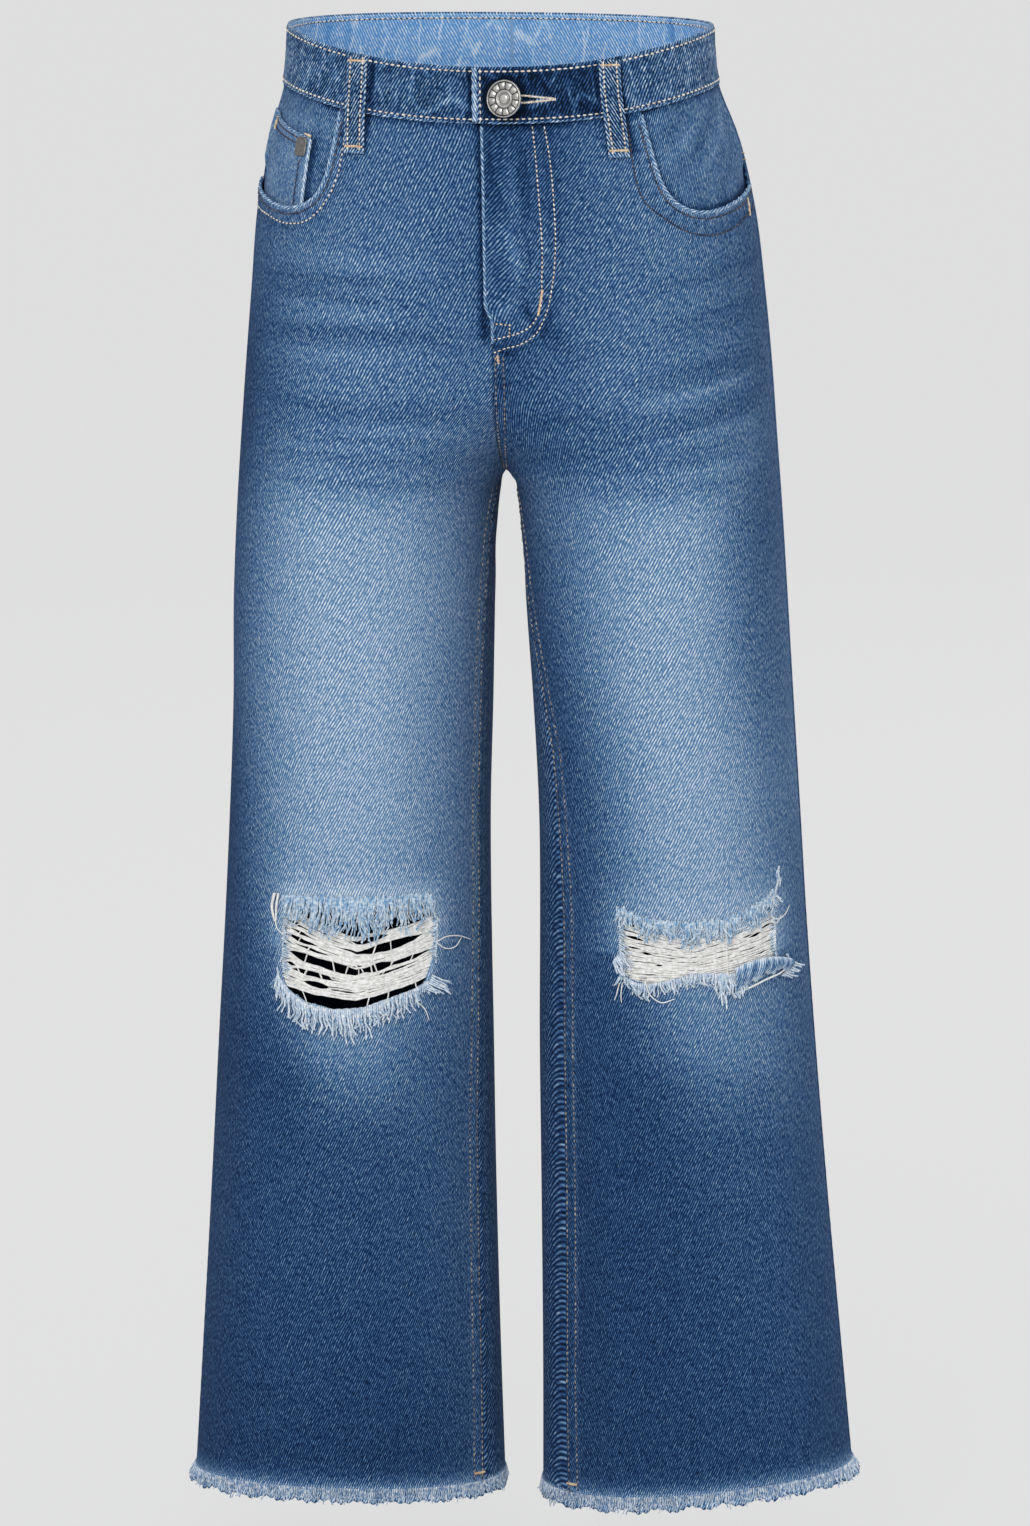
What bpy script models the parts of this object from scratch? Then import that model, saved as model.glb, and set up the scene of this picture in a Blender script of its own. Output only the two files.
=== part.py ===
"""Ripped wide-leg jeans, high in the rise, standing filled out as if worn, with raw hems.

The cloth is a set of thin walls laid on one form. The form is a stack of horizontal sections:
one half section each side of the body down to the crotch, and one closed section for each leg
below it. Every piece is placed by where it lies on that form: how far across from the side seam
to the centre or the inseam, how high, and how far out from the surface.

Metres, +Z up. The wearer faces -Y and has the left side at +X. The origin is the middle of the
waist, halfway up the waistband at the side seams. Tables are in millimetres.
"""

from functools import lru_cache
from math import cos, pi, radians, sin

import bmesh
import bpy
import numpy as np
from mathutils import Matrix, Vector

MM = 0.001

# ---------------------------------------------------------------- sizes

SEAM_GAP = 0.35 * MM
LAYER_GAP = 0.9 * MM
DENIM = 1.2 * MM
PATCH = 1.0 * MM
BAND_THICKNESS = 2.2 * MM
LOOP_THICKNESS = 1.5 * MM

BAND_HALF_HEIGHT = 16 * MM
BAND_PROUD = 0.8 * MM
WAIST_DIP = 17 * MM
SEAM_DIP_SHARE = 0.92

# height, axis, outer, middle, front, back, square
# Outer and middle are measured sideways from the axis, front and back from the widest line.
# The middle is where a half section or a leg reaches furthest forward and back.
FORM = (
    (30, 0.0, 115.5, 0.0, 70, 68, 2.25),
    (16, 0.0, 116.5, 0.0, 70, 69, 2.25),
    (-16, 0.3, 119.5, 0.0, 73, 73, 2.25),
    (-45, 1.8, 129.0, 0.0, 78, 79, 2.27),
    (-85, 3.2, 137.0, 1.0, 83, 88, 2.30),
    (-130, 4.2, 141.6, 8.0, 85, 97, 2.30),
    (-170, 4.6, 145.0, 33.0, 85, 101, 2.30),
    (-210, 4.7, 147.8, 64.0, 84.5, 98, 2.25),
    (-250, 5.0, 150.6, 77.0, 83.5, 91.5, 2.20),
    (-300, 5.6, 153.3, 81.3, 82, 84, 2.20),
    (-360, 7.2, 155.5, 83.7, 79, 77.5, 2.20),
    (-420, 8.0, 158.6, 86.3, 75, 73, 2.20),
    (-480, 8.4, 162.0, 88.0, 71, 69.5, 2.20),
    (-540, 8.9, 166.0, 89.7, 68, 67, 2.20),
    (-630, 10.2, 172.3, 92.7, 64, 65, 2.20),
    (-720, 11.8, 179.2, 95.7, 61, 63, 2.20),
    (-820, 13.6, 187.0, 98.8, 58, 61, 2.20),
)

# height, inner edge from the axis. Below zero the two halves still run together.
INNER = (
    (30, -115.5),
    (16, -116.5),
    (-16, -119.5),
    (-45, -129.0),
    (-85, -136.0),
    (-130, -124.0),
    (-165, -80.0),
    (-185, -49.0),
    (-205, -21.0),
    (-220, -6.0),
    (-229, 0.0),
    (-233, 3.6),
    (-242, 6.0),
    (-264, 7.8),
    (-300, 9.3),
    (-360, 11.9),
    (-420, 14.1),
    (-480, 14.1),
    (-540, 13.4),
    (-630, 13.1),
    (-720, 12.3),
    (-820, 10.6),
)
CROTCH = -229 * MM
# between these heights the inner edge swings to and fro, and only the inner columns follow it
CALM_TOP = -160 * MM
CALM_BOTTOM = -340 * MM
CALM_SHARE = 0.5

# height, how far the inseam lies in front of the leg's widest line: wearer's right, left
INSEAM = (
    (-229, 0, 0),
    (-238, 11, 11),
    (-262, 19, 22),
    (-300, 25, 33),
    (-340, 28, 44),
    (-380, 28, 50),
    (-464, 25, 50),
    (-590, 29, 45),
    (-740, 28, 39),
    (-820, 29, 38),
)

# hem height at the side seam and at the inseam, by side
HEM = {-1: (-796 * MM, -797 * MM), 1: (-786 * MM, -800 * MM)}
HEM_FRINGE = 11 * MM
FRINGE_FLARE = 2.2 * MM
FRINGE_WALL = 1.2 * MM

# front pocket mouth, from the waist seam to the side seam: share across, height
MOUTH = (
    (0.475, -27.5),
    (0.476, -36),
    (0.474, -46),
    (0.468, -56),
    (0.455, -66),
    (0.430, -73.5),
    (0.390, -78.5),
    (0.335, -81),
    (0.270, -80.5),
    (0.195, -78),
    (0.110, -74.5),
    (0.0, -70),
)
FACING_REACH = 0.55
FACING_BOTTOM = -100 * MM
# depth under the front panel, and where the facing comes up flush at the side and waist seams
FACING_DEPTH = {-1: 4.3 * MM, 1: 2.4 * MM}
FACING_FLUSH = 0.2 * MM
FACING_INSET = 0.6 * MM
FACING_RAMP = 14 * MM
FLUSH_BOTTOM = -54 * MM
FLUSH_BOTTOM_RAMP = 12 * MM
FLUSH_SHARE = 0.37
FLUSH_SHARE_RAMP = 0.07
# rough length of a front panel's top from side to centre
FRONT_SPAN = 160 * MM
# share of the panel's columns that lie under the pocket mouth
MOUTH_COLUMN = 0.5

# coin pocket corners on the wearer's right facing: share across, height
COIN_TOP = ((0.03, -31), (0.371, -43))
COIN_BOTTOM = ((0.03, -94), (0.385, -96))
RIVET_PLACE = (0.330, -47.5)
RIVET_RADIUS = 4.4 * MM
RIVET_HEIGHT = 1.3 * MM

# heights of the rows of a leg panel, below the pockets
FRONT_ROWS = (-106, -128, -140, -152, -175, -200, -218, -229, -238, -262, -300, -340, -380, -415,
              -452, -464, -476, -488, -500, -512, -524, -536, -590, -640, -690, -740)
BACK_ROWS = (-106, -128, -152, -175, -200, -218, -229, -238, -262, -300, -340, -380, -415, -464,
             -512, -536, -590, -640, -690, -740)
# from the last of those heights, at 2, to the hem, at 3
HEM_ROWS = (2.5, 2.96, 3.0)
YOKE_SIDE = -52 * MM
YOKE_CENTRE = -76 * MM

# the knee rips, by side: share across, top edge, bottom edge
RIPS = {
    -1: (
        (0.375, -472, -504),
        (0.400, -461, -514),
        (0.470, -463, -520),
        (0.545, -462, -524),
        (0.640, -463, -521),
        (0.730, -461, -515),
        (0.795, -461, -509),
        (0.818, -476, -494),
    ),
    1: (
        (0.225, -462, -500),
        (0.300, -471, -505),
        (0.430, -477, -505),
        (0.530, -481, -507),
        (0.620, -479, -508),
        (0.705, -474, -509),
        (0.775, -471, -504),
        (0.796, -478, -498),
    ),
}
WEB_GAP = 1.0 * MM
WEB_ROWS = {-1: (-452, -536), 1: (-452, -524)}
WEB_COLUMNS = {-1: (0.32, 0.86), 1: (0.18, 0.84)}

# frayed strips at the rips: name, side, share from and to, top height, bottom height, lift
FRAYS = (
    ("rip_fringe_upper_right", -1, 0.430, 0.765, -465.5, -481, -0.1),
    ("rip_fringe_lower_right", -1, 0.385, 0.800, -513, -540, 1.5),
    ("rip_fringe_upper_left", 1, 0.320, 0.770, -482.5, -490, -0.1),
    ("rip_fringe_lower_left", 1, 0.215, 0.500, -494, -517, 1.5),
)

# belt loops: name, back, side, share across at the top and at the bottom
LOOPS = (
    ("belt_loop_front_right", False, -1, 0.528, 0.556),
    ("belt_loop_front_left", False, 1, 0.566, 0.584),
    ("belt_loop_back_right", True, -1, 0.330, 0.335),
    ("belt_loop_back_left", True, 1, 0.330, 0.335),
    ("belt_loop_back_centre", True, 1, 1.0, 1.0),
)
LOOP_WIDTH = 11.5 * MM
LOOP_TAIL = 22 * MM
# share of the loop's length from its top, height of its inner face above the panels
LOOP_ARCH = ((0.0, 1.3), (0.14, 2.4), (0.34, 3.2), (0.56, 3.0), (0.74, 1.9), (0.88, 0.8),
             (1.0, 0.45))

# back pockets: share across at the two sides, heights of the top, the corners and the point
BACK_POCKET_SPAN = (0.20, 0.76)
BACK_POCKET_TOP = -92 * MM
BACK_POCKET_CORNER = -180 * MM
BACK_POCKET_POINT = -198 * MM

# fly and waistband tab, measured sideways from the centre front
FLY_OVERLAP = 3.8 * MM
FLY_LIFT = 1.6 * MM
FLY_END = -152 * MM
FLY_EASE = 12 * MM
# the fly starts to rise this far from the centre, and has risen after this much
FLY_RISE_START = 13 * MM
FLY_RISE_WIDTH = 11 * MM
TAB_REACH = 7 * MM
UNDER_REACH = 26 * MM
OVERLAP_SHIFT = 1.35 * MM
# stations of the band's under layer, in millimetres past the centre front, and the shares where
# the two layers come back to the band's own line
UNDER_STATIONS = (20, 15.5, 11, 7, 3, 0, -3, -7, -11)
UNDER_RAMP = (0.76, 0.91)
OVER_RAMP = (0.61, 0.79)
ZIP_WIDTH = 22 * MM
ZIP_TOP = -49 * MM
ZIP_BOTTOM = -146 * MM
SLIDER_WIDTH = 8 * MM
SLIDER_TOP = -38 * MM

# button
BUTTON_FROM_CENTRE = 10 * MM
BUTTON_HEIGHT = -18.5 * MM
BUTTON_STANDOFF = 6.6 * MM
BUTTON_TURN = radians(22)
POST_RADIUS = 3.2 * MM
EYELET_HALF_WIDTH = 4.4 * MM
# shares of the band's height, from its top
EYELET_ROWS = (0.41, 0.71)
# radius, height above the cap's back, from the outer rim's back to the middle of the face
BUTTON_PROFILE = ((9.6, 0.0), (10.3, 0.5), (10.3, 1.3), (9.5, 1.9), (8.8, 1.6), (4.9, 1.6),
                  (4.3, 2.0), (3.5, 2.0), (3.0, 1.6), (2.2, 1.9))

# ---------------------------------------------------------------- scene and materials


def clear_scene():
    for thing in list(bpy.data.objects):
        bpy.data.objects.remove(thing, do_unlink=True)


def new_collection(name):
    collection = bpy.data.collections.new(name)
    bpy.context.scene.collection.children.link(collection)
    return collection


def make_material(name, colour, roughness, metallic=0.0):
    material = bpy.data.materials.new(name)
    material.use_nodes = True
    shader = material.node_tree.nodes["Principled BSDF"]
    shader.inputs["Base Color"].default_value = (*colour, 1.0)
    shader.inputs["Roughness"].default_value = roughness
    shader.inputs["Metallic"].default_value = metallic
    return material


# ---------------------------------------------------------------- the form


def table(rows):
    """A table sorted upwards by its first column, in metres where it is a length."""
    values = np.array(rows, float)[::-1]
    values[:, :6] *= MM
    return values


def curve(rows):
    """A table with its slopes, for smooth_row."""
    rows = table(rows)
    return rows, np.gradient(rows[:, 1:], rows[:, 0], axis=0)


SECTIONS = curve(FORM)
INNERS = curve(INNER)
INSEAMS = table(INSEAM)


def smooth_row(through, height):
    """The columns of a table at a height, by a smooth curve through its rows."""
    rows, rates = through
    heights = rows[:, 0]
    height = min(max(height, heights[0]), heights[-1])
    low = min(max(int(np.searchsorted(heights, height)) - 1, 0), len(heights) - 2)
    step = heights[low + 1] - heights[low]
    t = (height - heights[low]) / step
    below = rows[low, 1:] * (1 + 2 * t) * (1 - t) ** 2 + rates[low] * step * t * (1 - t) ** 2
    above = rows[low + 1, 1:] * t * t * (3 - 2 * t) + rates[low + 1] * step * t * t * (t - 1)
    return below + above


def inseam_ahead(height, side):
    column = 1 if side < 0 else 2
    return float(np.interp(height, INSEAMS[:, 0], INSEAMS[:, column]))


@lru_cache(maxsize=None)
def section(height, back, side):
    """Half a section at a height, from the side seam to the centre or the inseam.

    Gives distances sideways from the axis, distances back, and the length run so far.
    """
    axis, outer, middle, front, rear, square = smooth_row(SECTIONS, height)
    inner_half = middle - smooth_row(INNERS, height)[0]
    power = 2 / square
    reach = rear if back else -front
    end = pi
    ahead = 0.0
    if height > CROTCH:
        end = np.arccos(-(max(middle, 0.0) / inner_half) ** (1 / power))
    else:
        ahead = np.arcsin((inseam_ahead(height, side) / front) ** (1 / power))
    if not back:
        end -= ahead
    angle = np.linspace(0, end, 121)
    half = np.where(angle < pi / 2, outer - middle, -inner_half)
    across = middle + half * np.abs(np.cos(angle)) ** power
    depth = reach * np.abs(np.sin(angle)) ** power
    if back and ahead > 0:
        angle = np.linspace(0, ahead, 17)[1:]
        across = np.append(across, middle - inner_half * np.cos(angle) ** power)
        depth = np.append(depth, -front * np.sin(angle) ** power)
    run = np.append(0, np.cumsum(np.hypot(np.diff(across), np.diff(depth))))
    return across, depth, run


def panel_length(height, back, side):
    return section(height, back, side)[2][-1]


def smooth(t):
    t = min(max(t, 0.0), 1.0)
    return t * t * (3 - 2 * t)


def length_at(share, height, back, side):
    """Length from the side seam to a share of the way across, at a height."""
    full = panel_length(height, back, side)
    if not CALM_BOTTOM < height < CALM_TOP:
        return share * full
    low, high = (panel_length(end, back, side) for end in (CALM_BOTTOM, CALM_TOP))
    steady = low + (high - low) * smooth((height - CALM_BOTTOM) / (CALM_TOP - CALM_BOTTOM))
    return share * steady + (full - steady) * (max(share - CALM_SHARE, 0) / (1 - CALM_SHARE)) ** 2


def surface_point(share, height, back, side):
    """A point of the form. Shares past 0 or 1 run on over the side seam or the inner edge."""
    if share > 1:
        past = (share - 1) * panel_length(height, back, side)
        if height > CROTCH:
            side = -side
        else:
            back = not back
        share = 1 - past / panel_length(height, back, side)
    if share < 0:
        past = -share * panel_length(height, back, side)
        back = not back
        share = past / panel_length(height, back, side)
    across, depth, run = section(height, back, side)
    length = length_at(share, height, back, side)
    sideways = max(np.interp(length, run, across), SEAM_GAP / 2)
    axis = smooth_row(SECTIONS, height)[0]
    return Vector((axis + side * sideways, np.interp(length, run, depth), height))


def outward(share, height, back, side):
    """The form's normal, away from the body, taken inside the panel where it has an edge."""
    step = 0.01
    rise = 2 * MM
    low, high = share - step, share + step
    if 0 <= share <= 1:
        low, high = max(low, 0.0), min(high, 1.0)
    inward = surface_point(high, height, back, side) - surface_point(low, height, back, side)
    upper, lower = height + rise, height - rise
    if upper > CROTCH > lower:
        lower, upper = (CROTCH, upper) if height >= CROTCH else (lower, CROTCH)
    upward = surface_point(share, upper, back, side) - surface_point(share, lower, back, side)
    normal = upward.cross(inward).normalized()
    return normal * (side if not back else -side)


def place(share, height, back, side, lift=0.0):
    """A point of the form, moved out by lift."""
    point = surface_point(share, height, back, side)
    if lift:
        point = point + outward(share, height, back, side) * lift
    return point


def frontness(share, back):
    """0 at the side seam and 1 at the centre, by how far the waist section has come round."""
    depth, run = section(0.0, back, 1)[1:]
    share = share if share <= 1 else 2 - share
    return abs(np.interp(abs(share) * run[-1], run, depth) / depth[-1])


def waist_line(share, back, level):
    """Height of a line round the waist: level at the sides and the back, dipping in front."""
    dip = 0.0 if back or share < 0 else WAIST_DIP * frontness(share, back) ** 2.2
    if level < 0:
        dip *= SEAM_DIP_SHARE
    return level - dip


def waist_seam(share, back):
    return waist_line(share, back, -BAND_HALF_HEIGHT)


def band_top(share, back):
    return waist_line(share, back, BAND_HALF_HEIGHT)


def hem(share, side):
    at_side, at_inseam = HEM[side]
    return at_side + (at_inseam - at_side) * (1 - cos(pi * share)) / 2


# ---------------------------------------------------------------- mesh helpers


def even_steps(start, end, count):
    return [start + (end - start) * i / count for i in range(count + 1)]


def panel_columns(count):
    """Shares from 0 to 1, closer where a panel turns at its sides, with a narrow edge strip."""
    strip = 0.02
    eased = [t - 0.4 * sin(2 * pi * t) / (2 * pi) for t in even_steps(0, 1, count)]
    return [0.0, *[strip + (1 - 2 * strip) * t for t in eased], 1.0]


def panel_rows(top, heights):
    """Rows of a leg panel: 0 to 1 over its top, 1 less the height below that, 2 to 3 at the hem."""
    return [*top, *[1 - height * MM for height in heights[1:]], *HEM_ROWS]


def finish_object(name, mesh, material, collection):
    thing = bpy.data.objects.new(name, mesh)
    thing.data.materials.append(material)
    collection.objects.link(thing)
    return thing


def lay_cloth(name, columns, rows, spot, thickness, material, collection, flip=False, closed=False,
              outline=None):
    """A wall of cloth: a grid whose points go where spot(column, row) says, made thick inwards.

    An outline, given with a function that tells how far a column and row lie outside it, opens
    a hole: the nearest points move on to it and the faces inside it go.
    """
    grid = bmesh.new()
    wide, high = len(columns), len(rows)
    bmesh.ops.create_grid(grid, x_segments=wide - 1, y_segments=high - 1, size=1.0)
    places = {}
    for index, vertex in enumerate(grid.verts):
        column, row = columns[index % wide], rows[index // wide]
        places[vertex] = (column, row)
    if outline:
        open_hole(grid, places, outline)
    for vertex, (column, row) in places.items():
        if vertex.is_valid:
            vertex.co = spot(column, row)
    if closed:
        bmesh.ops.remove_doubles(grid, verts=grid.verts, dist=0.01 * MM)
    if flip:
        bmesh.ops.reverse_faces(grid, faces=grid.faces)
    mesh = bpy.data.meshes.new(name)
    grid.to_mesh(mesh)
    grid.free()
    mesh.shade_smooth()
    thing = finish_object(name, mesh, material, collection)
    solid = thing.modifiers.new("Thickness", "SOLIDIFY")
    solid.thickness = thickness
    solid.offset = -1
    solid.use_even_offset = True
    return thing


def open_hole(grid, places, outline):
    """Open a hole in a grid. outline(column, row) gives the distance outside and the edge point."""
    outside = {}
    nearest = {}
    for vertex in grid.verts:
        outside[vertex], nearest[vertex] = outline(*places[vertex])
    on_edge = {vertex for vertex in grid.verts if abs(outside[vertex]) < 0.01 * MM}
    for edge in grid.edges:
        first, second = edge.verts
        if first in on_edge or second in on_edge:
            continue
        if outside[first] * outside[second] < 0:
            on_edge.add(first if abs(outside[first]) < abs(outside[second]) else second)
    for vertex in on_edge:
        places[vertex] = nearest[vertex]
        outside[vertex] = 0.0
    for face in list(grid.faces):
        corners = [v for v in face.verts if v in on_edge]
        signs = [outside[v] for v in face.verts]
        if len(corners) == 2 and min(signs) < 0 < max(signs):
            bmesh.utils.face_split(face, corners[0], corners[1])
    inside = []
    for face in grid.faces:
        centre = [sum(places[v][k] for v in face.verts) / len(face.verts) for k in (0, 1)]
        if outline(*centre)[0] < 0:
            inside.append(face)
    bmesh.ops.delete(grid, geom=inside, context="FACES")


def edge_share(share, height, back, side):
    """A share pulled in from the panel's edges by half a seam gap."""
    inset = SEAM_GAP / 2 / panel_length(height, back, side)
    return min(max(share, inset), 1 - inset)


# ---------------------------------------------------------------- front panels


def polyline_point(points, share):
    """A point along a run of points, by share of the length, in shares and metres."""
    points = np.array(points, float) * (1, MM)
    steps = np.hypot(np.diff(points[:, 0]) * FRONT_SPAN, np.diff(points[:, 1]))
    run = np.append(0, np.cumsum(steps))
    where = share * run[-1]
    return float(np.interp(where, run, points[:, 0])), float(np.interp(where, run, points[:, 1]))


def front_top(column):
    """The top edge of a front panel: along the pocket mouth, then along the waist seam."""
    if column < MOUTH_COLUMN:
        share, height = polyline_point(MOUTH[::-1], column / MOUTH_COLUMN)
    else:
        share = MOUTH[0][0] + (1 - MOUTH[0][0]) * (column - MOUTH_COLUMN) / (1 - MOUTH_COLUMN)
        height = waist_seam(share, False)
    return share, min(height, waist_seam(share, False) - SEAM_GAP / 2)


def front_spot(column, row, side):
    """Share and height of a front panel's grid point."""
    first = FRONT_ROWS[0] * MM
    if row <= 1:
        share, height = front_top(column)
        return share + (column - share) * row, height + (first - height) * row
    if row >= 2:
        last = FRONT_ROWS[-1] * MM
        return column, last + (hem(column, side) - last) * (row - 2)
    return column, -(row - 1)


def fly_reach(height):
    """How far the fly's fold runs past the centre front. It starts above where the fold rises."""
    ending = smooth((height - FLY_END) / FLY_EASE - 1)
    return -SEAM_GAP / 2 + (FLY_OVERLAP + SEAM_GAP / 2) * ending


def fly_rise(share, height, side):
    """How far the wearer's left front stands out along its fly, to pass over the right front."""
    if side < 0 or height < FLY_END:
        return 0.0
    from_centre = (1 - share) * panel_length(height, False, side)
    near = smooth((FLY_RISE_START - from_centre) / FLY_RISE_WIDTH)
    return FLY_LIFT * near * smooth((height - FLY_END) / FLY_EASE)


def rip_outline(side):
    """Distance outside a rip's edge, and the nearest point on it, for a share and a height."""
    rows = np.array(RIPS[side], float) * (1, MM, MM)
    scale = panel_length(rows[:, 1].mean(), False, side)
    top = [(share, upper) for share, upper, lower in rows]
    bottom = [(share, lower) for share, upper, lower in rows[::-1]]
    corners = np.array(top + bottom) * (scale, 1)
    following = np.roll(corners, -1, axis=0)

    def outline(share, height):
        point = np.array((share * scale, height))
        along = following - corners
        t = ((point - corners) * along).sum(1) / (along * along).sum(1)
        feet = corners + along * np.clip(t, 0, 1)[:, None]
        distance = np.hypot(*(feet - point).T)
        foot = feet[distance.argmin()]
        crossing = (corners[:, 1] > height) != (following[:, 1] > height)
        rise = np.where(crossing, following[:, 1] - corners[:, 1], 1.0)
        meets = corners[:, 0] + along[:, 0] * (height - corners[:, 1]) / rise
        inside = (crossing & (meets > point[0])).sum() % 2 == 1
        return (-distance.min() if inside else distance.min()), (foot[0] / scale, foot[1])

    return outline


def make_front(side, name, material, collection):
    rows = panel_rows((0.0, 0.3, 0.65, 1.0), FRONT_ROWS)
    hole = rip_outline(side)

    def panel_outline(column, row):
        share, height = front_spot(column, row, side)
        distance, (edge_column, edge_height) = hole(share, height)
        return distance, (edge_column, 1 - edge_height)

    def spot(column, row):
        share, height = front_spot(column, row, side)
        share = edge_share(share, height, False, side)
        if side > 0 and column == 1.0 and height > FLY_END:
            share = 1 + fly_reach(height) / panel_length(height, False, side)
        return place(share, height, False, side, fly_rise(share, height, side))

    return lay_cloth(name, panel_columns(10), rows, spot, DENIM, material, collection,
                     flip=side < 0, outline=panel_outline)


# ---------------------------------------------------------------- back panels and yokes


def yoke_seam(share):
    return YOKE_SIDE + (YOKE_CENTRE - YOKE_SIDE) * share


def make_back(side, name, material, collection):
    first, last = BACK_ROWS[0] * MM, BACK_ROWS[-1] * MM
    rows = panel_rows((0.0, 0.5, 1.0), BACK_ROWS)

    def spot(column, row):
        height = 1 - row
        if row <= 1:
            top = yoke_seam(column) - SEAM_GAP / 2
            height = top + (first - top) * row
        elif row >= 2:
            height = last + (hem(column, side) - last) * (row - 2)
        return place(edge_share(column, height, True, side), height, True, side)

    return lay_cloth(name, panel_columns(10), rows, spot, DENIM, material, collection,
                     flip=side > 0)


def make_yoke(side, name, material, collection):
    def spot(column, row):
        top = waist_seam(column, True) - SEAM_GAP / 2
        bottom = yoke_seam(column) + SEAM_GAP / 2
        height = top + (bottom - top) * row
        return place(edge_share(column, height, True, side), height, True, side)

    return lay_cloth(name, panel_columns(10), even_steps(0, 1, 2), spot, DENIM, material,
                     collection, flip=side > 0)


# ---------------------------------------------------------------- pockets


def facing_lift(share, height, side):
    """The facing lies under the front panel and comes up flush at the side and waist seams."""
    from_side = share * panel_length(height, False, side)
    from_top = waist_seam(share, False) - height
    below = (FLUSH_BOTTOM - height) / FLUSH_BOTTOM_RAMP
    beyond = (share - FLUSH_SHARE) / FLUSH_SHARE_RAMP
    under = max(min(from_side, from_top) / FACING_RAMP, below, beyond)
    return -FACING_FLUSH - (FACING_DEPTH[side] - FACING_FLUSH) * smooth(under)


def make_facing(side, name, material, collection):
    def spot(column, row):
        share = column * FACING_REACH
        top = waist_seam(share, False) - SEAM_GAP / 2
        height = top + (FACING_BOTTOM - top) * row
        share = max(share, FACING_INSET / panel_length(height, False, side))
        return place(share, height, False, side, facing_lift(share, height, side))

    return lay_cloth(name, even_steps(0, 1, 7), even_steps(0, 1, 6), spot, PATCH, material,
                     collection, flip=side < 0)


def coin_place(column, row):
    """Share and height on the coin pocket: a four-sided patch that runs down into the mouth."""
    left, right = COIN_TOP
    low_left, low_right = COIN_BOTTOM
    top = [left[k] + (right[k] - left[k]) * column for k in (0, 1)]
    bottom = [low_left[k] + (low_right[k] - low_left[k]) * column for k in (0, 1)]
    share, height = [top[k] + (bottom[k] - top[k]) * row for k in (0, 1)]
    return share, height * MM


def make_coin_pocket(name, material, collection):
    def spot(column, row):
        share, height = coin_place(column, row)
        lift = facing_lift(share, height, -1) + LAYER_GAP + PATCH
        return place(share, height, False, -1, lift)

    return lay_cloth(name, even_steps(0, 1, 5), even_steps(0, 1, 5), spot, PATCH, material,
                     collection, flip=True)


def make_back_pocket(side, name, material, collection):
    left, right = BACK_POCKET_SPAN

    def spot(column, row):
        share = left + (right - left) * column
        point = 1 - abs(2 * column - 1)
        bottom = BACK_POCKET_CORNER + (BACK_POCKET_POINT - BACK_POCKET_CORNER) * point
        height = BACK_POCKET_TOP + (bottom - BACK_POCKET_TOP) * row
        return place(share, height, True, side, LAYER_GAP + PATCH)

    return lay_cloth(name, even_steps(0, 1, 6), even_steps(0, 1, 5), spot, PATCH, material,
                     collection, flip=side > 0)


# ---------------------------------------------------------------- waistband and belt loops


def band_route():
    """Stations round the waist: back, side, share, and how far the layer is shifted out.

    The band starts under the tab on the wearer's left, runs round by the wearer's right and
    the back, and ends as the tab that laps over the wearer's right.
    """
    length = panel_length(0.0, False, 1)
    route = []
    start = 1 + UNDER_REACH / length
    for share in (start, *[1 + station * MM / length for station in UNDER_STATIONS]):
        route.append((False, -1, share, -OVERLAP_SHIFT))
    low, high = UNDER_RAMP
    for share in (0.89, 0.83, low):
        shift = -OVERLAP_SHIFT * smooth((share - low) / (high - low))
        route.append((False, -1, share, shift))
    route += [(False, -1, share, 0.0) for share in even_steps(0.67, 0.07, 7)]
    route += [(True, -1, share, 0.0) for share in even_steps(0.0, 1.0, 13)]
    route += [(True, 1, share, 0.0) for share in even_steps(1.0, 0.0, 13)[1:]]
    low, high = OVER_RAMP
    route += [(False, 1, share, 0.0) for share in even_steps(0.07, low, 7)]
    for share in (0.68, 0.74, high):
        shift = OVERLAP_SHIFT * smooth((share - low) / (high - low))
        route.append((False, 1, share, shift))
    button = 1 - BUTTON_FROM_CENTRE / length
    half = EYELET_HALF_WIDTH / length
    tab = (button - 2 * half, button - half, button + half, 1, 1 + TAB_REACH / 2 / length,
           1 + TAB_REACH / length)
    route += [(False, 1, share, OVERLAP_SHIFT) for share in (0.85, *tab)]
    return route


def make_waistband(name, material, collection):
    route = band_route()
    length = panel_length(0.0, False, 1)
    button = 1 - BUTTON_FROM_CENTRE / length
    rows = (0.0, *EYELET_ROWS, 1.0)

    def spot(column, row):
        back, side, share, shift = route[column]
        top = band_top(share, back)
        bottom = waist_seam(share, back) + SEAM_GAP / 2
        height = top + (bottom - top) * row
        return place(share, height, back, side, BAND_PROUD + shift)

    def eyelet(column, row):
        back, side, share, shift = route[int(column)]
        share += (route[int(np.ceil(column))][2] - share) * (column % 1)
        over = shift > 0 and not back and side > 0
        wide = abs(share - button) * length - EYELET_HALF_WIDTH
        tall = max(EYELET_ROWS[0] - row, row - EYELET_ROWS[1]) * 2 * BAND_HALF_HEIGHT
        return (max(wide, tall) if over else 1.0), (column, row)

    return lay_cloth(name, range(len(route)), rows, spot, BAND_THICKNESS, material, collection,
                     outline=eyelet)


def make_loop(name, back, side, top_share, bottom_share, material, collection):
    arch = np.array(LOOP_ARCH)

    def spot(column, row):
        share = top_share + (bottom_share - top_share) * row
        top = band_top(share, back) - 1 * MM
        bottom = waist_seam(share, back) - LOOP_TAIL
        height = top + (bottom - top) * row
        share += column * LOOP_WIDTH / 2 / panel_length(height, back, side)
        lift = float(np.interp(row, arch[:, 0], arch[:, 1])) * MM + LOOP_THICKNESS
        return place(share, height, back, side, lift)

    return lay_cloth(name, (-1, 0, 1), even_steps(0, 1, 8), spot, LOOP_THICKNESS, material,
                     collection, flip=(side < 0) != back)


# ---------------------------------------------------------------- zip


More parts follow.
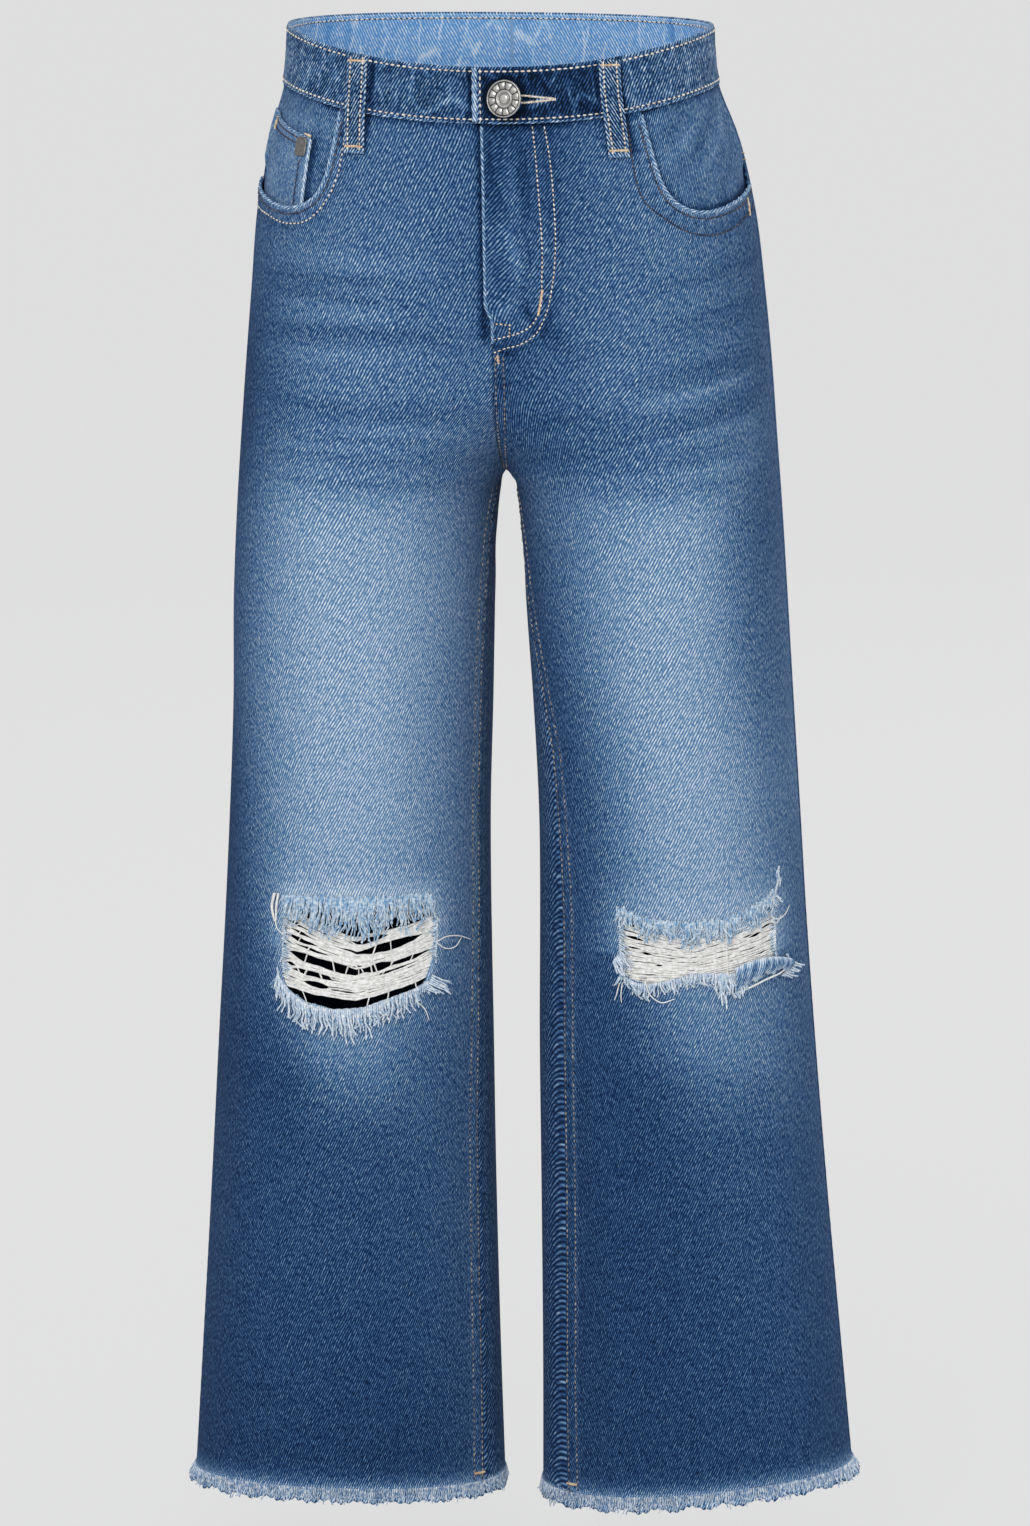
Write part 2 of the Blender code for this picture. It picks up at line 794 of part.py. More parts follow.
def make_zip(name, width, top, bottom, lift, thickness, material, collection):
    """A plain strip behind the fly, across the centre front."""
    def spot(column, row):
        height = top + (bottom - top) * row
        share = 1 + column * width / 2 / panel_length(height, False, -1)
        return place(share, height, False, -1, lift)

    return lay_cloth(name, (-1, -0.5, 0, 0.5, 1), even_steps(0, 1, 6), spot, thickness, material,
                     collection, flip=True)


# ---------------------------------------------------------------- rips and fringes


def web_columns(side):
    low, high = WEB_COLUMNS[side]
    return [share for share in panel_columns(10) if low <= share <= high]


def make_web(side, name, material, collection):
    """The white cross threads left across the rip, as a wall just behind the panel."""
    low, high = WEB_ROWS[side]
    heights = [height * MM for height in FRONT_ROWS if high <= height <= low]

    def spot(column, row):
        return place(column, row, False, side, -DENIM - WEB_GAP)

    return lay_cloth(name, web_columns(side), heights, spot, PATCH, material, collection,
                     flip=side < 0)


def make_fray(name, side, start, end, top, bottom, lift, material, collection):
    """A strip of loose warp ends: in the rip's mouth, or hanging over the cloth below it."""
    def spot(column, row):
        share = start + (end - start) * column
        height = (top + (bottom - top) * row) * MM
        return place(share, height, False, side, lift * MM)

    return lay_cloth(name, even_steps(0, 1, 8), even_steps(0, 1, 2), spot, PATCH, material,
                     collection, flip=side < 0)


def make_hem_fringe(side, name, material, collection):
    """The frayed edge below a hem, all round the leg."""
    route = [(False, share) for share in even_steps(0, 1, 13)]
    route += [(True, share) for share in even_steps(1, 0, 13)[1:-1]]
    route.append(route[0])

    def spot(column, row):
        back, share = route[column]
        height = hem(share, side) - SEAM_GAP - HEM_FRINGE * row
        lift = FRINGE_FLARE * row * row
        return place(share, height, back, side, lift)

    return lay_cloth(name, range(len(route)), (0, 0.55, 1), spot, FRINGE_WALL, material,
                     collection, flip=side < 0, closed=True)


# ---------------------------------------------------------------- metal


def turned(name, profile, steps, material, collection):
    """A turned piece about its own Z axis. The profile runs from the bottom rim to the top."""
    mesh = bpy.data.meshes.new(name)
    outer = [(radius * MM, 0, height * MM) for radius, height in profile]
    points = [(0, 0, outer[-1][2]), *outer[::-1], (0, 0, outer[0][2])]
    mesh.from_pydata(points, [(i, i + 1) for i in range(len(points) - 1)], [])
    thing = finish_object(name, mesh, material, collection)
    screw = thing.modifiers.new("Turn", "SCREW")
    screw.steps = steps
    screw.render_steps = steps
    screw.use_merge_vertices = True
    screw.merge_threshold = 0.01 * MM
    return thing


def facing_matrix(origin, normal):
    """A frame at origin with its Z axis along normal and its X axis level."""
    across = Vector((0, 0, 1)).cross(normal).normalized()
    up = normal.cross(across)
    turn = Matrix((across, up, normal)).transposed().to_4x4()
    return Matrix.Translation(origin) @ turn


def make_button(material, post_material, collection):
    share = 1 - BUTTON_FROM_CENTRE / panel_length(0.0, False, 1)
    base = surface_point(share, BUTTON_HEIGHT, False, 1)
    normal = outward(share, BUTTON_HEIGHT, False, 1)
    seat = BAND_PROUD - OVERLAP_SHIFT + SEAM_GAP
    post_top = BUTTON_STANDOFF - POST_RADIUS * sin(BUTTON_TURN) / cos(BUTTON_TURN) - SEAM_GAP
    radius, height = POST_RADIUS / MM, (post_top - seat) / MM
    post = turned("button_post", ((radius, 0), (radius, height)), 24, post_material, collection)
    post.matrix_world = facing_matrix(base + normal * seat, normal)
    cap = turned("button_cap", BUTTON_PROFILE, 36, material, collection)
    turn = Matrix.Rotation(-BUTTON_TURN, 4, "Y")
    cap.matrix_world = facing_matrix(base + normal * BUTTON_STANDOFF, normal) @ turn
    return post, cap


def make_rivet(name, material, collection):
    share, height = RIVET_PLACE[0], RIVET_PLACE[1] * MM
    lift = facing_lift(share, height, -1) + LAYER_GAP + PATCH + SEAM_GAP
    base = place(share, height, False, -1, lift)
    radius, top = RIVET_RADIUS / MM, RIVET_HEIGHT / MM
    profile = ((radius, 0), (radius, top * 0.6), (radius * 0.86, top), (radius * 0.4, top))
    rivet = turned(name, profile, 24, material, collection)
    rivet.matrix_world = facing_matrix(base, outward(share, height, False, -1))
    return rivet


# ---------------------------------------------------------------- the jeans


def build():
    clear_scene()
    jeans = new_collection("ripped_jeans")

    def cloth(name, colour=(0.055, 0.125, 0.27)):
        return make_material(name, colour, 0.9)

    light = (0.30, 0.42, 0.58)
    for side, hand in ((-1, "right"), (1, "left")):
        make_front(side, f"front_panel_{hand}", cloth(f"denim_front_{hand}"), jeans)
        make_back(side, f"back_panel_{hand}", cloth(f"denim_back_{hand}"), jeans)
        make_yoke(side, f"back_yoke_{hand}", cloth(f"denim_yoke_{hand}"), jeans)
        make_facing(side, f"pocket_facing_{hand}", cloth(f"denim_facing_{hand}"), jeans)
        make_back_pocket(side, f"back_pocket_{hand}", cloth(f"denim_back_pocket_{hand}"), jeans)
        make_hem_fringe(side, f"hem_fringe_{hand}", cloth(f"hem_fringe_{hand}", light), jeans)
        white = cloth(f"rip_threads_{hand}", (0.75, 0.74, 0.70))
        make_web(side, f"rip_threads_{hand}", white, jeans)
    make_coin_pocket("coin_pocket", cloth("denim_coin_pocket"), jeans)
    make_waistband("waistband", cloth("denim_waistband"), jeans)
    for name, back, side, top_share, bottom_share in LOOPS:
        make_loop(name, back, side, top_share, bottom_share, cloth(f"denim_{name}"), jeans)
    for name, side, start, end, top, bottom, lift in FRAYS:
        make_fray(name, side, start, end, top, bottom, lift, cloth(name, light), jeans)
    zip_lift = -DENIM - LAYER_GAP
    tape = cloth("zip_tape", (0.05, 0.07, 0.12))
    make_zip("zip_tape", ZIP_WIDTH, ZIP_TOP, ZIP_BOTTOM, zip_lift, PATCH, tape, jeans)
    brass = make_material("zip_slider_brass", (0.55, 0.42, 0.20), 0.35, 1.0)
    slider_bottom = ZIP_TOP + SEAM_GAP
    make_zip("zip_slider", SLIDER_WIDTH, SLIDER_TOP, slider_bottom, zip_lift, BAND_THICKNESS,
             brass, jeans)
    silver = make_material("button_silver", (0.62, 0.61, 0.58), 0.32, 1.0)
    steel = make_material("button_post_steel", (0.45, 0.45, 0.44), 0.4, 1.0)
    make_button(silver, steel, jeans)
    brass = make_material("rivet_brass", (0.33, 0.29, 0.22), 0.45, 1.0)
    make_rivet("coin_pocket_rivet", brass, jeans)


build()
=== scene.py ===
# %% [markdown]
# # Ripped wide-leg jeans
# This script dresses a plain model of a pair of jeans, and it is written to be read from top to
# bottom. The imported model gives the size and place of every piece. Here each piece of cloth is
# made again as a fine shell on the same form, with its wash, its seams and its stitches.

from math import atan, cos, pi, radians, sin

import bpy
import numpy as np
from mathutils import Matrix, Vector


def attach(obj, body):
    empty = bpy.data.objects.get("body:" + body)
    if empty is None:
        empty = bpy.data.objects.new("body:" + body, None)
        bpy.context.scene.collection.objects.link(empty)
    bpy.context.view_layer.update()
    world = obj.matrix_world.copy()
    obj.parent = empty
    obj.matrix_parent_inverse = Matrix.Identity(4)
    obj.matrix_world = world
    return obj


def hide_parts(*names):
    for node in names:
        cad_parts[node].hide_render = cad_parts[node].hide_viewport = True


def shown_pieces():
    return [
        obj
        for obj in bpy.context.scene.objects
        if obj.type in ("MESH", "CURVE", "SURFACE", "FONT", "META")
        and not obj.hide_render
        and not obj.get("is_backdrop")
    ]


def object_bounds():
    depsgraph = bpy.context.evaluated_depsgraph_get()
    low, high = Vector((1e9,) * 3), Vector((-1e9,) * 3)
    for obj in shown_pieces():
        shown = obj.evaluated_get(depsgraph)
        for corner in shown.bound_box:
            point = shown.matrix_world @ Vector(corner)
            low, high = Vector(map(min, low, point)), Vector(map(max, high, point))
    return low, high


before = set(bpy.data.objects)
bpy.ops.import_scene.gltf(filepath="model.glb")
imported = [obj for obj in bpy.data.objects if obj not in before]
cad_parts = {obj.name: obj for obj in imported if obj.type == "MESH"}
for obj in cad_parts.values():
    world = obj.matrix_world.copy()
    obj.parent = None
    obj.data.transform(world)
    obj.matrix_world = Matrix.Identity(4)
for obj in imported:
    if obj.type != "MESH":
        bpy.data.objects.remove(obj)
cad_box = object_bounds()
print("nodes in the model:", len(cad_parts))

# %% [markdown]
# ## Sizes
# All lengths are in metres, so a millimetre has a name. The jeans stand with the waist at the
# origin, the front faces -Y and the wearer's left is +X. A place on the cloth is told as a tailor
# would: how far across from the side seam to the centre or the inseam (a share from 0 to 1), and
# how high. Side is -1 for the wearer's right and 1 for the wearer's left.

# %% Sizes of the form
MM = 0.001
SIDES = {"right": -1, "left": 1}

# height, axis, outer, middle, front, back, square
FORM = (
    (30, 0.0, 115.5, 0.0, 70, 68, 2.25),
    (16, 0.0, 116.5, 0.0, 70, 69, 2.25),
    (-16, 0.3, 119.5, 0.0, 73, 73, 2.25),
    (-45, 1.8, 129.0, 0.0, 78, 79, 2.27),
    (-85, 3.2, 137.0, 1.0, 83, 88, 2.30),
    (-130, 4.2, 141.6, 8.0, 85, 97, 2.30),
    (-170, 4.6, 145.0, 33.0, 85, 101, 2.30),
    (-210, 4.7, 147.8, 64.0, 84.5, 98, 2.25),
    (-250, 5.0, 150.6, 77.0, 83.5, 91.5, 2.20),
    (-300, 5.6, 153.3, 81.3, 82, 84, 2.20),
    (-360, 7.2, 155.5, 83.7, 79, 77.5, 2.20),
    (-420, 8.0, 158.6, 86.3, 75, 73, 2.20),
    (-480, 8.4, 162.0, 88.0, 71, 69.5, 2.20),
    (-540, 8.9, 166.0, 89.7, 68, 67, 2.20),
    (-630, 10.2, 172.3, 92.7, 64, 65, 2.20),
    (-720, 11.8, 179.2, 95.7, 61, 63, 2.20),
    (-820, 13.6, 187.0, 98.8, 58, 61, 2.20),
)
# height, inner edge from the axis. Below zero the two halves still run together.
INNER = (
    (30, -115.5), (16, -116.5), (-16, -119.5), (-45, -129.0), (-85, -136.0), (-130, -124.0),
    (-165, -80.0), (-185, -49.0), (-205, -21.0), (-220, -6.0), (-229, 0.0), (-233, 3.6),
    (-242, 6.0), (-264, 7.8), (-300, 9.3), (-360, 11.9), (-420, 14.1), (-480, 14.1),
    (-540, 13.4), (-630, 13.1), (-720, 12.3), (-820, 10.6),
)
# height, how far the inseam lies in front of the leg's widest line: wearer's right, left
INSEAM = (
    (-229, 0, 0), (-238, 11, 11), (-262, 19, 22), (-300, 25, 33), (-340, 28, 44),
    (-380, 28, 50), (-464, 25, 50), (-590, 29, 45), (-740, 28, 39), (-820, 29, 38),
)
CROTCH = -229 * MM
# between these heights the seams run on evenly past the crotch, from this share inwards
CALM_TOP = -160 * MM
CALM_BOTTOM = -340 * MM
CALM_SHARE = 0.5
SEAM_GAP = 0.06 * MM

# %% [markdown]
# ## The form
# The jeans are filled out but empty, so their shape is a stack of horizontal sections: half an
# oval each side of the body above the crotch, and one oval for each leg below it. The sections
# are worked out once for every millimetre of height and kept as a lattice of points. Any place
# on the cloth is then read from the lattice, and pushed out or in along its normal.

# %% Sections of the form
HEIGHTS = np.arange(-835, 33) * MM
COLUMNS = 241
SHARES = np.linspace(0, 1, COLUMNS)


def curve(rows):
    """A table sorted upwards in metres, except the last column of FORM, with its slopes."""
    values = np.array(rows, float)[::-1]
    values[:, :6] *= MM
    return values, np.gradient(values[:, 1:], values[:, 0], axis=0)


def hermite(t, step, low, high, low_slope, high_slope):
    """A smooth curve from low to high, a step apart, with a slope at each end."""
    below = low * (1 + 2 * t) * (1 - t) ** 2 + low_slope * step * t * (1 - t) ** 2
    return below + high * t * t * (3 - 2 * t) + high_slope * step * t * t * (t - 1)


def smooth_row(through, height):
    """The columns of a table at a height, by a smooth curve through its rows."""
    rows, rates = through
    heights = rows[:, 0]
    height = min(max(height, heights[0]), heights[-1])
    low = min(max(int(np.searchsorted(heights, height)) - 1, 0), len(heights) - 2)
    step = heights[low + 1] - heights[low]
    return hermite((height - heights[low]) / step, step, rows[low, 1:], rows[low + 1, 1:],
                   rates[low], rates[low + 1])


SECTIONS = curve(FORM)
INNERS = curve(INNER)
INSEAMS = curve(INSEAM)[0]


def section(height, back, side):
    """Half a section: distances sideways from the axis, distances back, and the length run."""
    axis, outer, middle, front, rear, square = smooth_row(SECTIONS, height)
    inner_half = middle - smooth_row(INNERS, height)[0]
    power = 2 / square
    end = pi
    ahead = 0.0
    if height > CROTCH:
        end = np.arccos(-(max(middle, 0.0) / inner_half) ** (1 / power))
    else:
        inseam = np.interp(height, INSEAMS[:, 0], INSEAMS[:, 1 if side < 0 else 2])
        ahead = np.arcsin((inseam / front) ** (1 / power))
    if not back:
        end -= ahead
    angle = np.linspace(0, end, COLUMNS)
    half = np.where(angle < pi / 2, outer - middle, -inner_half)
    across = middle + half * np.abs(np.cos(angle)) ** power
    depth = (rear if back else -front) * np.abs(np.sin(angle)) ** power
    if back and ahead > 0:
        angle = np.linspace(0, ahead, 33)[1:]
        across = np.append(across, middle - inner_half * np.cos(angle) ** power)
        depth = np.append(depth, -front * np.sin(angle) ** power)
    run = run_along(np.stack((across, depth), -1))
    return axis, across, depth, run


def smooth(t):
    """A soft step from 0 to 1."""
    t = np.clip(t, 0.0, 1.0)
    return t * t * (3 - 2 * t)


def bell(distance, width, power=2):
    """1 at no distance, falling softly to 0.37 at the width and on to 0."""
    return np.exp(-(distance / width) ** power)


def run_along(points):
    """How far along a line of points each of them is."""
    return np.append(0, np.cumsum(np.linalg.norm(np.diff(points, axis=0), axis=1)))


def make_lattice(back, side):
    """Points of a quarter of the jeans, a row for each height, and the rows' lengths."""
    sections = [section(height, back, side) for height in HEIGHTS]
    full = np.array([run[-1] for axis, across, depth, run in sections])
    low, high = (np.interp(end, HEIGHTS, full) for end in (CALM_BOTTOM, CALM_TOP))
    points = np.zeros((len(HEIGHTS), len(SHARES), 3))
    for row, (axis, across, depth, run) in enumerate(sections):
        height = HEIGHTS[row]
        length = SHARES * full[row]
        if CALM_BOTTOM < height < CALM_TOP:
            calm = smooth((height - CALM_BOTTOM) / (CALM_TOP - CALM_BOTTOM))
            steady = low + (high - low) * calm
            pull = (np.maximum(SHARES - CALM_SHARE, 0) / (1 - CALM_SHARE)) ** 2
            length = SHARES * steady + (full[row] - steady) * pull
        sideways = np.maximum(np.interp(length, run, across), SEAM_GAP / 2)
        points[row, :, 0] = axis + side * sideways
        points[row, :, 1] = np.interp(length, run, depth)
        points[row, :, 2] = height
    return points, full


def lattice_normals(points, back, side):
    """Normals that point away from the body. The crotch is a kink, so each part has its own."""
    kink = int(np.searchsorted(HEIGHTS, CROTCH - 1e-9))
    upward = np.zeros_like(points)
    upward[:kink + 1] = np.gradient(points[:kink + 1], axis=0)
    upward[kink + 1:] = np.gradient(points[kink:], axis=0)[1:]
    inward = np.gradient(points, axis=1)
    normals = np.cross(upward, inward) * (side if not back else -side)
    return normals / np.maximum(np.linalg.norm(normals, axis=2, keepdims=True), 1e-12)


QUARTERS = [(back, side) for back in (False, True) for side in (-1, 1)]
LATTICE = {}
for quarter in QUARTERS:
    spots, spans = make_lattice(*quarter)
    LATTICE[quarter] = (spots, lattice_normals(spots, *quarter), spans)
print("lattice rows and columns:", LATTICE[False, 1][0].shape[:2])

# %% Places on the form


def panel_length(height, back, side):
    """Length of the cloth from the side seam to the centre or the inseam, at a height."""
    return np.interp(height, HEIGHTS, LATTICE[back, side][2])


def read_lattice(values, share, height):
    """Values at shares and heights, read between the lattice's points."""
    rows = np.clip((height - HEIGHTS[0]) / MM, 0, len(HEIGHTS) - 1.001)
    columns = np.clip(share * (len(SHARES) - 1), 0, len(SHARES) - 1.001)
    row, column = rows.astype(int), columns.astype(int)
    t, s = (rows - row)[..., None], (columns - column)[..., None]
    lower = values[row, column] * (1 - s) + values[row, column + 1] * s
    upper = values[row + 1, column] * (1 - s) + values[row + 1, column + 1] * s
    return lower * (1 - t) + upper * t


def place(share, height, back, side, lift=0.0, with_normal=False):
    """Points for shares and heights, moved out by lift. Shares past 0 or 1 cross the seam."""
    share, height, lift = np.broadcast_arrays(*(np.asarray(value, float)
                                                for value in (share, height, lift)))
    length = panel_length(height, back, side)
    spots = read_lattice(LATTICE[back, side][0], share, height)
    normals = read_lattice(LATTICE[back, side][1], share, height)
    beyond = (
        ((share > 1) & (height > CROTCH), back, -side, (share - 1) * length),
        ((share > 1) & (height <= CROTCH), not back, side, (share - 1) * length),
        (share < 0, not back, side, -share * length),
    )
    for index, (over, other_back, other_side, past) in enumerate(beyond):
        if over.any():
            there = panel_length(height, other_back, other_side)
            mirrored = past / there if index == 2 else 1 - past / there
            quarter = LATTICE[other_back, other_side]
            spots = np.where(over[..., None], read_lattice(quarter[0], mirrored, height), spots)
            normals = np.where(over[..., None], read_lattice(quarter[1], mirrored, height), normals)
    normals = normals / np.linalg.norm(normals, axis=-1, keepdims=True)
    points = spots + normals * lift[..., None]
    return (points, normals) if with_normal else points


# %% [markdown]
# ## Camera, light and floor
# The camera stands in front, a little to one side and a little above, far away with a long lens,
# so that the two legs look equally wide. The light is a plain soft studio: a bright sky all
# round, with one large soft lamp in front and above. The floor is pale, and it shows the camera
# its own flat colour with only a part of the real light, so that it keeps a soft shadow.

# %% Camera
CAMERA_AZIMUTH = radians(6)
CAMERA_ELEVATION = radians(9.5)
CAMERA_DISTANCE = 5.5
CAMERA_TARGET = Vector((0.008, 0.0, -0.395))
VIEW_HEIGHT = 0.847

aim = Vector((sin(CAMERA_AZIMUTH) * cos(CAMERA_ELEVATION),
              -cos(CAMERA_AZIMUTH) * cos(CAMERA_ELEVATION), sin(CAMERA_ELEVATION)))
camera = bpy.data.objects.new("camera", bpy.data.cameras.new("camera"))
bpy.context.scene.collection.objects.link(camera)
camera.location = CAMERA_TARGET + aim * CAMERA_DISTANCE
camera.rotation_euler = aim.to_track_quat("Z", "Y").to_euler()
camera.data.angle = 2 * atan(VIEW_HEIGHT / 2 / CAMERA_DISTANCE)
camera.data.clip_end = 200
bpy.context.scene.camera = camera
bpy.context.scene.view_settings.view_transform = "Standard"
print("camera at", [round(v, 3) for v in camera.location])

# %% Colours and nodes


def colour(code, alpha=1.0):
    """An sRGB hex value as the linear colour that Blender works in."""
    parts = [int(code[i:i + 2], 16) / 255 for i in (1, 3, 5)]
    return (*[v / 12.92 if v <= 0.04045 else ((v + 0.055) / 1.055) ** 2.4 for v in parts], alpha)


def add_node(tree, kind, inputs=None, out=0, **settings):
    """Adds a node, with its settings and its inputs' values or links, and gives one output."""
    made = tree.nodes.new(kind)
    for name, value in settings.items():
        setattr(made, name, value)
    for name, value in (inputs or {}).items():
        if isinstance(value, bpy.types.NodeSocket):
            tree.links.new(value, made.inputs[name])
        else:
            made.inputs[name].default_value = value
    return made.outputs[out] if len(made.outputs) else made


def ramp_colour(tree, factor, stops):
    """A colour picked by a factor from stops, each a place from 0 to 1 and a hex value."""
    picked = add_node(tree, "ShaderNodeValToRGB", {0: factor})
    elements = picked.node.color_ramp.elements
    while len(elements) < len(stops):
        elements.new(0.5)
    for element, (at, code) in zip(elements, stops):
        element.position = at
        element.color = colour(code)
    return picked


def new_material(name):
    """A material with an empty node tree."""
    material = bpy.data.materials.new(name)
    material.use_nodes = True
    material.node_tree.nodes.clear()
    return material


# %% Floor and light
BACKDROP = colour("#E2E2E2")
FLOOR_BELOW = 0.035
FLOOR_SIZE = 90.0

paper = new_material("pale_paper_floor")
tree = paper.node_tree
flat = add_node(tree, "ShaderNodeEmission", {"Color": BACKDROP, "Strength": 1.0})
matt = add_node(tree, "ShaderNodeBsdfDiffuse", {"Color": BACKDROP})
seen = add_node(tree, "ShaderNodeLightPath", out="Is Camera Ray")
share_flat = add_node(tree, "ShaderNodeMath", {0: seen, 1: 0.88}, operation="MULTIPLY")
blend = add_node(tree, "ShaderNodeMixShader", {0: share_flat, 1: matt, 2: flat})
add_node(tree, "ShaderNodeOutputMaterial", {"Surface": blend})

floor_mesh = bpy.data.meshes.new("floor")
half = FLOOR_SIZE / 2
floor_height = cad_box[0][2] - FLOOR_BELOW
corners = [(-half, -half, floor_height), (half, -half, floor_height),
           (half, half, floor_height), (-half, half, floor_height)]
floor_mesh.from_pydata(corners, [], [(0, 1, 2, 3)])
floor_mesh.materials.append(paper)
floor = bpy.data.objects.new("floor", floor_mesh)
bpy.context.scene.collection.objects.link(floor)
floor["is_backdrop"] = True

world = bpy.data.worlds.new("soft_studio")
bpy.context.scene.world = world
world.use_nodes = True
tree = world.node_tree
tree.nodes.clear()
sky = add_node(tree, "ShaderNodeBackground", {"Color": colour("#F4F6FA"), "Strength": 0.72})
plain = add_node(tree, "ShaderNodeBackground", {"Color": BACKDROP, "Strength": 1.0})
direct = add_node(tree, "ShaderNodeLightPath", out="Is Camera Ray")
both = add_node(tree, "ShaderNodeMixShader", {0: direct, 1: sky, 2: plain})
add_node(tree, "ShaderNodeOutputWorld", {"Surface": both})


def soft_lamp(name, location, size, power):
    """A square area lamp that faces the middle of the jeans."""
    lamp = bpy.data.objects.new(name, bpy.data.lights.new(name, "AREA"))
    lamp.data.size = size
    lamp.data.energy = power
    lamp.location = location
    lamp.rotation_euler = (Vector(location) - CAMERA_TARGET).to_track_quat("Z", "Y").to_euler()
    bpy.context.scene.collection.objects.link(lamp)
    return lamp


soft_lamp("front_lamp", (-0.25, -2.8, 1.4), 1.6, 40)
soft_lamp("back_lamp", (1.2, 2.6, 1.6), 1.6, 30)

# %% [markdown]
# ## Denim
# Denim is a cotton twill: indigo warp threads over white weft threads, stepped so that they make
# fine diagonal lines. Stone washing wears the indigo off the high places. So one number, the
# fade, drives the colour: 0 is unworn indigo, 1 is worn pale. It comes from the cloth's "fade"
# attribute, and the twill lines, the grain of the threads and the mottling move it up and down
# before it picks a colour from one ramp of washed indigos. The twill is drawn from the "cloth"
# UV map, in metres across and along the cloth, so that it follows each panel.

# %% Denim material
TWILL_ANGLE = radians(61)
TWILL_PITCH = 1.5 * MM     # real denim has about 0.8 mm, which would be too fine to show
DASH_LENGTH = 2.6 * MM      # how far one thread lies on top before it dips
TWILL_STRENGTH = 0.50
FADE_RANGE = (-0.3, 1.6)    # the fade at the two ends of the ramp
INDIGO = (
    (-0.3, "#0A1626"), (0.0, "#173156"), (0.2, "#274875"), (0.5, "#466D98"), (0.8, "#7193B6"),
    (1.0, "#8DA9C2"), (1.3, "#BACEDE"), (1.6, "#E4ECF2"),
)


def make_denim(name, contrast=1.0, mottle=0.06, slant=1.0, ramp=INDIGO, streaks=0.0,
               streak_shape=(9 * MM, 26 * MM, 16.0), paler=0.0):
    """Washed twill. Slant -1 leans the lines the other way; streaks adds pale crumple lines."""
    material = new_material(name)
    tree = material.node_tree
    cloth = add_node(tree, "ShaderNodeUVMap", uv_map="cloth")
    split = tree.nodes.new("ShaderNodeSeparateXYZ")
    tree.links.new(cloth, split.inputs[0])
    across, along = split.outputs[0], split.outputs[1]

    def maths(operation, *values, clamp=False):
        """A maths node between values or links."""
        return add_node(tree, "ShaderNodeMath", dict(enumerate(values)), operation=operation,
                        use_clamp=clamp)

    def noise(x, y, scale, detail, out="Fac"):
        """Noise over the flat cloth."""
        place_in = add_node(tree, "ShaderNodeCombineXYZ", {0: x, 1: y})
        return add_node(tree, "ShaderNodeTexNoise", {"Vector": place_in, "Scale": scale,
                                                     "Detail": detail}, out=out)

    # the twill lines, wavy, and broken into dashes that catch the wash unevenly
    over = maths("MULTIPLY", across, slant * sin(TWILL_ANGLE) / TWILL_PITCH)
    line = maths("MULTIPLY_ADD", along, -cos(TWILL_ANGLE) / TWILL_PITCH, over)
    up = maths("MULTIPLY", across, slant * cos(TWILL_ANGLE) / DASH_LENGTH)
    dash = maths("MULTIPLY_ADD", along, sin(TWILL_ANGLE) / DASH_LENGTH, up)
    sway = noise(across, along, 1 / (30 * MM), 2.0)
    wavy = maths("MULTIPLY_ADD", sway, 2.4, line)
    wave = maths("SINE", maths("MULTIPLY", wavy, 2 * pi))
    broken = noise(maths("MULTIPLY", wavy, 1.3), dash, 1.0, 1.0)
    lit = maths("MULTIPLY_ADD", broken, 2.8, -0.55)
    uneven = maths("MULTIPLY_ADD", broken, 2.4, -1.2)
    rib = maths("MULTIPLY_ADD", wave, maths("MAXIMUM", lit, 0.1), uneven)
    # the fade that the cloth was given, and how strongly the lines show at that fade
    fade = add_node(tree, "ShaderNodeAttribute", attribute_name="fade", out="Fac")
    strong = maths("MINIMUM", maths("MULTIPLY_ADD", fade, 0.48, 0.34), TWILL_STRENGTH)
    lines = maths("MULTIPLY", maths("MULTIPLY", rib, strong), contrast)
    # thread grain, and a soft mottling
    grain = noise(maths("MULTIPLY", across, 1 / (0.8 * MM)),
                  maths("MULTIPLY", along, 1 / (1.3 * MM)), 1.0, 1.0)
    mottled = noise(across, along, 1 / (16 * MM), 3.0)
    value = maths("ADD", maths("ADD", fade, paler), lines)
    value = maths("ADD", value, maths("MULTIPLY", maths("SUBTRACT", grain, 0.5), 0.55))
    value = maths("ADD", value, maths("MULTIPLY", maths("SUBTRACT", mottled, 0.5), 2 * mottle))
    if streaks:
        wide, tall, crisp = streak_shape
        bend = noise(across, along, 1 / (26 * MM), 1.0)
        bent = maths("MULTIPLY_ADD", bend, 0.9, maths("MULTIPLY", across, 1 / wide))
        cells = add_node(tree, "ShaderNodeCombineXYZ", {0: bent,
                                                        1: maths("MULTIPLY", along, 1 / tall)})
        edge = add_node(tree, "ShaderNodeTexVoronoi", {"Vector": cells, "Scale": 1.0},
                        out="Distance", feature="DISTANCE_TO_EDGE", voronoi_dimensions="2D")
        crumple = maths("SUBTRACT", 1.0, maths("MULTIPLY", edge, crisp), clamp=True)
        seen = noise(across, along, 1 / (11 * MM), 1.0)
        seen = maths("MULTIPLY_ADD", seen, 5.0, -1.9, clamp=True)
        crumple = maths("MULTIPLY", crumple, seen)
        value = maths("ADD", value, maths("MULTIPLY", crumple, streaks))
    low, high = FADE_RANGE
    spot = maths("MULTIPLY", maths("SUBTRACT", value, low), 1 / (high - low), clamp=True)
    stops = [((at - low) / (high - low), code) for at, code in ramp]
    raised = maths("ADD", rib, maths("MULTIPLY", grain, 0.6))
    bump = add_node(tree, "ShaderNodeBump", {"Height": raised, "Strength": 0.5,
                                             "Distance": 0.12 * MM})
    shader = add_node(tree, "ShaderNodeBsdfPrincipled", {
        "Base Color": ramp_colour(tree, spot, stops), "Normal": bump, "Roughness": 0.94,
        "Specular IOR Level": 0.03, "Sheen Weight": 0.02, "Sheen Roughness": 0.6})
    add_node(tree, "ShaderNodeOutputMaterial", {"Surface": shader})
    return material


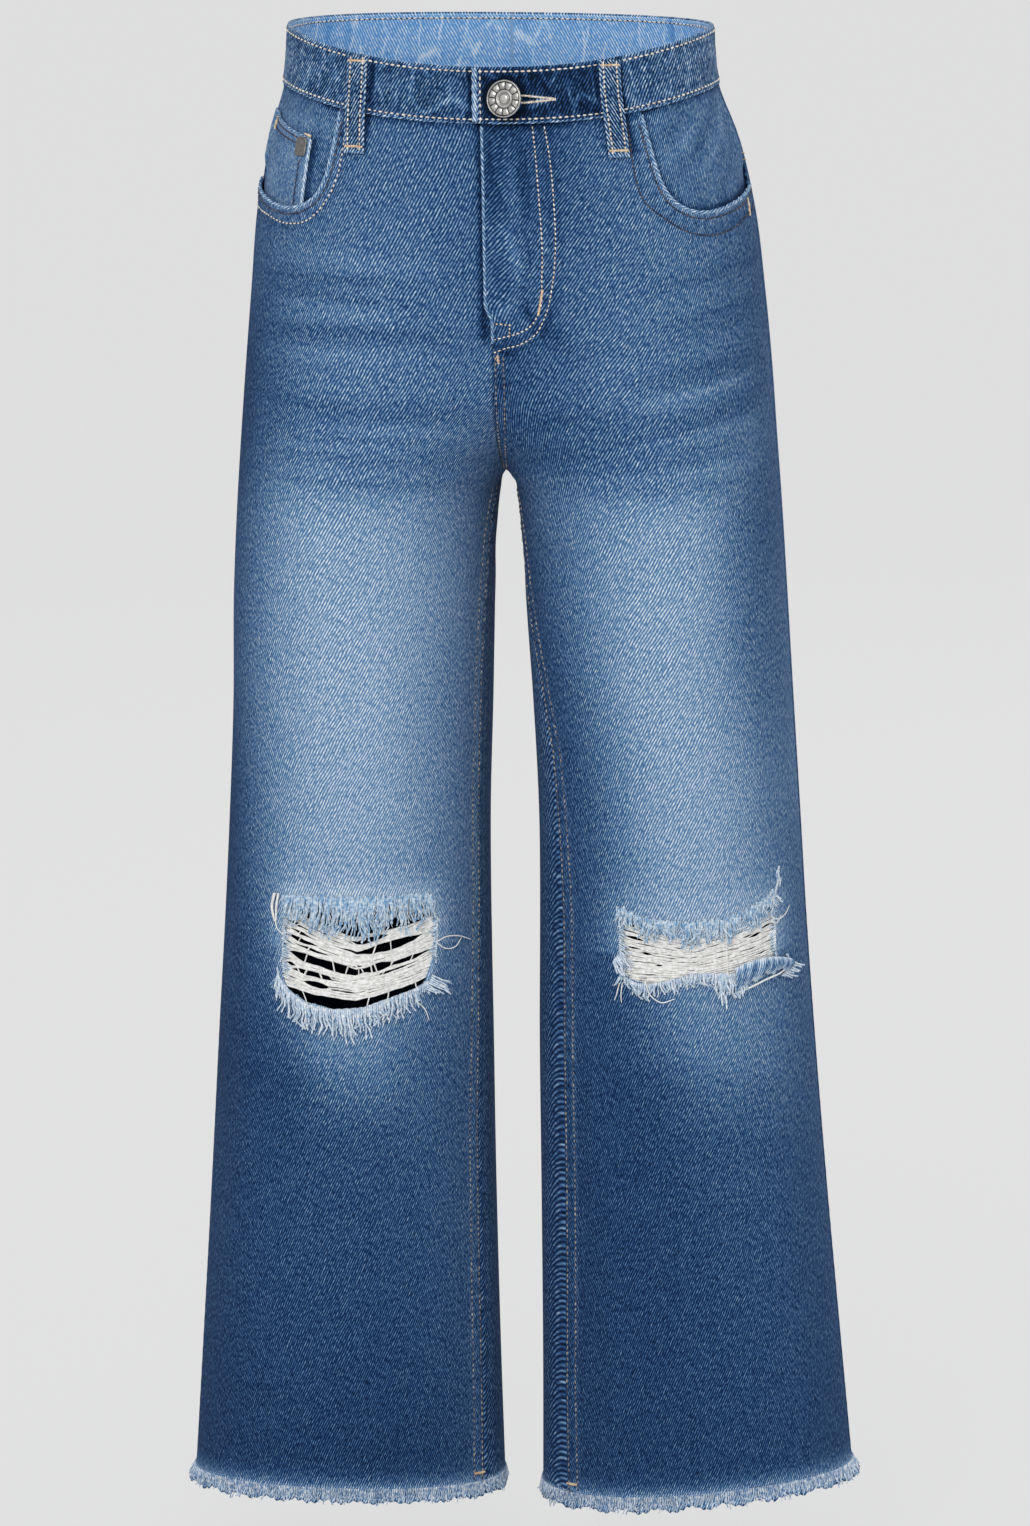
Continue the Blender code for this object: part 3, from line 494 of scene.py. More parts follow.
LEG_DENIM = make_denim("washed_twill_denim")
# painted darker than the wrong side of denim really is: a painted shade for the dark inside of the
# legs
INSIDE_DENIM = make_denim("shaded_wrong_side_of_denim", contrast=0.6, slant=-1.0, paler=-0.35)
BAND_DENIM = make_denim("waistband_denim", contrast=1.25, mottle=0.40, streaks=0.40,
                        streak_shape=(9 * MM, 22 * MM, 9.0))
# the inside of the band is paler than the outside, partly its real colour and partly painted light
# that makes its shaded face read as lit
PALE_INDIGO = ((-0.3, "#3F78BC"), (0.3, "#6FA9E6"), (0.8, "#9DCDFA"), (1.2, "#C4E4FF"),
               (1.6, "#F4FAFF"))
BAND_INSIDE = make_denim("waistband_inside_denim", contrast=1.5, mottle=0.20, slant=1.0,
                         ramp=PALE_INDIGO, streaks=0.85,
                         streak_shape=(14 * MM, 80 * MM, 19.0), paler=0.40)
POCKET_DENIM = make_denim("pocket_denim", contrast=0.95, mottle=0.08)
LOOP_DENIM = make_denim("belt_loop_denim", contrast=1.5, mottle=0.24, paler=-0.06)

# %% [markdown]
# ## Cloth shells
# A piece of cloth is a grid of points laid on the form. Each point has a share, a height and a
# lift off the form, and it carries its fade and its place on the flat cloth for the twill. A
# Solidify modifier then gives the grid the thickness of denim, inwards. Holes are cut by moving
# the nearest points on to the hole's outline, so that the torn edge is real geometry.

# %% Grids of cloth


def steps_between(start, end, coarse, fine=None, ends=(), reach=10 * MM):
    """Values from start to end, about coarse apart, and about fine apart near the given ends."""
    along = np.linspace(start, end, 4001)
    near = np.zeros_like(along)
    for spot in ends:
        near = np.maximum(near, bell(along - spot, reach))
    spacing = coarse + ((fine or coarse) - coarse) * near
    count = np.append(0, np.cumsum(np.abs(np.diff(along)) / spacing[1:]))
    whole = max(int(round(count[-1])), 1)
    return np.interp(np.linspace(0, count[-1], whole + 1), count, along)


def signed_distance(points, outline):
    """Distance of points outside a closed outline, negative inside, and their nearest points."""
    following = np.roll(outline, -1, axis=0)
    along = following - outline
    offset = points[:, None, :] - outline[None]
    t = np.clip((offset * along).sum(2) / (along * along).sum(1), 0, 1)
    feet = outline[None] + along[None] * t[..., None]
    distance = np.linalg.norm(feet - points[:, None, :], axis=2)
    best = distance.argmin(1)
    x, y = points[:, 0, None], points[:, 1, None]
    crossing = (outline[:, 1] > y) != (following[:, 1] > y)
    rise = np.where(along[:, 1] == 0, 1, along[:, 1])
    meets = outline[:, 0] + along[:, 0] * (y - outline[:, 1]) / rise
    inside = (crossing & (meets > x)).sum(1) % 2 == 1
    pick = np.arange(len(points))
    return np.where(inside, -1, 1) * distance[pick, best], feet[pick, best]


def cut_hole(flat, outlines):
    """Moves grid points on to closed outlines. Gives the points and the faces that stay."""
    high, wide = flat.shape[:2]
    points = flat.reshape(-1, 2).copy()
    distance = np.ones(len(points))
    nearest = points.copy()
    for outline in outlines:
        low, top = outline.min(0) - 8 * MM, outline.max(0) + 8 * MM
        near = np.all((points > low) & (points < top), axis=1)
        distance[near], nearest[near] = signed_distance(points[near], outline)
    index = np.arange(high * wide).reshape(high, wide)
    edges = np.concatenate((
        np.stack((index[:, :-1], index[:, 1:]), -1).reshape(-1, 2),
        np.stack((index[:-1], index[1:]), -1).reshape(-1, 2)))
    crossing = edges[distance[edges[:, 0]] * distance[edges[:, 1]] < 0]
    on_edge = set()
    for first, second in crossing:
        if first not in on_edge and second not in on_edge:
            on_edge.add(int(first if abs(distance[first]) < abs(distance[second]) else second))
    snapped = sorted(on_edge)
    points[snapped] = nearest[snapped]
    distance[snapped] = 0.0
    faces = []
    for row in range(high - 1):
        for column in range(wide - 1):
            corner = [index[row, column], index[row, column + 1], index[row + 1, column + 1],
                      index[row + 1, column]]
            signs = distance[corner]
            if signs.min() < 0 < signs.max():
                flat_ones = [k for k in range(4) if signs[k] == 0]
                first, second = flat_ones[0], flat_ones[-1]
                for ring in ((first, first + 1, second), (second, second + 1, first + 4)):
                    triangle = [corner[k % 4] for k in ring]
                    if distance[triangle].max() > 0:
                        faces.append(triangle)
            elif signs.max() > 0:
                faces.append(corner)
    return points.reshape(high, wide, 2), faces


def grid_faces(high, wide, closed=False):
    """Faces of a grid of points, joined round if closed."""
    index = np.arange(high * wide).reshape(high, wide)
    if closed:
        index = np.concatenate((index, index[:, :1]), axis=1)
    rings = np.stack((index[:-1, :-1], index[:-1, 1:], index[1:, 1:], index[1:, :-1]), -1)
    return rings.reshape(-1, 4).tolist()


def new_piece(name, mesh):
    """An object in the scene that carries a mesh."""
    piece = bpy.data.objects.new(name, mesh)
    bpy.context.scene.collection.objects.link(piece)
    return piece


def make_shell(name, points, normals, cloth, fade, thickness, materials, faces=None, closed=False):
    """A wall of cloth from a grid of points. Cloth is its flat place, for the twill."""
    high, wide = points.shape[:2]
    faces = faces or grid_faces(high, wide, closed)
    flat_points, flat_normals = points.reshape(-1, 3), normals.reshape(-1, 3)
    a, b, c = (flat_points[[face[k] for face in faces]] for k in range(3))
    facing = (np.cross(b - a, c - a) * flat_normals[[face[0] for face in faces]]).sum()
    if facing < 0:
        faces = [face[::-1] for face in faces]
    used = np.unique(np.concatenate([np.array(face) for face in faces]))
    new_index = np.zeros(high * wide, int)
    new_index[used] = np.arange(len(used))
    mesh = bpy.data.meshes.new(name)
    mesh.from_pydata(flat_points[used].tolist(), [], [new_index[face].tolist() for face in faces])
    level = mesh.attributes.new("fade", "FLOAT", "POINT")
    level.data.foreach_set("value", np.asarray(fade, float).reshape(-1)[used])
    corners = np.zeros(len(mesh.loops), int)
    mesh.loops.foreach_get("vertex_index", corners)
    uv_map = mesh.uv_layers.new(name="cloth")
    uv_map.data.foreach_set("uv", cloth.reshape(-1, 2)[used][corners].reshape(-1))
    mesh.shade_smooth()
    for material in materials:
        mesh.materials.append(material)
    piece = new_piece(name + "_cloth", mesh)
    wall = piece.modifiers.new("Thickness", "SOLIDIFY")
    wall.thickness = thickness
    wall.offset = -1
    wall.material_offset = len(materials) - 1
    return piece


def finish_piece(piece, slot, *nodes):
    """Says what a piece rides on and which nodes it stands for. The slot, its finish, is not used.
    """
    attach(piece, "root")
    if nodes:
        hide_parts(*nodes)


def state_cloth(piece, width, length):
    """Measures a piece's area and what part it fills of a cut of width and length."""
    area = sum(face.area for face in piece.data.polygons)
    part = area / (width * length)
    print(f"{piece.name}: {len(piece.data.polygons)} faces, fills {part:.2f} of its cut")


# %% [markdown]
# ## The wash
# The factory bleaches the thighs, leaves the sides and the shins dark, and rubs in whiskers, the
# dark and pale lines that sitting makes across the hips. A short table gives the level by
# height, at the outer edge, at the brightest place and at the inner edge. Whiskers and other
# marks are soft strokes from one place on the cloth to another.

# %% Wash levels
# height, outer level, peak level, inner level, place of the peak, outer half width, inner one
WASH = {
    -1: (
        (-20, 0.28, 0.37, 0.34, 0.60, 0.40, 0.30),
        (-110, 0.18, 0.48, 0.30, 0.64, 0.36, 0.26),
        (-165, 0.02, 0.50, 0.38, 0.62, 0.29, 0.26),
        (-205, 0.00, 0.58, 0.42, 0.57, 0.25, 0.28),
        (-228, 0.04, 0.68, 0.42, 0.56, 0.25, 0.30),
        (-250, 0.14, 0.88, 0.46, 0.57, 0.25, 0.29),
        (-290, 0.14, 0.93, 0.52, 0.58, 0.272, 0.29),
        (-340, 0.14, 0.96, 0.54, 0.57, 0.280, 0.24),
        (-400, 0.00, 0.94, 0.50, 0.57, 0.272, 0.26),
        (-455, 0.02, 0.92, 0.50, 0.56, 0.24, 0.25),
        (-505, 0.04, 0.88, 0.44, 0.59, 0.20, 0.21),
        (-545, 0.00, 0.66, 0.34, 0.59, 0.16, 0.16),
        (-565, 0.00, 0.47, 0.30, 0.62, 0.14, 0.15),
        (-595, 0.04, 0.20, 0.28, 0.66, 0.16, 0.14),
        (-660, 0.05, 0.15, 0.28, 0.68, 0.24, 0.23),
        (-800, -0.01, 0.03, 0.18, 0.70, 0.30, 0.24),
    ),
    1: (
        (-20, 0.34, 0.42, 0.02, 0.45, 0.40, 0.30),
        (-80, 0.22, 0.45, 0.22, 0.48, 0.34, 0.26),
        (-110, 0.22, 0.46, 0.34, 0.50, 0.30, 0.24),
        (-165, 0.26, 0.48, 0.18, 0.56, 0.34, 0.28),
        (-205, 0.28, 0.56, 0.16, 0.48, 0.30, 0.32),
        (-228, 0.26, 0.68, 0.20, 0.52, 0.24, 0.30),
        (-250, 0.26, 0.86, 0.24, 0.54, 0.20, 0.26),
        (-290, 0.34, 0.91, 0.16, 0.55, 0.20, 0.26),
        (-340, 0.40, 0.92, 0.12, 0.55, 0.22, 0.25),
        (-400, 0.48, 0.92, 0.12, 0.55, 0.26, 0.25),
        (-455, 0.34, 0.90, 0.12, 0.54, 0.27, 0.25),
        (-500, 0.30, 0.72, 0.12, 0.50, 0.26, 0.22),
        (-545, 0.26, 0.56, 0.10, 0.48, 0.26, 0.20),
        (-565, 0.24, 0.38, 0.08, 0.44, 0.26, 0.18),
        (-595, 0.22, 0.22, 0.07, 0.40, 0.26, 0.20),
        (-660, 0.17, 0.17, 0.06, 0.35, 0.30, 0.20),
        (-800, 0.08, 0.08, 0.06, 0.35, 0.30, 0.24),
    ),
}
FRONT_SPAN = 200 * MM       # about the length of a front panel, which turns shares into metres
# from share and height to share and height, half width in mm, change of fade
STROKES = {
    -1: (
        (0.30, -104, 0.85, -112, 4.0, 0.07), (0.22, -124, 0.80, -131, 3.0, -0.09),
        (0.30, -146, 0.90, -147, 3.5, -0.12), (0.28, -139, 0.75, -137, 3.0, 0.07),
        (0.22, -160, 0.80, -160, 5.0, 0.07), (0.30, -182, 0.62, -187, 4.0, -0.10),
        (0.35, -194, 0.95, -190, 7.0, -0.11), (0.60, -196, 0.95, -205, 6.0, 0.08),
        (0.35, -212, 0.95, -218, 7.0, -0.10), (0.50, -232, 0.80, -232, 5.0, -0.06),
        (0.22, -118, 0.80, -119, 2.0, -0.13), (0.20, -151, 0.90, -153, 2.0, -0.04),
        (0.35, -203, 0.95, -206, 2.0, -0.11), (0.35, -227, 0.90, -230, 2.0, -0.11),
        (0.30, -131, 0.70, -134, 2.2, 0.07), (0.30, -207, 0.80, -210, 2.2, 0.06),
    ),
    1: (
        (0.10, -108, 0.55, -122, 4.0, -0.08), (0.10, -135, 0.50, -146, 4.0, -0.07),
        (0.15, -158, 0.60, -172, 4.5, -0.10), (0.20, -168, 0.62, -184, 4.0, 0.07),
        (0.12, -180, 0.70, -200, 5.5, -0.12), (0.22, -194, 0.72, -211, 4.5, 0.06),
        (0.30, -205, 0.90, -216, 7.0, -0.12), (0.60, -188, 0.90, -194, 5.0, -0.08),
        (0.35, -226, 0.78, -231, 6.0, -0.10), (0.25, -216, 0.55, -226, 4.0, 0.05),
        (0.12, -128, 0.52, -141, 2.0, -0.10), (0.14, -164, 0.60, -179, 2.0, -0.10),
        (0.18, -188, 0.70, -205, 2.0, -0.11), (0.30, -212, 0.85, -224, 2.0, -0.10),
        (0.18, -170, 0.56, -183, 2.2, 0.06), (0.84, -142, 0.79, -153, 5.0, -0.12),
    ),
}


def stroke_field(share, height, strokes):
    """The sum of soft strokes at shares and heights. A stroke fades at both its ends."""
    total = np.zeros(np.broadcast(share, height).shape)
    x, y = share * FRONT_SPAN, height
    for start_share, start_height, end_share, end_height, width, change in strokes:
        start = np.array((start_share * FRONT_SPAN, start_height * MM))
        along = np.array((end_share * FRONT_SPAN, end_height * MM)) - start
        t = ((x - start[0]) * along[0] + (y - start[1]) * along[1]) / (along @ along)
        held = np.clip(t, 0, 1)
        away = np.hypot(x - start[0] - held * along[0], y - start[1] - held * along[1])
        taper = 0.35 + 0.65 * np.sin(pi * held)
        total = total + change * taper * bell(away, width * MM)
    return total


def front_wash(share, height, side):
    """The fade of a front leg panel."""
    rows = np.array(WASH[side], float)[::-1]
    columns = [np.interp(height, rows[:, 0] * MM, rows[:, k]) for k in range(1, 7)]
    outer, peak, inner, middle, outer_half, inner_half = columns
    reach = np.where(share < middle, outer_half, inner_half)
    glow = bell(np.abs(share - middle), reach, 2.6)
    edge = outer + (inner - outer) * smooth(share)
    return edge + (peak - edge) * glow + 1.5 * stroke_field(share, height, STROKES[side])


def back_wash(share, height, side):
    """The fade of a back leg panel: paler on the seat and the calf's middle, dark at the sides."""
    seat = 0.30 * bell(share - 0.55, 0.28) * bell(height + 150 * MM, 75 * MM)
    thigh = 0.34 * bell(share - 0.45, 0.20) * bell(height + 330 * MM, 110 * MM)
    base = 0.30 - 0.14 * smooth((-300 * MM - height) / (200 * MM))
    return base + seat + thigh


# %% [markdown]
# ## Seams and creases
# A seam isn't a line: the folded cloth inside it makes a ridge, and the thread draws the cloth up
# into small uneven puckers, called roping. Both are part of the shell's lift here. So are the
# soft creases of the filled-out legs, which are given as strokes, like the whiskers.

# %% Relief of the cloth
INSEAM_FOLD = 5.0 * MM
# from share and height to share and height, half width in mm, lift in mm
CREASES = {
    (False, -1): (
        (0.55, -196, 0.97, -222, 9, -1.2), (0.45, -236, 0.95, -250, 10, 0.8),
        (0.72, -300, 0.80, -430, 13, -0.8), (0.30, -545, 0.42, -770, 16, 1.1),
        (0.62, -560, 0.58, -790, 15, -1.2), (0.15, -560, 0.12, -780, 12, -0.9),
        (0.22, -146, 0.80, -148, 6, -0.5), (0.35, -190, 0.90, -190, 8, -0.7),
        (0.82, -560, 0.86, -780, 12, 1.0),
    ),
    (False, 1): (
        (0.55, -196, 0.97, -224, 9, -1.2), (0.50, -238, 0.95, -252, 10, 0.8),
        (0.12, -170, 0.62, -186, 6, -0.6), (0.25, -205, 0.85, -216, 8, -0.8),
        (0.28, -300, 0.22, -440, 12, -0.7), (0.20, -560, 0.16, -780, 12, -1.1),
        (0.36, -560, 0.40, -790, 15, 1.1), (0.64, -545, 0.70, -780, 15, -1.1),
        (0.86, -540, 0.84, -770, 12, 0.9),
    ),
    (True, -1): (
        (0.50, -205, 0.98, -224, 10, -1.6), (0.40, -225, 0.95, -246, 11, 1.0),
        (0.35, -262, 0.90, -274, 11, -1.3), (0.20, -455, 0.75, -470, 10, -1.4),
        (0.25, -480, 0.80, -492, 9, 1.0), (0.20, -505, 0.70, -512, 9, -1.1),
        (0.30, -560, 0.36, -780, 15, 1.1), (0.62, -560, 0.60, -780, 15, -1.1),
    ),
    (True, 1): (
        (0.48, -202, 0.98, -222, 10, -1.6), (0.38, -228, 0.95, -248, 11, 1.0),
        (0.40, -266, 0.92, -276, 11, -1.3), (0.24, -450, 0.78, -466, 10, -1.3),
        (0.20, -478, 0.72, -486, 9, 1.0), (0.26, -500, 0.74, -512, 9, -1.2),
        (0.34, -560, 0.30, -780, 15, 1.1), (0.66, -560, 0.64, -780, 15, -1.1),
    ),
}


def uneven_wave(run, length, seed):
    """A wave along a seam, about length long, whose height and spacing wander."""
    phase = np.random.default_rng(seed).uniform(0, 2 * pi, 4)
    bend = 0.9 * np.sin(run / (3.7 * length) + phase[0])
    bend = bend + 0.6 * np.sin(run / (1.9 * length) + phase[1])
    size = 0.75 + 0.25 * np.sin(run / (2.6 * length) + phase[2])
    return size * np.sin(2 * pi * run / length + 2 * bend + phase[3])


def band(distance, start, end, soft):
    """1 between two distances, with soft sides."""
    return smooth((distance - start) / soft + 0.5) * smooth((end - distance) / soft + 0.5)


def leg_relief(share, height, back, side):
    """Lift of a leg panel along its side seam and inseam, with its creases."""
    length = panel_length(height, back, side)
    from_side, from_inner = share * length, (1 - share) * length
    on_leg = smooth((CROTCH - height) / (12 * MM))
    fold = band(from_inner, -1 * MM, INSEAM_FOLD, 1.6 * MM)
    roping = uneven_wave(height, 6.5 * MM, 11 + side) * bell(from_inner, 9 * MM)
    lift = on_leg * (0.45 * MM * fold + 0.22 * MM * roping)
    valley = bell(from_side, 1.8 * MM)
    pull = uneven_wave(height, 9 * MM, 23 + side) * bell(from_side, 8 * MM)
    lift = lift - 0.7 * MM * valley + 0.16 * MM * pull
    return lift + stroke_field(share, height, CREASES[back, side]) * MM


def leg_seam_fade(share, height, back, side):
    """Change of fade beside the seams: pale on the ridges and dark in the valleys."""
    length = panel_length(height, back, side)
    from_side, from_inner = share * length, (1 - share) * length
    on_leg = smooth((CROTCH - height) / (12 * MM))
    roping = uneven_wave(height, 6.5 * MM, 11 + side)
    inner = bell(from_inner, 5 * MM) * (0.16 * roping + 0.05)
    beside = bell(from_inner - 7.5 * MM, 1.5 * MM) * 0.16
    seam = -0.22 * bell(from_side, 2.5 * MM)
    return on_leg * (inner + beside) + seam

# %% [markdown]
# ## Front panels
# Each front leg is one panel. It is cut away at the top for the pocket, along a curve whose edge
# is turned in and stitched twice. The wearer's left front laps over the right one at the fly.
# The torn knee is a hole in the panel; its outline is made finer and a little ragged here.

# %% Lines of the front
WAIST_DIP = 17 * MM
SEAM_DIP_SHARE = 0.92
BAND_HALF_HEIGHT = 16 * MM
HEM = {-1: (-796 * MM, -797 * MM), 1: (-786 * MM, -800 * MM)}
MOUTH = ((0.475, -27.5), (0.476, -36), (0.474, -46), (0.468, -56), (0.455, -66), (0.430, -73.5),
         (0.390, -78.5), (0.335, -81), (0.270, -80.5), (0.195, -78), (0.110, -74.5), (0.0, -70))
RIPS = {
    -1: ((0.392, -472, -504), (0.414, -461, -513), (0.470, -463, -520.5), (0.545, -462, -523),
         (0.640, -463, -521.5), (0.730, -461, -515), (0.795, -461, -509), (0.818, -476, -494)),
    1: ((0.272, -464, -498), (0.320, -471, -500), (0.430, -477, -500), (0.530, -481, -500),
        (0.620, -479, -503), (0.705, -474, -506), (0.762, -471, -503), (0.780, -477, -498)),
}
FLY_OVERLAP = 3.8 * MM
FLY_LIFT = 1.6 * MM
FLY_END = -152 * MM
FLY_EASE = 12 * MM
FLY_RISE_START = 13 * MM
FLY_RISE_WIDTH = 11 * MM
DENIM = 1.2 * MM            # the wall of the legs
PATCH = 1.0 * MM            # the wall of pockets and facings
KNEE = -490 * MM


def frontness(share):
    """0 at the side seam and 1 at the centre, by how far the waist has come round."""
    across, depth, run = section(0.0, False, 1)[1:]
    share = np.abs(np.where(share <= 1, share, 2 - share))
    return np.abs(np.interp(share * run[-1], run, depth) / depth[-1])


def waist_line(share, back, level):
    """Height of a line round the waist: level at the sides and the back, dipping in front."""
    share = np.asarray(share, float)
    dip = np.where(share < 0, 0.0, WAIST_DIP * frontness(share) ** 2.2)
    if level < 0:
        dip = dip * SEAM_DIP_SHARE
    return level - (0.0 if back else 1.0) * dip


def waist_seam(share, back):
    """Height of the seam under the waistband."""
    return waist_line(share, back, -BAND_HALF_HEIGHT)


def band_top(share, back):
    """Height of the waistband's upper edge."""
    return waist_line(share, back, BAND_HALF_HEIGHT)


def hem(share, side):
    """Height of the cut edge at the foot of a leg."""
    at_side, at_inseam = HEM[side]
    return at_side + (at_inseam - at_side) * (1 - np.cos(pi * np.clip(share, 0, 1))) / 2


def line_of(points, step=1.0 * MM):
    """A run of places, rounded off and close together: shares and heights in metres."""
    points = np.array(points, float) * (1, MM)
    run = run_along(points * (FRONT_SPAN, 1))
    slopes = np.gradient(points, run, axis=0)
    even = np.linspace(0, run[-1], max(int(run[-1] / step), 2) + 1)
    low = np.clip(np.searchsorted(run, even) - 1, 0, len(run) - 2)
    width = (run[low + 1] - run[low])[:, None]
    return hermite((even - run[low])[:, None] / width, width, points[low], points[low + 1],
                   slopes[low], slopes[low + 1])


def from_line(share, height, line):
    """Distance of places from a line, and how far along it they are."""
    flat = np.stack((share.ravel() * FRONT_SPAN, height.ravel()), -1)
    spots = line * (FRONT_SPAN, 1)
    start, along = spots[:-1], np.diff(spots, axis=0)
    run = run_along(spots)
    distance, where = np.empty(len(flat)), np.empty(len(flat))
    for index in range(0, len(flat), 4000):
        part = flat[index:index + 4000]
        t = ((part[:, None] - start) * along).sum(2) / (along * along).sum(1)
        t = np.clip(t, 0, 1)
        gaps = np.linalg.norm(start + along * t[..., None] - part[:, None], axis=2)
        best = gaps.argmin(1)
        rows = np.arange(len(part))
        distance[index:index + 4000] = gaps[rows, best]
        where[index:index + 4000] = run[best] + t[rows, best] * np.diff(run)[best]
    return distance.reshape(share.shape), where.reshape(share.shape)


MOUTH_LINE = line_of(MOUTH)
# stitch rows of the pocket mouths and the fly, in shares and millimetres
MOUTH_OUTER = {
    -1: ((0.512, -33), (0.512, -50), (0.504, -62), (0.471, -76), (0.412, -86.5), (0.317, -89.5),
         (0.225, -86.5), (0.10, -84), (0.004, -83)),
    1: ((0.533, -32), (0.540, -45), (0.542, -55), (0.525, -73), (0.462, -83.5), (0.392, -91),
        (0.321, -93.5), (0.217, -91), (0.133, -86), (0.004, -82)),
}
FLY_OUTER = ((0.812, -33.5), (0.806, -50), (0.804, -73), (0.808, -101), (0.821, -119),
             (0.842, -134), (0.875, -145), (0.925, -151), (0.965, -153), (0.992, -155))
FLY_INNER = ((0.852, -33.5), (0.850, -60), (0.850, -113), (0.862, -133), (0.885, -140),
             (0.925, -144.5), (0.963, -146.5), (0.992, -148))

# name, on the back or not, side, shares of the loop's top and bottom
LOOPS = (
    ("front_right", False, -1, 0.528, 0.556),
    ("front_left", False, 1, 0.566, 0.584),
    ("back_right", True, -1, 0.330, 0.335),
    ("back_left", True, 1, 0.330, 0.335),
    ("back_centre", True, 1, 1.0, 1.0),
)
LOOP_WIDTH = 11.5 * MM
LOOP_TAIL = 22 * MM


def loop_shade(share, height, back, side):
    """Painted shadows beside the belt loops: a darker one on one side of each loop, a fainter one
    on the other.
    """
    shade = np.zeros(np.broadcast(share, height).shape)
    for name, at_back, at_side, top_share, bottom_share in LOOPS:
        if (at_back, at_side) == (back, side):
            middle = (top_share + bottom_share) / 2
            right = (share - middle) * panel_length(height, back, side) * (side if back else -side)
            held = smooth((height - waist_seam(share, back) + LOOP_TAIL) / (2 * MM))
            shade += 0.55 * held * bell(right - LOOP_WIDTH / 2 - 1 * MM, 2.0 * MM)
            shade += 0.20 * held * bell(right + LOOP_WIDTH / 2 + MM, 1.8 * MM)
    return shade


def fly_reach(height):
    """How far the fly's fold runs past the centre front."""
    ending = smooth((height - FLY_END) / FLY_EASE - 1)
    return -SEAM_GAP / 2 + (FLY_OVERLAP + SEAM_GAP / 2) * ending


def fly_rise(share, height, side):
    """How far the wearer's left front stands out along its fly."""
    if side < 0:
        return 0.0 * share
    from_centre = (1 - share) * panel_length(height, False, side)
    near = smooth((FLY_RISE_START - from_centre) / FLY_RISE_WIDTH)
    return FLY_LIFT * near * smooth((height - FLY_END) / FLY_EASE)


# %% Relief and wash of a front panel
# ridges and dents of the fly, as strokes: half width and lift in mm
FLY_CREASES = (
    (0.935, -52, 0.915, -96, 4.0, 0.9), (0.905, -50, 0.885, -88, 3.0, -0.5),
    (0.965, -150, 0.90, -158, 4.0, -0.9), (0.90, -120, 0.93, -150, 4.0, 0.6),
    (0.99, -162, 0.955, -178, 4.0, -0.8), (0.80, -128, 0.86, -152, 3.5, -0.5),
)
# the same for the fade
FLY_STROKES = (
    (0.940, -42, 0.925, -84, 3.0, 0.16), (0.895, -40, 0.885, -84, 2.6, -0.16),
    (0.985, -42, 0.968, -84, 3.0, -0.14), (0.950, -86, 0.914, -114, 3.2, 0.28),
    (0.975, -100, 0.955, -128, 3.0, -0.12), (0.985, -136, 0.925, -127, 3.5, 0.20),
    (0.915, -126, 0.870, -141, 3.2, -0.24), (0.880, -96, 0.900, -120, 2.6, -0.14),
    (0.985, -150, 0.92, -160, 3.5, -0.22), (0.99, -165, 0.96, -180, 3.5, -0.16),
    (0.81, -128, 0.86, -150, 3.0, -0.16),
)


def front_lift(share, height, side):
    """How far a front panel stands off the form: fly, creases, turned edges and puckers."""
    share, height = np.broadcast_arrays(np.asarray(share, float), np.asarray(height, float))
    lift = fly_rise(share, height, side) + leg_relief(share, height, False, side)
    edge, run = from_line(share, height, MOUTH_LINE)
    turned = smooth((9 * MM - edge) / (2 * MM)) * smooth((-24 * MM - height) / MM)
    pucker = uneven_wave(run, 5.5 * MM, 31 + side) * bell(edge - 5 * MM, 5 * MM)
    lift = lift + turned * 0.45 * MM + 0.22 * MM * pucker
    from_centre = (1 - share) * panel_length(height, False, side)
    if side < 0:
        under = smooth((9 * MM - from_centre) / (3 * MM)) * smooth((height + 160 * MM) / (8 * MM))
        return lift * (1 - under)
    row, along = from_line(share, height, line_of(FLY_INNER))
    pull = uneven_wave(along, 6 * MM, 47) * bell(row, 5 * MM)
    lift = lift + 0.20 * MM * pull + stroke_field(share, height, FLY_CREASES) * MM
    below_fly = smooth((height - CROTCH - MM) / (2 * MM))
    below_fly = below_fly * smooth((FLY_END + 2 * MM - height) / (4 * MM))
    return lift + below_fly * 0.4 * MM * band(from_centre, -1 * MM, 6 * MM, 1.6 * MM)


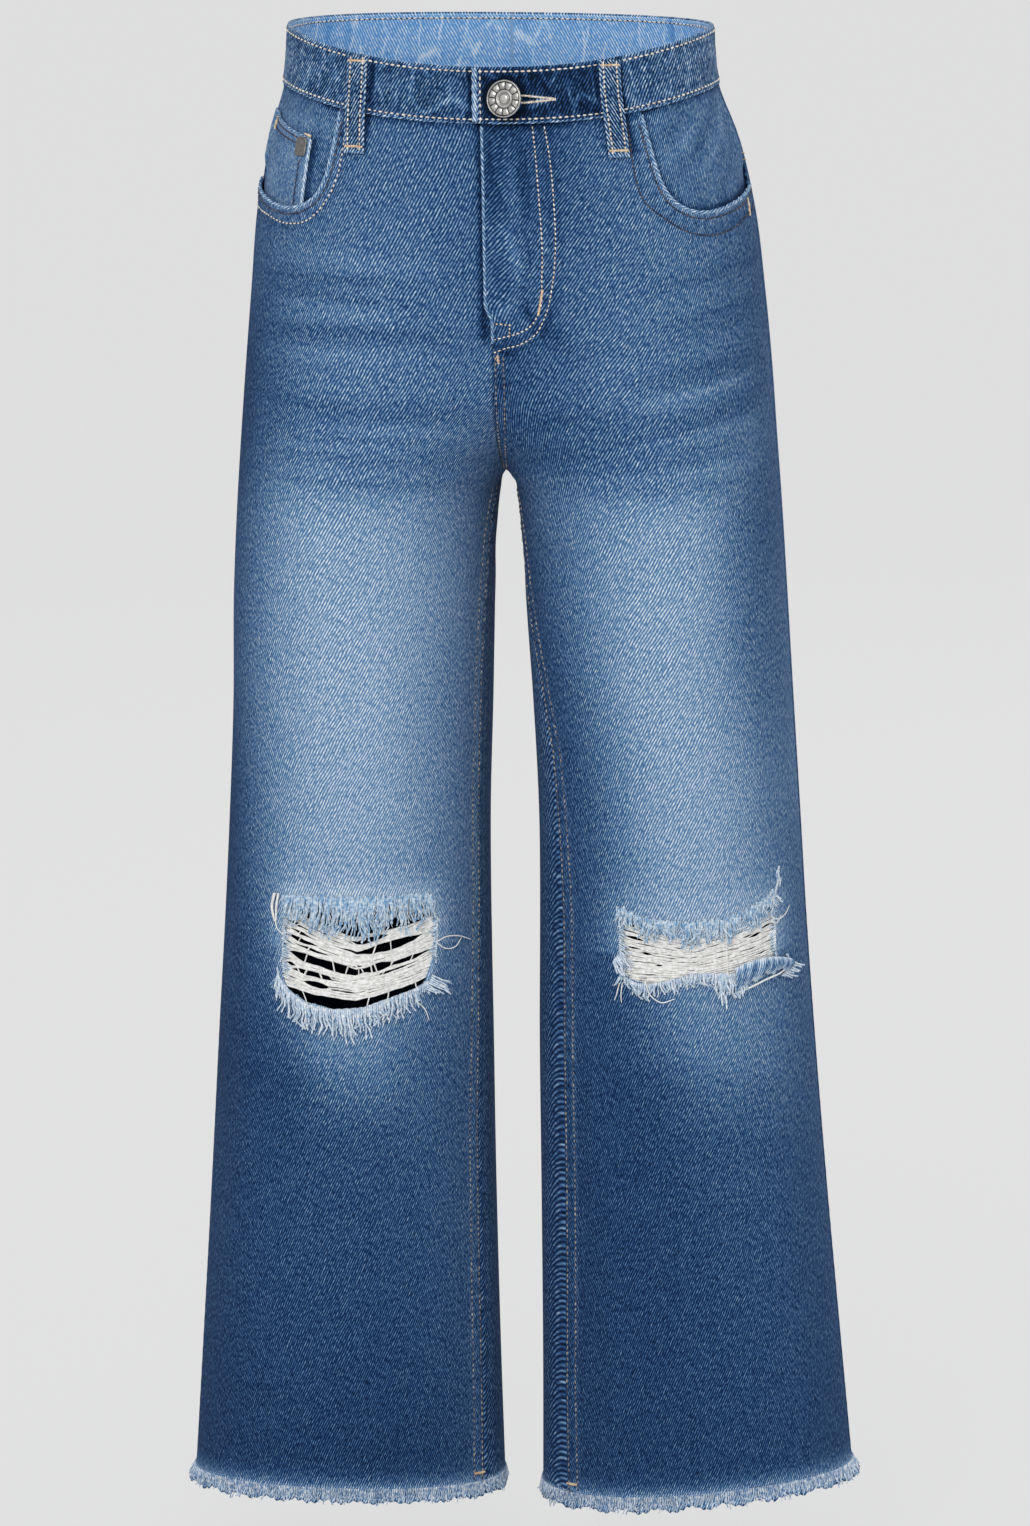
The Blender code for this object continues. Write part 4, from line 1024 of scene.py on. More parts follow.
def front_fade(share, height, side):
    """The fade of a front panel, with its seams, edges and torn knee, and painted shadows under the
    waistband, beside the belt loops and beside the fly.
    """
    fade = front_wash(share, height, side) + leg_seam_fade(share, height, False, side)
    edge, run = from_line(share, height, MOUTH_LINE)
    wear = 0.75 + 0.25 * np.sin(run / (2.7 * MM)) * np.sin(run / (7.1 * MM))
    roping = uneven_wave(run, 5.5 * MM, 31 + side)
    mouth = 0.62 * wear * bell(edge, 1.5 * MM) + 0.17 * roping * bell(edge - 6 * MM, 4 * MM)
    mouth = mouth - 0.12 * bell(edge - 10.5 * MM, 1.8 * MM)
    fade = fade + mouth * smooth((-26 * MM - height) / MM)
    torn = fine_rip(side)
    flat = np.stack((share.ravel() * knee_span(side), height.ravel()), -1)
    around = 30 * MM
    near = np.all((flat > torn.min(0) - around) & (flat < torn.max(0) + around), axis=1)
    distance = np.full(len(flat), 1.0)
    distance[near] = signed_distance(flat[near], torn)[0]
    distance = np.maximum(distance.reshape(share.shape), 0)
    worn = np.where(height > KNEE + 2 * MM, (7.5 if side < 0 else 13) * MM, 3.0 * MM)
    fade = fade + 0.40 * bell(distance, worn, 1.4)
    fade = fade + 0.60 * bell(np.maximum(height - hem(share, side), 0), 5.0 * MM, 1.3)
    # painted shadows under the waistband and beside the belt loops
    fade = fade - 0.32 * bell(waist_seam(share, False) - height, 2.6 * MM)
    fade = fade - loop_shade(share, height, False, side)
    from_centre = (1 - share) * panel_length(height, False, side)
    fly = smooth((height - FLY_END) / (6 * MM))
    # the wearer's right front gets a painted shadow where the fly laps over it
    if side < 0:
        return fade - fly * 0.50 * bell(from_centre - 4.0 * MM, 3.0 * MM)
    fade = fade + fly * 0.30 * bell(from_centre + 2 * MM, 2.2 * MM)
    inner, along = from_line(share, height, line_of(FLY_INNER))
    fade = fade + 0.09 * uneven_wave(along, 6 * MM, 47) * bell(inner, 5 * MM)
    outer = from_line(share, height, line_of(FLY_OUTER))[0]
    fade = fade - 0.10 * bell(outer - 2.5 * MM, 1.6 * MM)
    return fade + stroke_field(share, height, FLY_STROKES)


def knee_span(side):
    """Length of a front panel at the knee. Holes are cut in metres of this scale."""
    return panel_length(KNEE, False, side)


def fine_rip(side):
    """A rip's outline in metres across and up: the table's, made fine and a little ragged."""
    rows = np.array(RIPS[side], float)
    ring = np.concatenate((rows[:, (0, 1)], rows[::-1][:, (0, 2)])) * (knee_span(side), MM)
    ring = np.append(ring, ring[:1], axis=0)
    run = run_along(ring)
    even = np.arange(0, run[-1], 1.1 * MM)
    fine = np.stack([np.interp(even, run, ring[:, k]) for k in (0, 1)], -1)
    for _ in range(3):
        fine = (np.roll(fine, 1, axis=0) + 2 * fine + np.roll(fine, -1, axis=0)) / 4
    ragged = np.random.default_rng(5 + side).normal(0, 0.5 * MM, len(fine))
    ragged = (np.roll(ragged, 1) + ragged * 2 + np.roll(ragged, -1)) / 3
    fine[:, 1] += ragged + 0.8 * MM * np.sin(even / (6.3 * MM))
    return fine


# %% Front panels


def front_grid(side):
    """Shares and heights of a front panel's grid, from the waist seam to the hem. It is finer
    along the side seam and the inseam, at the knee and at the hem."""
    scale = 220 * MM
    pocket = steps_between(0, 0.5, 2.2 * MM / scale, 1.4 * MM / scale, ends=(0,), reach=0.04)
    middle = steps_between(0.5, 1, 2.8 * MM / scale, 1.4 * MM / scale, ends=(1,), reach=0.05)
    columns = np.append(pocket, middle[1:])
    top, bottom = waist_seam(columns, False) - SEAM_GAP / 2, hem(columns, side)
    first, last = -100 * MM, -740 * MM
    levels = steps_between(first, last, 2.9 * MM, 1.6 * MM, ends=(-475 * MM, -500 * MM),
                           reach=30 * MM)
    heights = [top + (first - top) * t for t in steps_between(0, 1, 0.024)]
    heights += [np.full(len(columns), level) for level in levels[1:]]
    heights += [last + (bottom - last) * t
                for t in steps_between(0, 1, 0.05, 0.025, ends=(1,), reach=0.2)[1:]]
    return np.repeat(columns[None], len(heights), axis=0), np.array(heights)


def pocket_cut(scale):
    """The outline of what is cut away above a pocket mouth, in metres across and up."""
    beyond = np.array(((-0.05, -70 * MM), (-0.05, 0.0), (MOUTH_LINE[0, 0], 0.0)))
    return np.concatenate((MOUTH_LINE, beyond)) * (scale, 1)


UNROLL_DEPTH = 80 * MM


def cloth_place(share, height, back, side):
    """Where cloth lies flat, in metres, unrolled so that its threads hang straight."""
    spot = place(share, height, back, side)
    depth = UNROLL_DEPTH + spot[..., 1] * (-1 if back else 1)
    across = spot[..., 0] + side * depth * (1 - 2 * smooth(share))
    return np.stack((-across if back else across, height), -1)


def lapped(share, height, side):
    """Shares moved on past the centre where the wearer's left front laps over the right."""
    if side < 0:
        return share
    reach = np.where(height > FLY_END, fly_reach(height) + SEAM_GAP / 2, 0)
    return share + smooth((share - 0.93) / 0.07) * reach / panel_length(height, False, side)


def make_front(name, side):
    """A front panel, cut away at the pocket's mouth and at the torn knee."""
    shares, heights = front_grid(side)
    scale = knee_span(side)
    flat, faces = cut_hole(np.stack((shares * scale, heights), -1),
                           (fine_rip(side), pocket_cut(scale)))
    shares, heights = flat[..., 0] / scale, flat[..., 1]
    inset = SEAM_GAP / 2 / panel_length(heights, False, side)
    shares = np.clip(shares, inset, 1 - inset)
    points, normals = place(lapped(shares, heights, side), heights, False, side,
                            front_lift(shares, heights, side), with_normal=True)
    piece = make_shell(name, points, normals, cloth_place(shares, heights, False, side),
                       front_fade(shares, heights, side), DENIM, (LEG_DENIM, INSIDE_DENIM), faces)
    finish_piece(piece, "leg_denim", name)
    return piece


def lay_cloth(name, slot, share, height, back, side, lift, fade, thickness=PATCH,
              materials=(POCKET_DENIM,)):
    """A shell of cloth laid on the form. It stands for the node of its name, if there is one."""
    points, normals = place(share, height, back, side, lift, True)
    piece = make_shell(name, points, normals, cloth_place(share, height, back, side), fade,
                       thickness, materials)
    finish_piece(piece, slot, *([name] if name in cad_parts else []))
    return piece


def make_fold(name, points, normals, radius, fade, slot, material=LEG_DENIM):
    """The rounded worn edge of a folded cloth, along a line of points."""
    along = np.gradient(points, axis=0)
    across = np.cross(normals, along)
    across /= np.linalg.norm(across, axis=1, keepdims=True)
    turn = np.radians(np.linspace(-95, 95, 9))[:, None, None]
    out = across * np.sin(turn) + normals * np.cos(turn)
    run = run_along(points)
    size = 1 + 0.16 * uneven_wave(run, 5.5 * MM, 51) + 0.08 * uneven_wave(run, 2.1 * MM, 52)
    worn = fade + 0.16 * uneven_wave(run, 7 * MM, 53) + 0.12 * uneven_wave(run, 2.6 * MM, 54)
    cloth = np.stack(np.broadcast_arrays(turn[..., 0] * radius, run), -1)
    level = worn - 0.35 * np.abs(turn[..., 0]) / turn.max()
    piece = make_shell(name, points + out * radius * size[:, None], out, cloth, level,
                       0.3 * MM, (material,))
    finish_piece(piece, slot)
    return piece


for word, side in SIDES.items():
    path = MOUTH_LINE[MOUTH_LINE[:, 1] < -27 * MM]
    path = np.stack([np.interp(np.linspace(0, 1, 110), np.linspace(0, 1, len(path)), path[:, k])
                     for k in (0, 1)], -1)
    share, height = np.maximum(path[:, 0], 0.004), path[:, 1]
    raised = front_lift(share, height, side) - 0.55 * MM
    make_fold("pocket_mouth_fold_" + word, *place(share, height, False, side, raised, True),
              1.15 * MM, 0.95, "leg_denim")
height = np.linspace(-150, -33, 90) * MM
share = 1 + (fly_reach(height) - 0.4 * MM) / panel_length(height, False, 1)
make_fold("fly_fold", *place(share, height, False, 1, FLY_LIFT - 0.3 * MM, True), 0.9 * MM, 0.85,
          "leg_denim")

for word, side in SIDES.items():
    panel = make_front("front_panel_" + word, side)
    state_cloth(panel, 0.250, 0.790)

# %% [markdown]
# ## Back panels, yokes and back pockets
# The back isn't worn as pale as the thighs. It has what every pair of jeans has there: two
# panels, a slanted yoke above each, and two plain patch pockets with a stitched edge.

# %% Back panels and yokes
YOKE_SIDE = -52 * MM
YOKE_CENTRE = -76 * MM
BACK_POCKET_SPAN = (0.20, 0.76)
BACK_POCKET_WIDTH = 105 * MM
BACK_POCKET_HEIGHT = 96 * MM
BACK_POCKET_TOP = -92 * MM
BACK_POCKET_CORNER = -180 * MM
BACK_POCKET_POINT = -198 * MM
LAYER_GAP = 0.5 * MM
# from share and height to share and height, half width in mm, change of fade
BACK_STROKES = (
    (0.45, -206, 0.95, -224, 6.0, -0.12), (0.40, -226, 0.92, -246, 6.0, 0.12),
    (0.35, -262, 0.88, -274, 6.0, -0.12), (0.20, -462, 0.78, -474, 6.0, -0.10),
    (0.22, -480, 0.80, -490, 5.0, 0.12), (0.22, -504, 0.72, -512, 5.0, -0.09),
)


def yoke_seam(share):
    """Height of the seam between a back panel and its yoke."""
    return YOKE_SIDE + (YOKE_CENTRE - YOKE_SIDE) * share


def back_lift(share, height, side):
    """How far a back panel or a yoke stands off the form."""
    share, height = np.broadcast_arrays(np.asarray(share, float), np.asarray(height, float))
    pucker = uneven_wave(share * FRONT_SPAN, 6.5 * MM, 61 + side)
    pucker = pucker * bell(yoke_seam(share) - height, 6 * MM)
    return leg_relief(share, height, True, side) + 0.2 * MM * pucker


def back_fade(share, height, side):
    """The fade of a back panel or a yoke, pale along the yoke seam and at the hem."""
    fade = back_wash(share, height, side) + leg_seam_fade(share, height, True, side)
    fade = fade + 0.55 * bell(np.maximum(height - hem(share, side), 0), 3.0 * MM, 1.3)
    fade = fade + stroke_field(share, height, BACK_STROKES)
    below = yoke_seam(share) - height
    return fade + 0.22 * bell(np.abs(below) - 1 * MM, 1.2 * MM)


def make_back(name, side, top, bottom, levels):
    """A piece of the back from the line top to the line bottom, with rows at the levels."""
    columns = steps_between(0, 1, 0.021, 0.010, ends=(0, 1), reach=0.06)
    shares = np.repeat(columns[None], len(levels), axis=0)
    heights = top(columns) + (bottom(columns) - top(columns)) * levels[:, None]
    inset = SEAM_GAP / 2 / panel_length(heights, True, side)
    shares = np.clip(shares, inset, 1 - inset)
    return lay_cloth(name, "leg_denim", shares, heights, True, side,
                     back_lift(shares, heights, side), back_fade(shares, heights, side), DENIM,
                     (LEG_DENIM, INSIDE_DENIM))


def back_pocket_spot(column, row):
    """Share and height on a back pocket, which ends in a point."""
    left, right = BACK_POCKET_SPAN
    pointed = 1 - np.abs(2 * column - 1)
    bottom = BACK_POCKET_CORNER + (BACK_POCKET_POINT - BACK_POCKET_CORNER) * pointed
    return left + (right - left) * column, BACK_POCKET_TOP + (bottom - BACK_POCKET_TOP) * row


def pocket_edge(column, row):
    """About how far a place is from the nearest edge of a back pocket, in metres."""
    return np.minimum(np.minimum(column, 1 - column) * BACK_POCKET_WIDTH,
                      np.minimum(row, 1 - row) * BACK_POCKET_HEIGHT)


def back_pocket_lift(column, row, turned=1.0):
    """How far a back pocket stands off. Its mouth gapes, and its turned edge is thicker."""
    lift = LAYER_GAP + PATCH + 0.35 * MM * turned
    return lift + 1.2 * MM * np.sin(pi * column) * bell(row, 0.25)


def make_back_pocket(name, side):
    """A plain patch pocket with a worn turned edge."""
    column, row = np.meshgrid(np.linspace(0, 1, 57), np.linspace(0, 1, 49))
    share, height = back_pocket_spot(column, row)
    edge = pocket_edge(column, row)
    lift = back_pocket_lift(column, row, smooth((7 * MM - edge) / (2 * MM)))
    fade = back_wash(share, height, side) + 0.08 + 0.30 * bell(edge, 1.3 * MM)
    fade = fade - 0.1 * bell(edge - 8 * MM, 2 * MM)
    return lay_cloth(name, "pocket_denim", share, height, True, side, lift, fade)


for word, side in SIDES.items():
    panel = make_back("back_panel_" + word, side, lambda share: yoke_seam(share) - SEAM_GAP / 2,
                      lambda share: hem(share, side), steps_between(0, 1, 0.0058))
    state_cloth(panel, 0.290, 0.760)
    yoke = make_back("back_yoke_" + word, side,
                     lambda share: waist_seam(share, True) - SEAM_GAP / 2,
                     lambda share: yoke_seam(share) + SEAM_GAP / 2, np.linspace(0, 1, 20))
    state_cloth(yoke, 0.200, 0.064)
    state_cloth(make_back_pocket("back_pocket_" + word, side), 0.120, 0.112)

# %% [markdown]
# ## Pocket facings and the coin pocket
# What shows inside a front pocket's mouth is the facing, a piece of denim sewn into the side
# seam and the waist. The wearer's right one carries the small coin pocket with its rivet.

# %% Facings and coin pocket
FACING_REACH = 0.55
FACING_BOTTOM = -100 * MM
FACING_DEPTH = {-1: 3.6 * MM, 1: 2.4 * MM}
FACING_FLUSH = 0.2 * MM
FACING_INSET = 0.6 * MM
FACING_RAMP = 14 * MM
COIN_TOP = ((0.03, -31), (0.366, -43))
COIN_BOTTOM = ((0.03, -94), (0.368, -96))
COIN_WIDTH = 62 * MM
COIN_HEIGHT = 58 * MM
# from share and height to share and height, half width in mm, change of fade
FACING_STROKES = {
    -1: ((0.05, -30, 0.45, -36, 3, 0.10), (0.40, -40, 0.45, -70, 4, -0.10)),
    1: ((0.04, -26, 0.30, -60, 2.5, 0.16), (0.12, -24, 0.40, -62, 2.5, -0.14),
        (0.20, -26, 0.46, -58, 2.5, 0.14), (0.06, -44, 0.24, -74, 3.0, -0.10),
        (0.30, -28, 0.46, -44, 2.5, -0.10)),
}


def facing_lift(share, height, side):
    """The facing lies under the front panel and comes up flush at the side and waist seams."""
    from_side = share * panel_length(height, False, side)
    from_top = waist_seam(share, False) - height
    below = (-54 * MM - height) / (12 * MM)
    beyond = (share - 0.37) / 0.07
    under = np.maximum(np.maximum(np.minimum(from_side, from_top) / FACING_RAMP, below), beyond)
    return -FACING_FLUSH - (FACING_DEPTH[side] - FACING_FLUSH) * smooth(under)


def facing_fade(share, height, side):
    """Little worn, since it is covered, with paler creases near the waist; painted shadows lie
    under the mouth, under the waistband and beside the coin pocket.
    """
    fade = 0.44 + 0.05 * np.sin(share * 60 + 1) * np.sin(height / (9 * MM))
    fade = fade + stroke_field(share, height, FACING_STROKES[side])
    # painted shadows under the pocket mouth and under the waistband
    fade = fade - 0.50 * bell(from_line(share, height, MOUTH_LINE)[0], 3.5 * MM)
    fade = fade - 0.30 * bell(waist_seam(share, False) - height, 3 * MM)
    # a painted shadow beside the coin pocket's edge
    if side < 0:
        past = (share - 0.378) * panel_length(height, False, side)
        fade = fade - 0.45 * bell(past, 3.0 * MM) * smooth((-40 * MM - height) / (4 * MM))
    return fade


def make_facing(name, side):
    """The denim inside a front pocket's mouth."""
    column, row = np.meshgrid(np.linspace(0, 1, 56), np.linspace(0, 1, 44))
    share = column * FACING_REACH
    top = waist_seam(share, False) - SEAM_GAP / 2
    height = top + (FACING_BOTTOM - top) * row
    share = np.maximum(share, FACING_INSET / panel_length(height, False, side))
    crumple = stroke_field(share, height, FACING_STROKES[side]) * 2.5 * MM
    return lay_cloth(name, "pocket_denim", share, height, False, side,
                     facing_lift(share, height, side) + crumple, facing_fade(share, height, side))


def coin_spot(column, row):
    """Share and height on the coin pocket, between its two upper and two lower corners."""
    (top_start, top_end), (low_start, low_end) = np.array((COIN_TOP, COIN_BOTTOM)) * (1, MM)
    column, row = np.asarray(column, float)[..., None], np.asarray(row, float)[..., None]
    top = top_start + (top_end - top_start) * column
    low = low_start + (low_end - low_start) * column
    spot = top + (low - top) * row
    return spot[..., 0], spot[..., 1]


def coin_lift(share, height):
    """How far the coin pocket stands off the form, on top of its facing."""
    return facing_lift(share, height, -1) + LAYER_GAP * 0.6 + PATCH


def make_coin_pocket(name):
    """The small patch on the wearer's right facing."""
    column, row = np.meshgrid(np.linspace(0, 1, 45), np.linspace(0, 1, 41))
    share, height = coin_spot(column, row)
    across, down = column * COIN_WIDTH, row * COIN_HEIGHT
    edge = np.minimum(np.minimum(column, 1 - column) * COIN_WIDTH, down)
    roping = uneven_wave(np.where(down < across, across, down), 5 * MM, 71)
    lift = coin_lift(share, height) + 0.25 * MM * smooth((6 * MM - edge) / (1.5 * MM))
    lift = lift + 0.12 * MM * roping * bell(edge - 3 * MM, 4 * MM)
    fade = 0.56 + 0.06 * np.sin(column * 11) * np.sin(row * 9) + 0.35 * bell(edge, 1.1 * MM)
    fade = fade + 0.07 * roping * bell(edge - 3 * MM, 3 * MM)
    fade = fade - 0.12 * bell(edge - 7 * MM, 1.5 * MM)
    return lay_cloth(name, "pocket_denim", share, height, False, -1, lift, fade)


for word, first, last, size, fade in (("side", (1.0, 0.0), (1.0, 0.90), 1.05, 1.30),
                                      ("top", (0.10, 0.0), (1.0, 0.0), 0.8, 0.8)):
    share, height = coin_spot(*(np.linspace(first[k], last[k], 50) for k in (0, 1)))
    lift = coin_lift(share, height) - 0.35 * MM
    make_fold("coin_pocket_fold_" + word, *place(share, height, False, -1, lift, True), size * MM,
              fade, "pocket_denim", POCKET_DENIM)
for word, side in SIDES.items():
    state_cloth(make_facing("pocket_facing_" + word, side), 0.108, 0.088)
state_cloth(make_coin_pocket("coin_pocket"), 0.070, 0.068)

# %% [markdown]
# ## Waistband and belt loops
# The waistband is one long folded strip. It laps over itself at the centre front, where the tab
# on the wearer's left carries the buttonhole. Washing crumples the thick band into short pale
# creases. The loops are narrow folded strips, sewn on at both ends and standing off in between.

# %% Waistband
BAND_PROUD = 0.8 * MM
BAND_THICKNESS = 2.2 * MM
OVERLAP_SHIFT = 1.35 * MM
UNDER_REACH = 26 * MM
TAB_REACH = 7 * MM
CENTRE_LENGTH = panel_length(0.0, False, 1)
BUTTON_SHARE = 1 - 10 * MM / CENTRE_LENGTH
BUTTON_HEIGHT = -18.5 * MM
BUTTONHOLE_END = 0.775
BAND_ROWS = 23


def band_shift(back, side, share):
    """How far a layer of the band is moved out where it laps over itself."""
    if back:
        return 0.0 * share
    if side < 0:
        return -OVERLAP_SHIFT * smooth((share - 0.76) / 0.15)
    return OVERLAP_SHIFT * smooth((share - 0.61) / 0.18)


def band_route():
    """Stretches of the band from under the tab, round the back, to the tab's end."""
    step = 2.2 * MM / CENTRE_LENGTH
    stretches = ((False, -1, 1 + UNDER_REACH / CENTRE_LENGTH, 0.0), (True, -1, 0.0, 1.0),
                 (True, 1, 1.0, 0.0), (False, 1, 0.0, 1 + TAB_REACH / CENTRE_LENGTH))
    for back, side, start, end in stretches:
        fine = step * 0.5 if (not back and side > 0) else step
        shares = steps_between(start, end, step, fine, ends=(0.85, 0.94), reach=0.09)
        yield back, side, (shares if end > 1 or end < start and not back else shares[:-1])


def band_spot(share, back, side, row):
    """A height on the band, from its top at 0 to the waist seam at 1."""
    top, bottom = band_top(share, back), waist_seam(share, back) + SEAM_GAP / 2
    return top + (bottom - top) * row


def band_lift(share, back, side, row):
    """The band's outer face: rounded at its edges, crumpled in between."""
    edge = np.minimum(row, 1 - row) * 2 * BAND_HALF_HEIGHT
    run = (share * side if not back else 2 * side - share * side) * CENTRE_LENGTH
    crumple = uneven_wave(run + 0.006 * np.sin(row * 9), 11 * MM, 81) * np.sin(pi * row)
    pucker = uneven_wave(run, 5 * MM, 83) * bell(edge - 3 * MM, 3 * MM)
    lift = BAND_PROUD + band_shift(back, side, share) - 0.5 * MM * bell(edge, MM)
    return lift + 0.16 * MM * crumple + 0.12 * MM * pucker


def keyhole():
    """The buttonhole's outline in metres round the band: a round eye with a narrow slot."""
    middle = BUTTON_HEIGHT
    turn = np.linspace(radians(165), radians(-165), 21)
    eye = np.stack((3.9 * MM * np.cos(turn), middle + 3.9 * MM * np.sin(turn)), -1)
    eye[:, 0] += BUTTON_SHARE * CENTRE_LENGTH
    end = BUTTONHOLE_END * CENTRE_LENGTH
    slot = [(end + 4 * MM, middle - 0.5 * MM), (end, middle + 0.1 * MM),
            (end + 4 * MM, middle + 0.7 * MM)]
    return np.concatenate((eye, np.array(slot)))


def make_waistband(name):
    """The whole band, as one strip that laps over itself, with a real buttonhole."""
    rows = np.linspace(0, 1, BAND_ROWS)
    parts = []
    for back, side, shares in band_route():
        share, row = np.meshgrid(shares, rows)
        height = band_spot(share, back, side, row)
        lift = band_lift(share, back, side, row)
        points, normals = place(share, height, back, side, lift, True)
        run = share if not back else 2 - share
        across = run * side * CENTRE_LENGTH * -1
        edge = np.minimum(row, 1 - row) * 2 * BAND_HALF_HEIGHT
        fade = 0.24 + 0.30 * bell(edge, 0.9 * MM)
        fade = fade + (0.0 if back else 0.10) * smooth((0.45 - share) / 0.35)
        fade = fade + 0.06 * uneven_wave(run * CENTRE_LENGTH, 9 * MM, 87 + side)
        fade = fade - 0.10 * bell(edge - 6 * MM, 2 * MM)
        # painted shadows beside the belt loops
        fade = fade - loop_shade(share, height, back, side)
        if not back and side > 0:
            past = (share - 1) * CENTRE_LENGTH
            fade = fade - 0.36 * smooth((share - 0.56) / 0.10) + 0.05 * smooth(-past / MM)
            fade = fade + 0.70 * bell(past - TAB_REACH, 2.9 * MM)
            away = (share - BUTTONHOLE_END) * CENTRE_LENGTH - 7 * MM
            above = height - BUTTON_HEIGHT
            # a painted shadow in a ring round the button
            round_button = np.hypot((share - BUTTON_SHARE) * CENTRE_LENGTH, above)
            fade = fade - 0.5 * bell(round_button - 10.5 * MM, 1.8 * MM)
            fade = fade + 0.9 * bell(away, 6 * MM) * bell(above, 1.6 * MM)
        if not back and side < 0:
            # a painted shadow beside the tab that laps over this end of the band
            past = (1 - share) * CENTRE_LENGTH - TAB_REACH
            fade = fade - 0.45 * bell(past - 1.5 * MM, 4 * MM)
        parts.append((points, normals, np.stack((across, height), -1), fade, share, height))
    points, normals, cloth, fade, share, height = (
        np.concatenate([part[k] for part in parts], axis=1) for k in range(6))
    tab = parts[-1][4].shape[1]
    flat = np.stack((share * CENTRE_LENGTH, height), -1)
    flat[:, :-tab] += 10
    cut, faces = cut_hole(flat, (keyhole(),))
    moved = cut[:, -tab:]
    tab_share = moved[..., 0] / CENTRE_LENGTH
    top, bottom = band_top(tab_share, False), waist_seam(tab_share, False) + SEAM_GAP / 2
    row = (moved[..., 1] - top) / (bottom - top)
    lift = band_lift(tab_share, False, 1, row)
    points[:, -tab:], normals[:, -tab:] = place(tab_share, moved[..., 1], False, 1, lift, True)
    piece = make_shell(name, points, normals, cloth, fade, BAND_THICKNESS,
                       (BAND_DENIM, BAND_INSIDE), faces=faces)
    finish_piece(piece, "waistband_denim", name)
    return piece


for back, side in QUARTERS:
    under_tab = 0.955 if not back and side < 0 else 1
    share = np.linspace(0.002, 0.998, 90) * under_tab
    height = waist_seam(share, back) + 0.5 * MM
    lift = BAND_PROUD + band_shift(back, side, share) - 0.9 * MM
    make_fold(f"waist_seam_fold_{'back' if back else 'front'}_{'right' if side < 0 else 'left'}",
              *place(share, height, back, side, lift, True), 0.75 * MM, 0.55, "waistband_denim",
              BAND_DENIM)
row = np.linspace(0.03, 0.97, 40)
share = np.full(40, 1 + (TAB_REACH - 0.7 * MM) / CENTRE_LENGTH)
make_fold("waist_tab_fold", *place(share, band_spot(share, False, 1, row), False, 1,
                                   band_lift(share, False, 1, row) - 0.7 * MM, True),
          1.7 * MM, 0.95, "waistband_denim", BAND_DENIM)
state_cloth(make_waistband("waistband"), 0.720, 0.034)

# %% Seat and crotch seams
# the seam from the seat under the crotch to the fly is felled: a ridge lies inside along it
for name, back, top in (("seat_seam_ridge", True, -0.05), ("crotch_seam_ridge", False, FLY_END)):
    height = np.linspace(top, CROTCH + 0.3 * MM, 90)
    points, normals = place(np.ones(90), height, back, 1, -DENIM - 0.5 * MM, True)
    points[:, 0] = normals[:, 0] = 0
    make_fold(name, points, normals, 0.9 * MM, 0.3, "leg_denim", INSIDE_DENIM)

# %% Belt loops
LOOP_THICKNESS = 1.5 * MM
LOOP_ARCH = np.array(((0.0, 1.3), (0.14, 2.4), (0.34, 3.2), (0.56, 3.0), (0.74, 1.9),
                      (0.88, 0.8), (1.0, 0.45)))
LOOP_LENGTH = 54 * MM


def loop_place(loop, across, row, more=0.0):
    """Points on a loop: across from -1 to 1 over its width, row from 0 at its top to 1."""
    name, back, side, top_share, bottom_share = loop
    across, row = np.broadcast_arrays(np.asarray(across, float), np.asarray(row, float))
    middle = top_share + (bottom_share - top_share) * row
    top = band_top(middle, back) - 1 * MM
    height = top + (waist_seam(middle, back) - LOOP_TAIL - top) * row
    share = middle + across * LOOP_WIDTH / 2 / panel_length(height, back, side)
    arch = sum(np.interp(row + nudge, *LOOP_ARCH.T) for nudge in (-0.04, 0, 0.04)) / 3 * MM
    folded = 0.25 * MM * np.cos(across * pi * 1.05)
    dent = 0.5 * MM * (bell(row - 0.06, 0.03) + bell(row - 0.93, 0.03))
    ripple = 0.12 * MM * uneven_wave(row * LOOP_LENGTH, 5 * MM, 91)
    lift = arch + LOOP_THICKNESS + folded + ripple - dent * (1 - 0.6 * across ** 2) + more
    return place(share, height, back, side, lift, with_normal=True)


def make_loop(loop):
    """A belt loop, worn pale at its folded edges and its lower end."""
    across, row = np.meshgrid(np.linspace(-1, 1, 13), np.linspace(0, 1, 55))
    points, normals = loop_place(loop, across, row)
    cloth = np.stack((across * LOOP_WIDTH / 2, -row * LOOP_LENGTH), -1)
    fade = 0.34 + 0.50 * bell(1 - np.abs(across), 0.14)
    fade = fade + 0.10 * uneven_wave(row * LOOP_LENGTH, 5 * MM, 93)
    fade = fade - 0.14 * bell(np.abs(across) - 0.45, 0.12)
    fade = fade + 0.5 * bell(1 - row, 0.03)
    piece = make_shell("belt_loop_" + loop[0], points, normals, cloth, fade, LOOP_THICKNESS,
                       (LOOP_DENIM,))
    finish_piece(piece, "loop_denim", "belt_loop_" + loop[0])
    return piece


for loop in LOOPS:
    state_cloth(make_loop(loop), 0.012, 0.056)

# %% [markdown]
# ## Thread
# Topstitching thread is thick, pale gold cotton, faded by the wash. Each stitch is a small
# rounded stick, and between two stitches the thread dives into a little hole. So a row is made
# by Geometry Nodes: the row's path is cut into equal steps, each step gets one stitch, and a thin
# cord runs under them all in the groove that the thread has pressed into the cloth. The cord's dark
# colour is a painted shadow, for the shade in that groove and in the holes.

# %% Thread materials


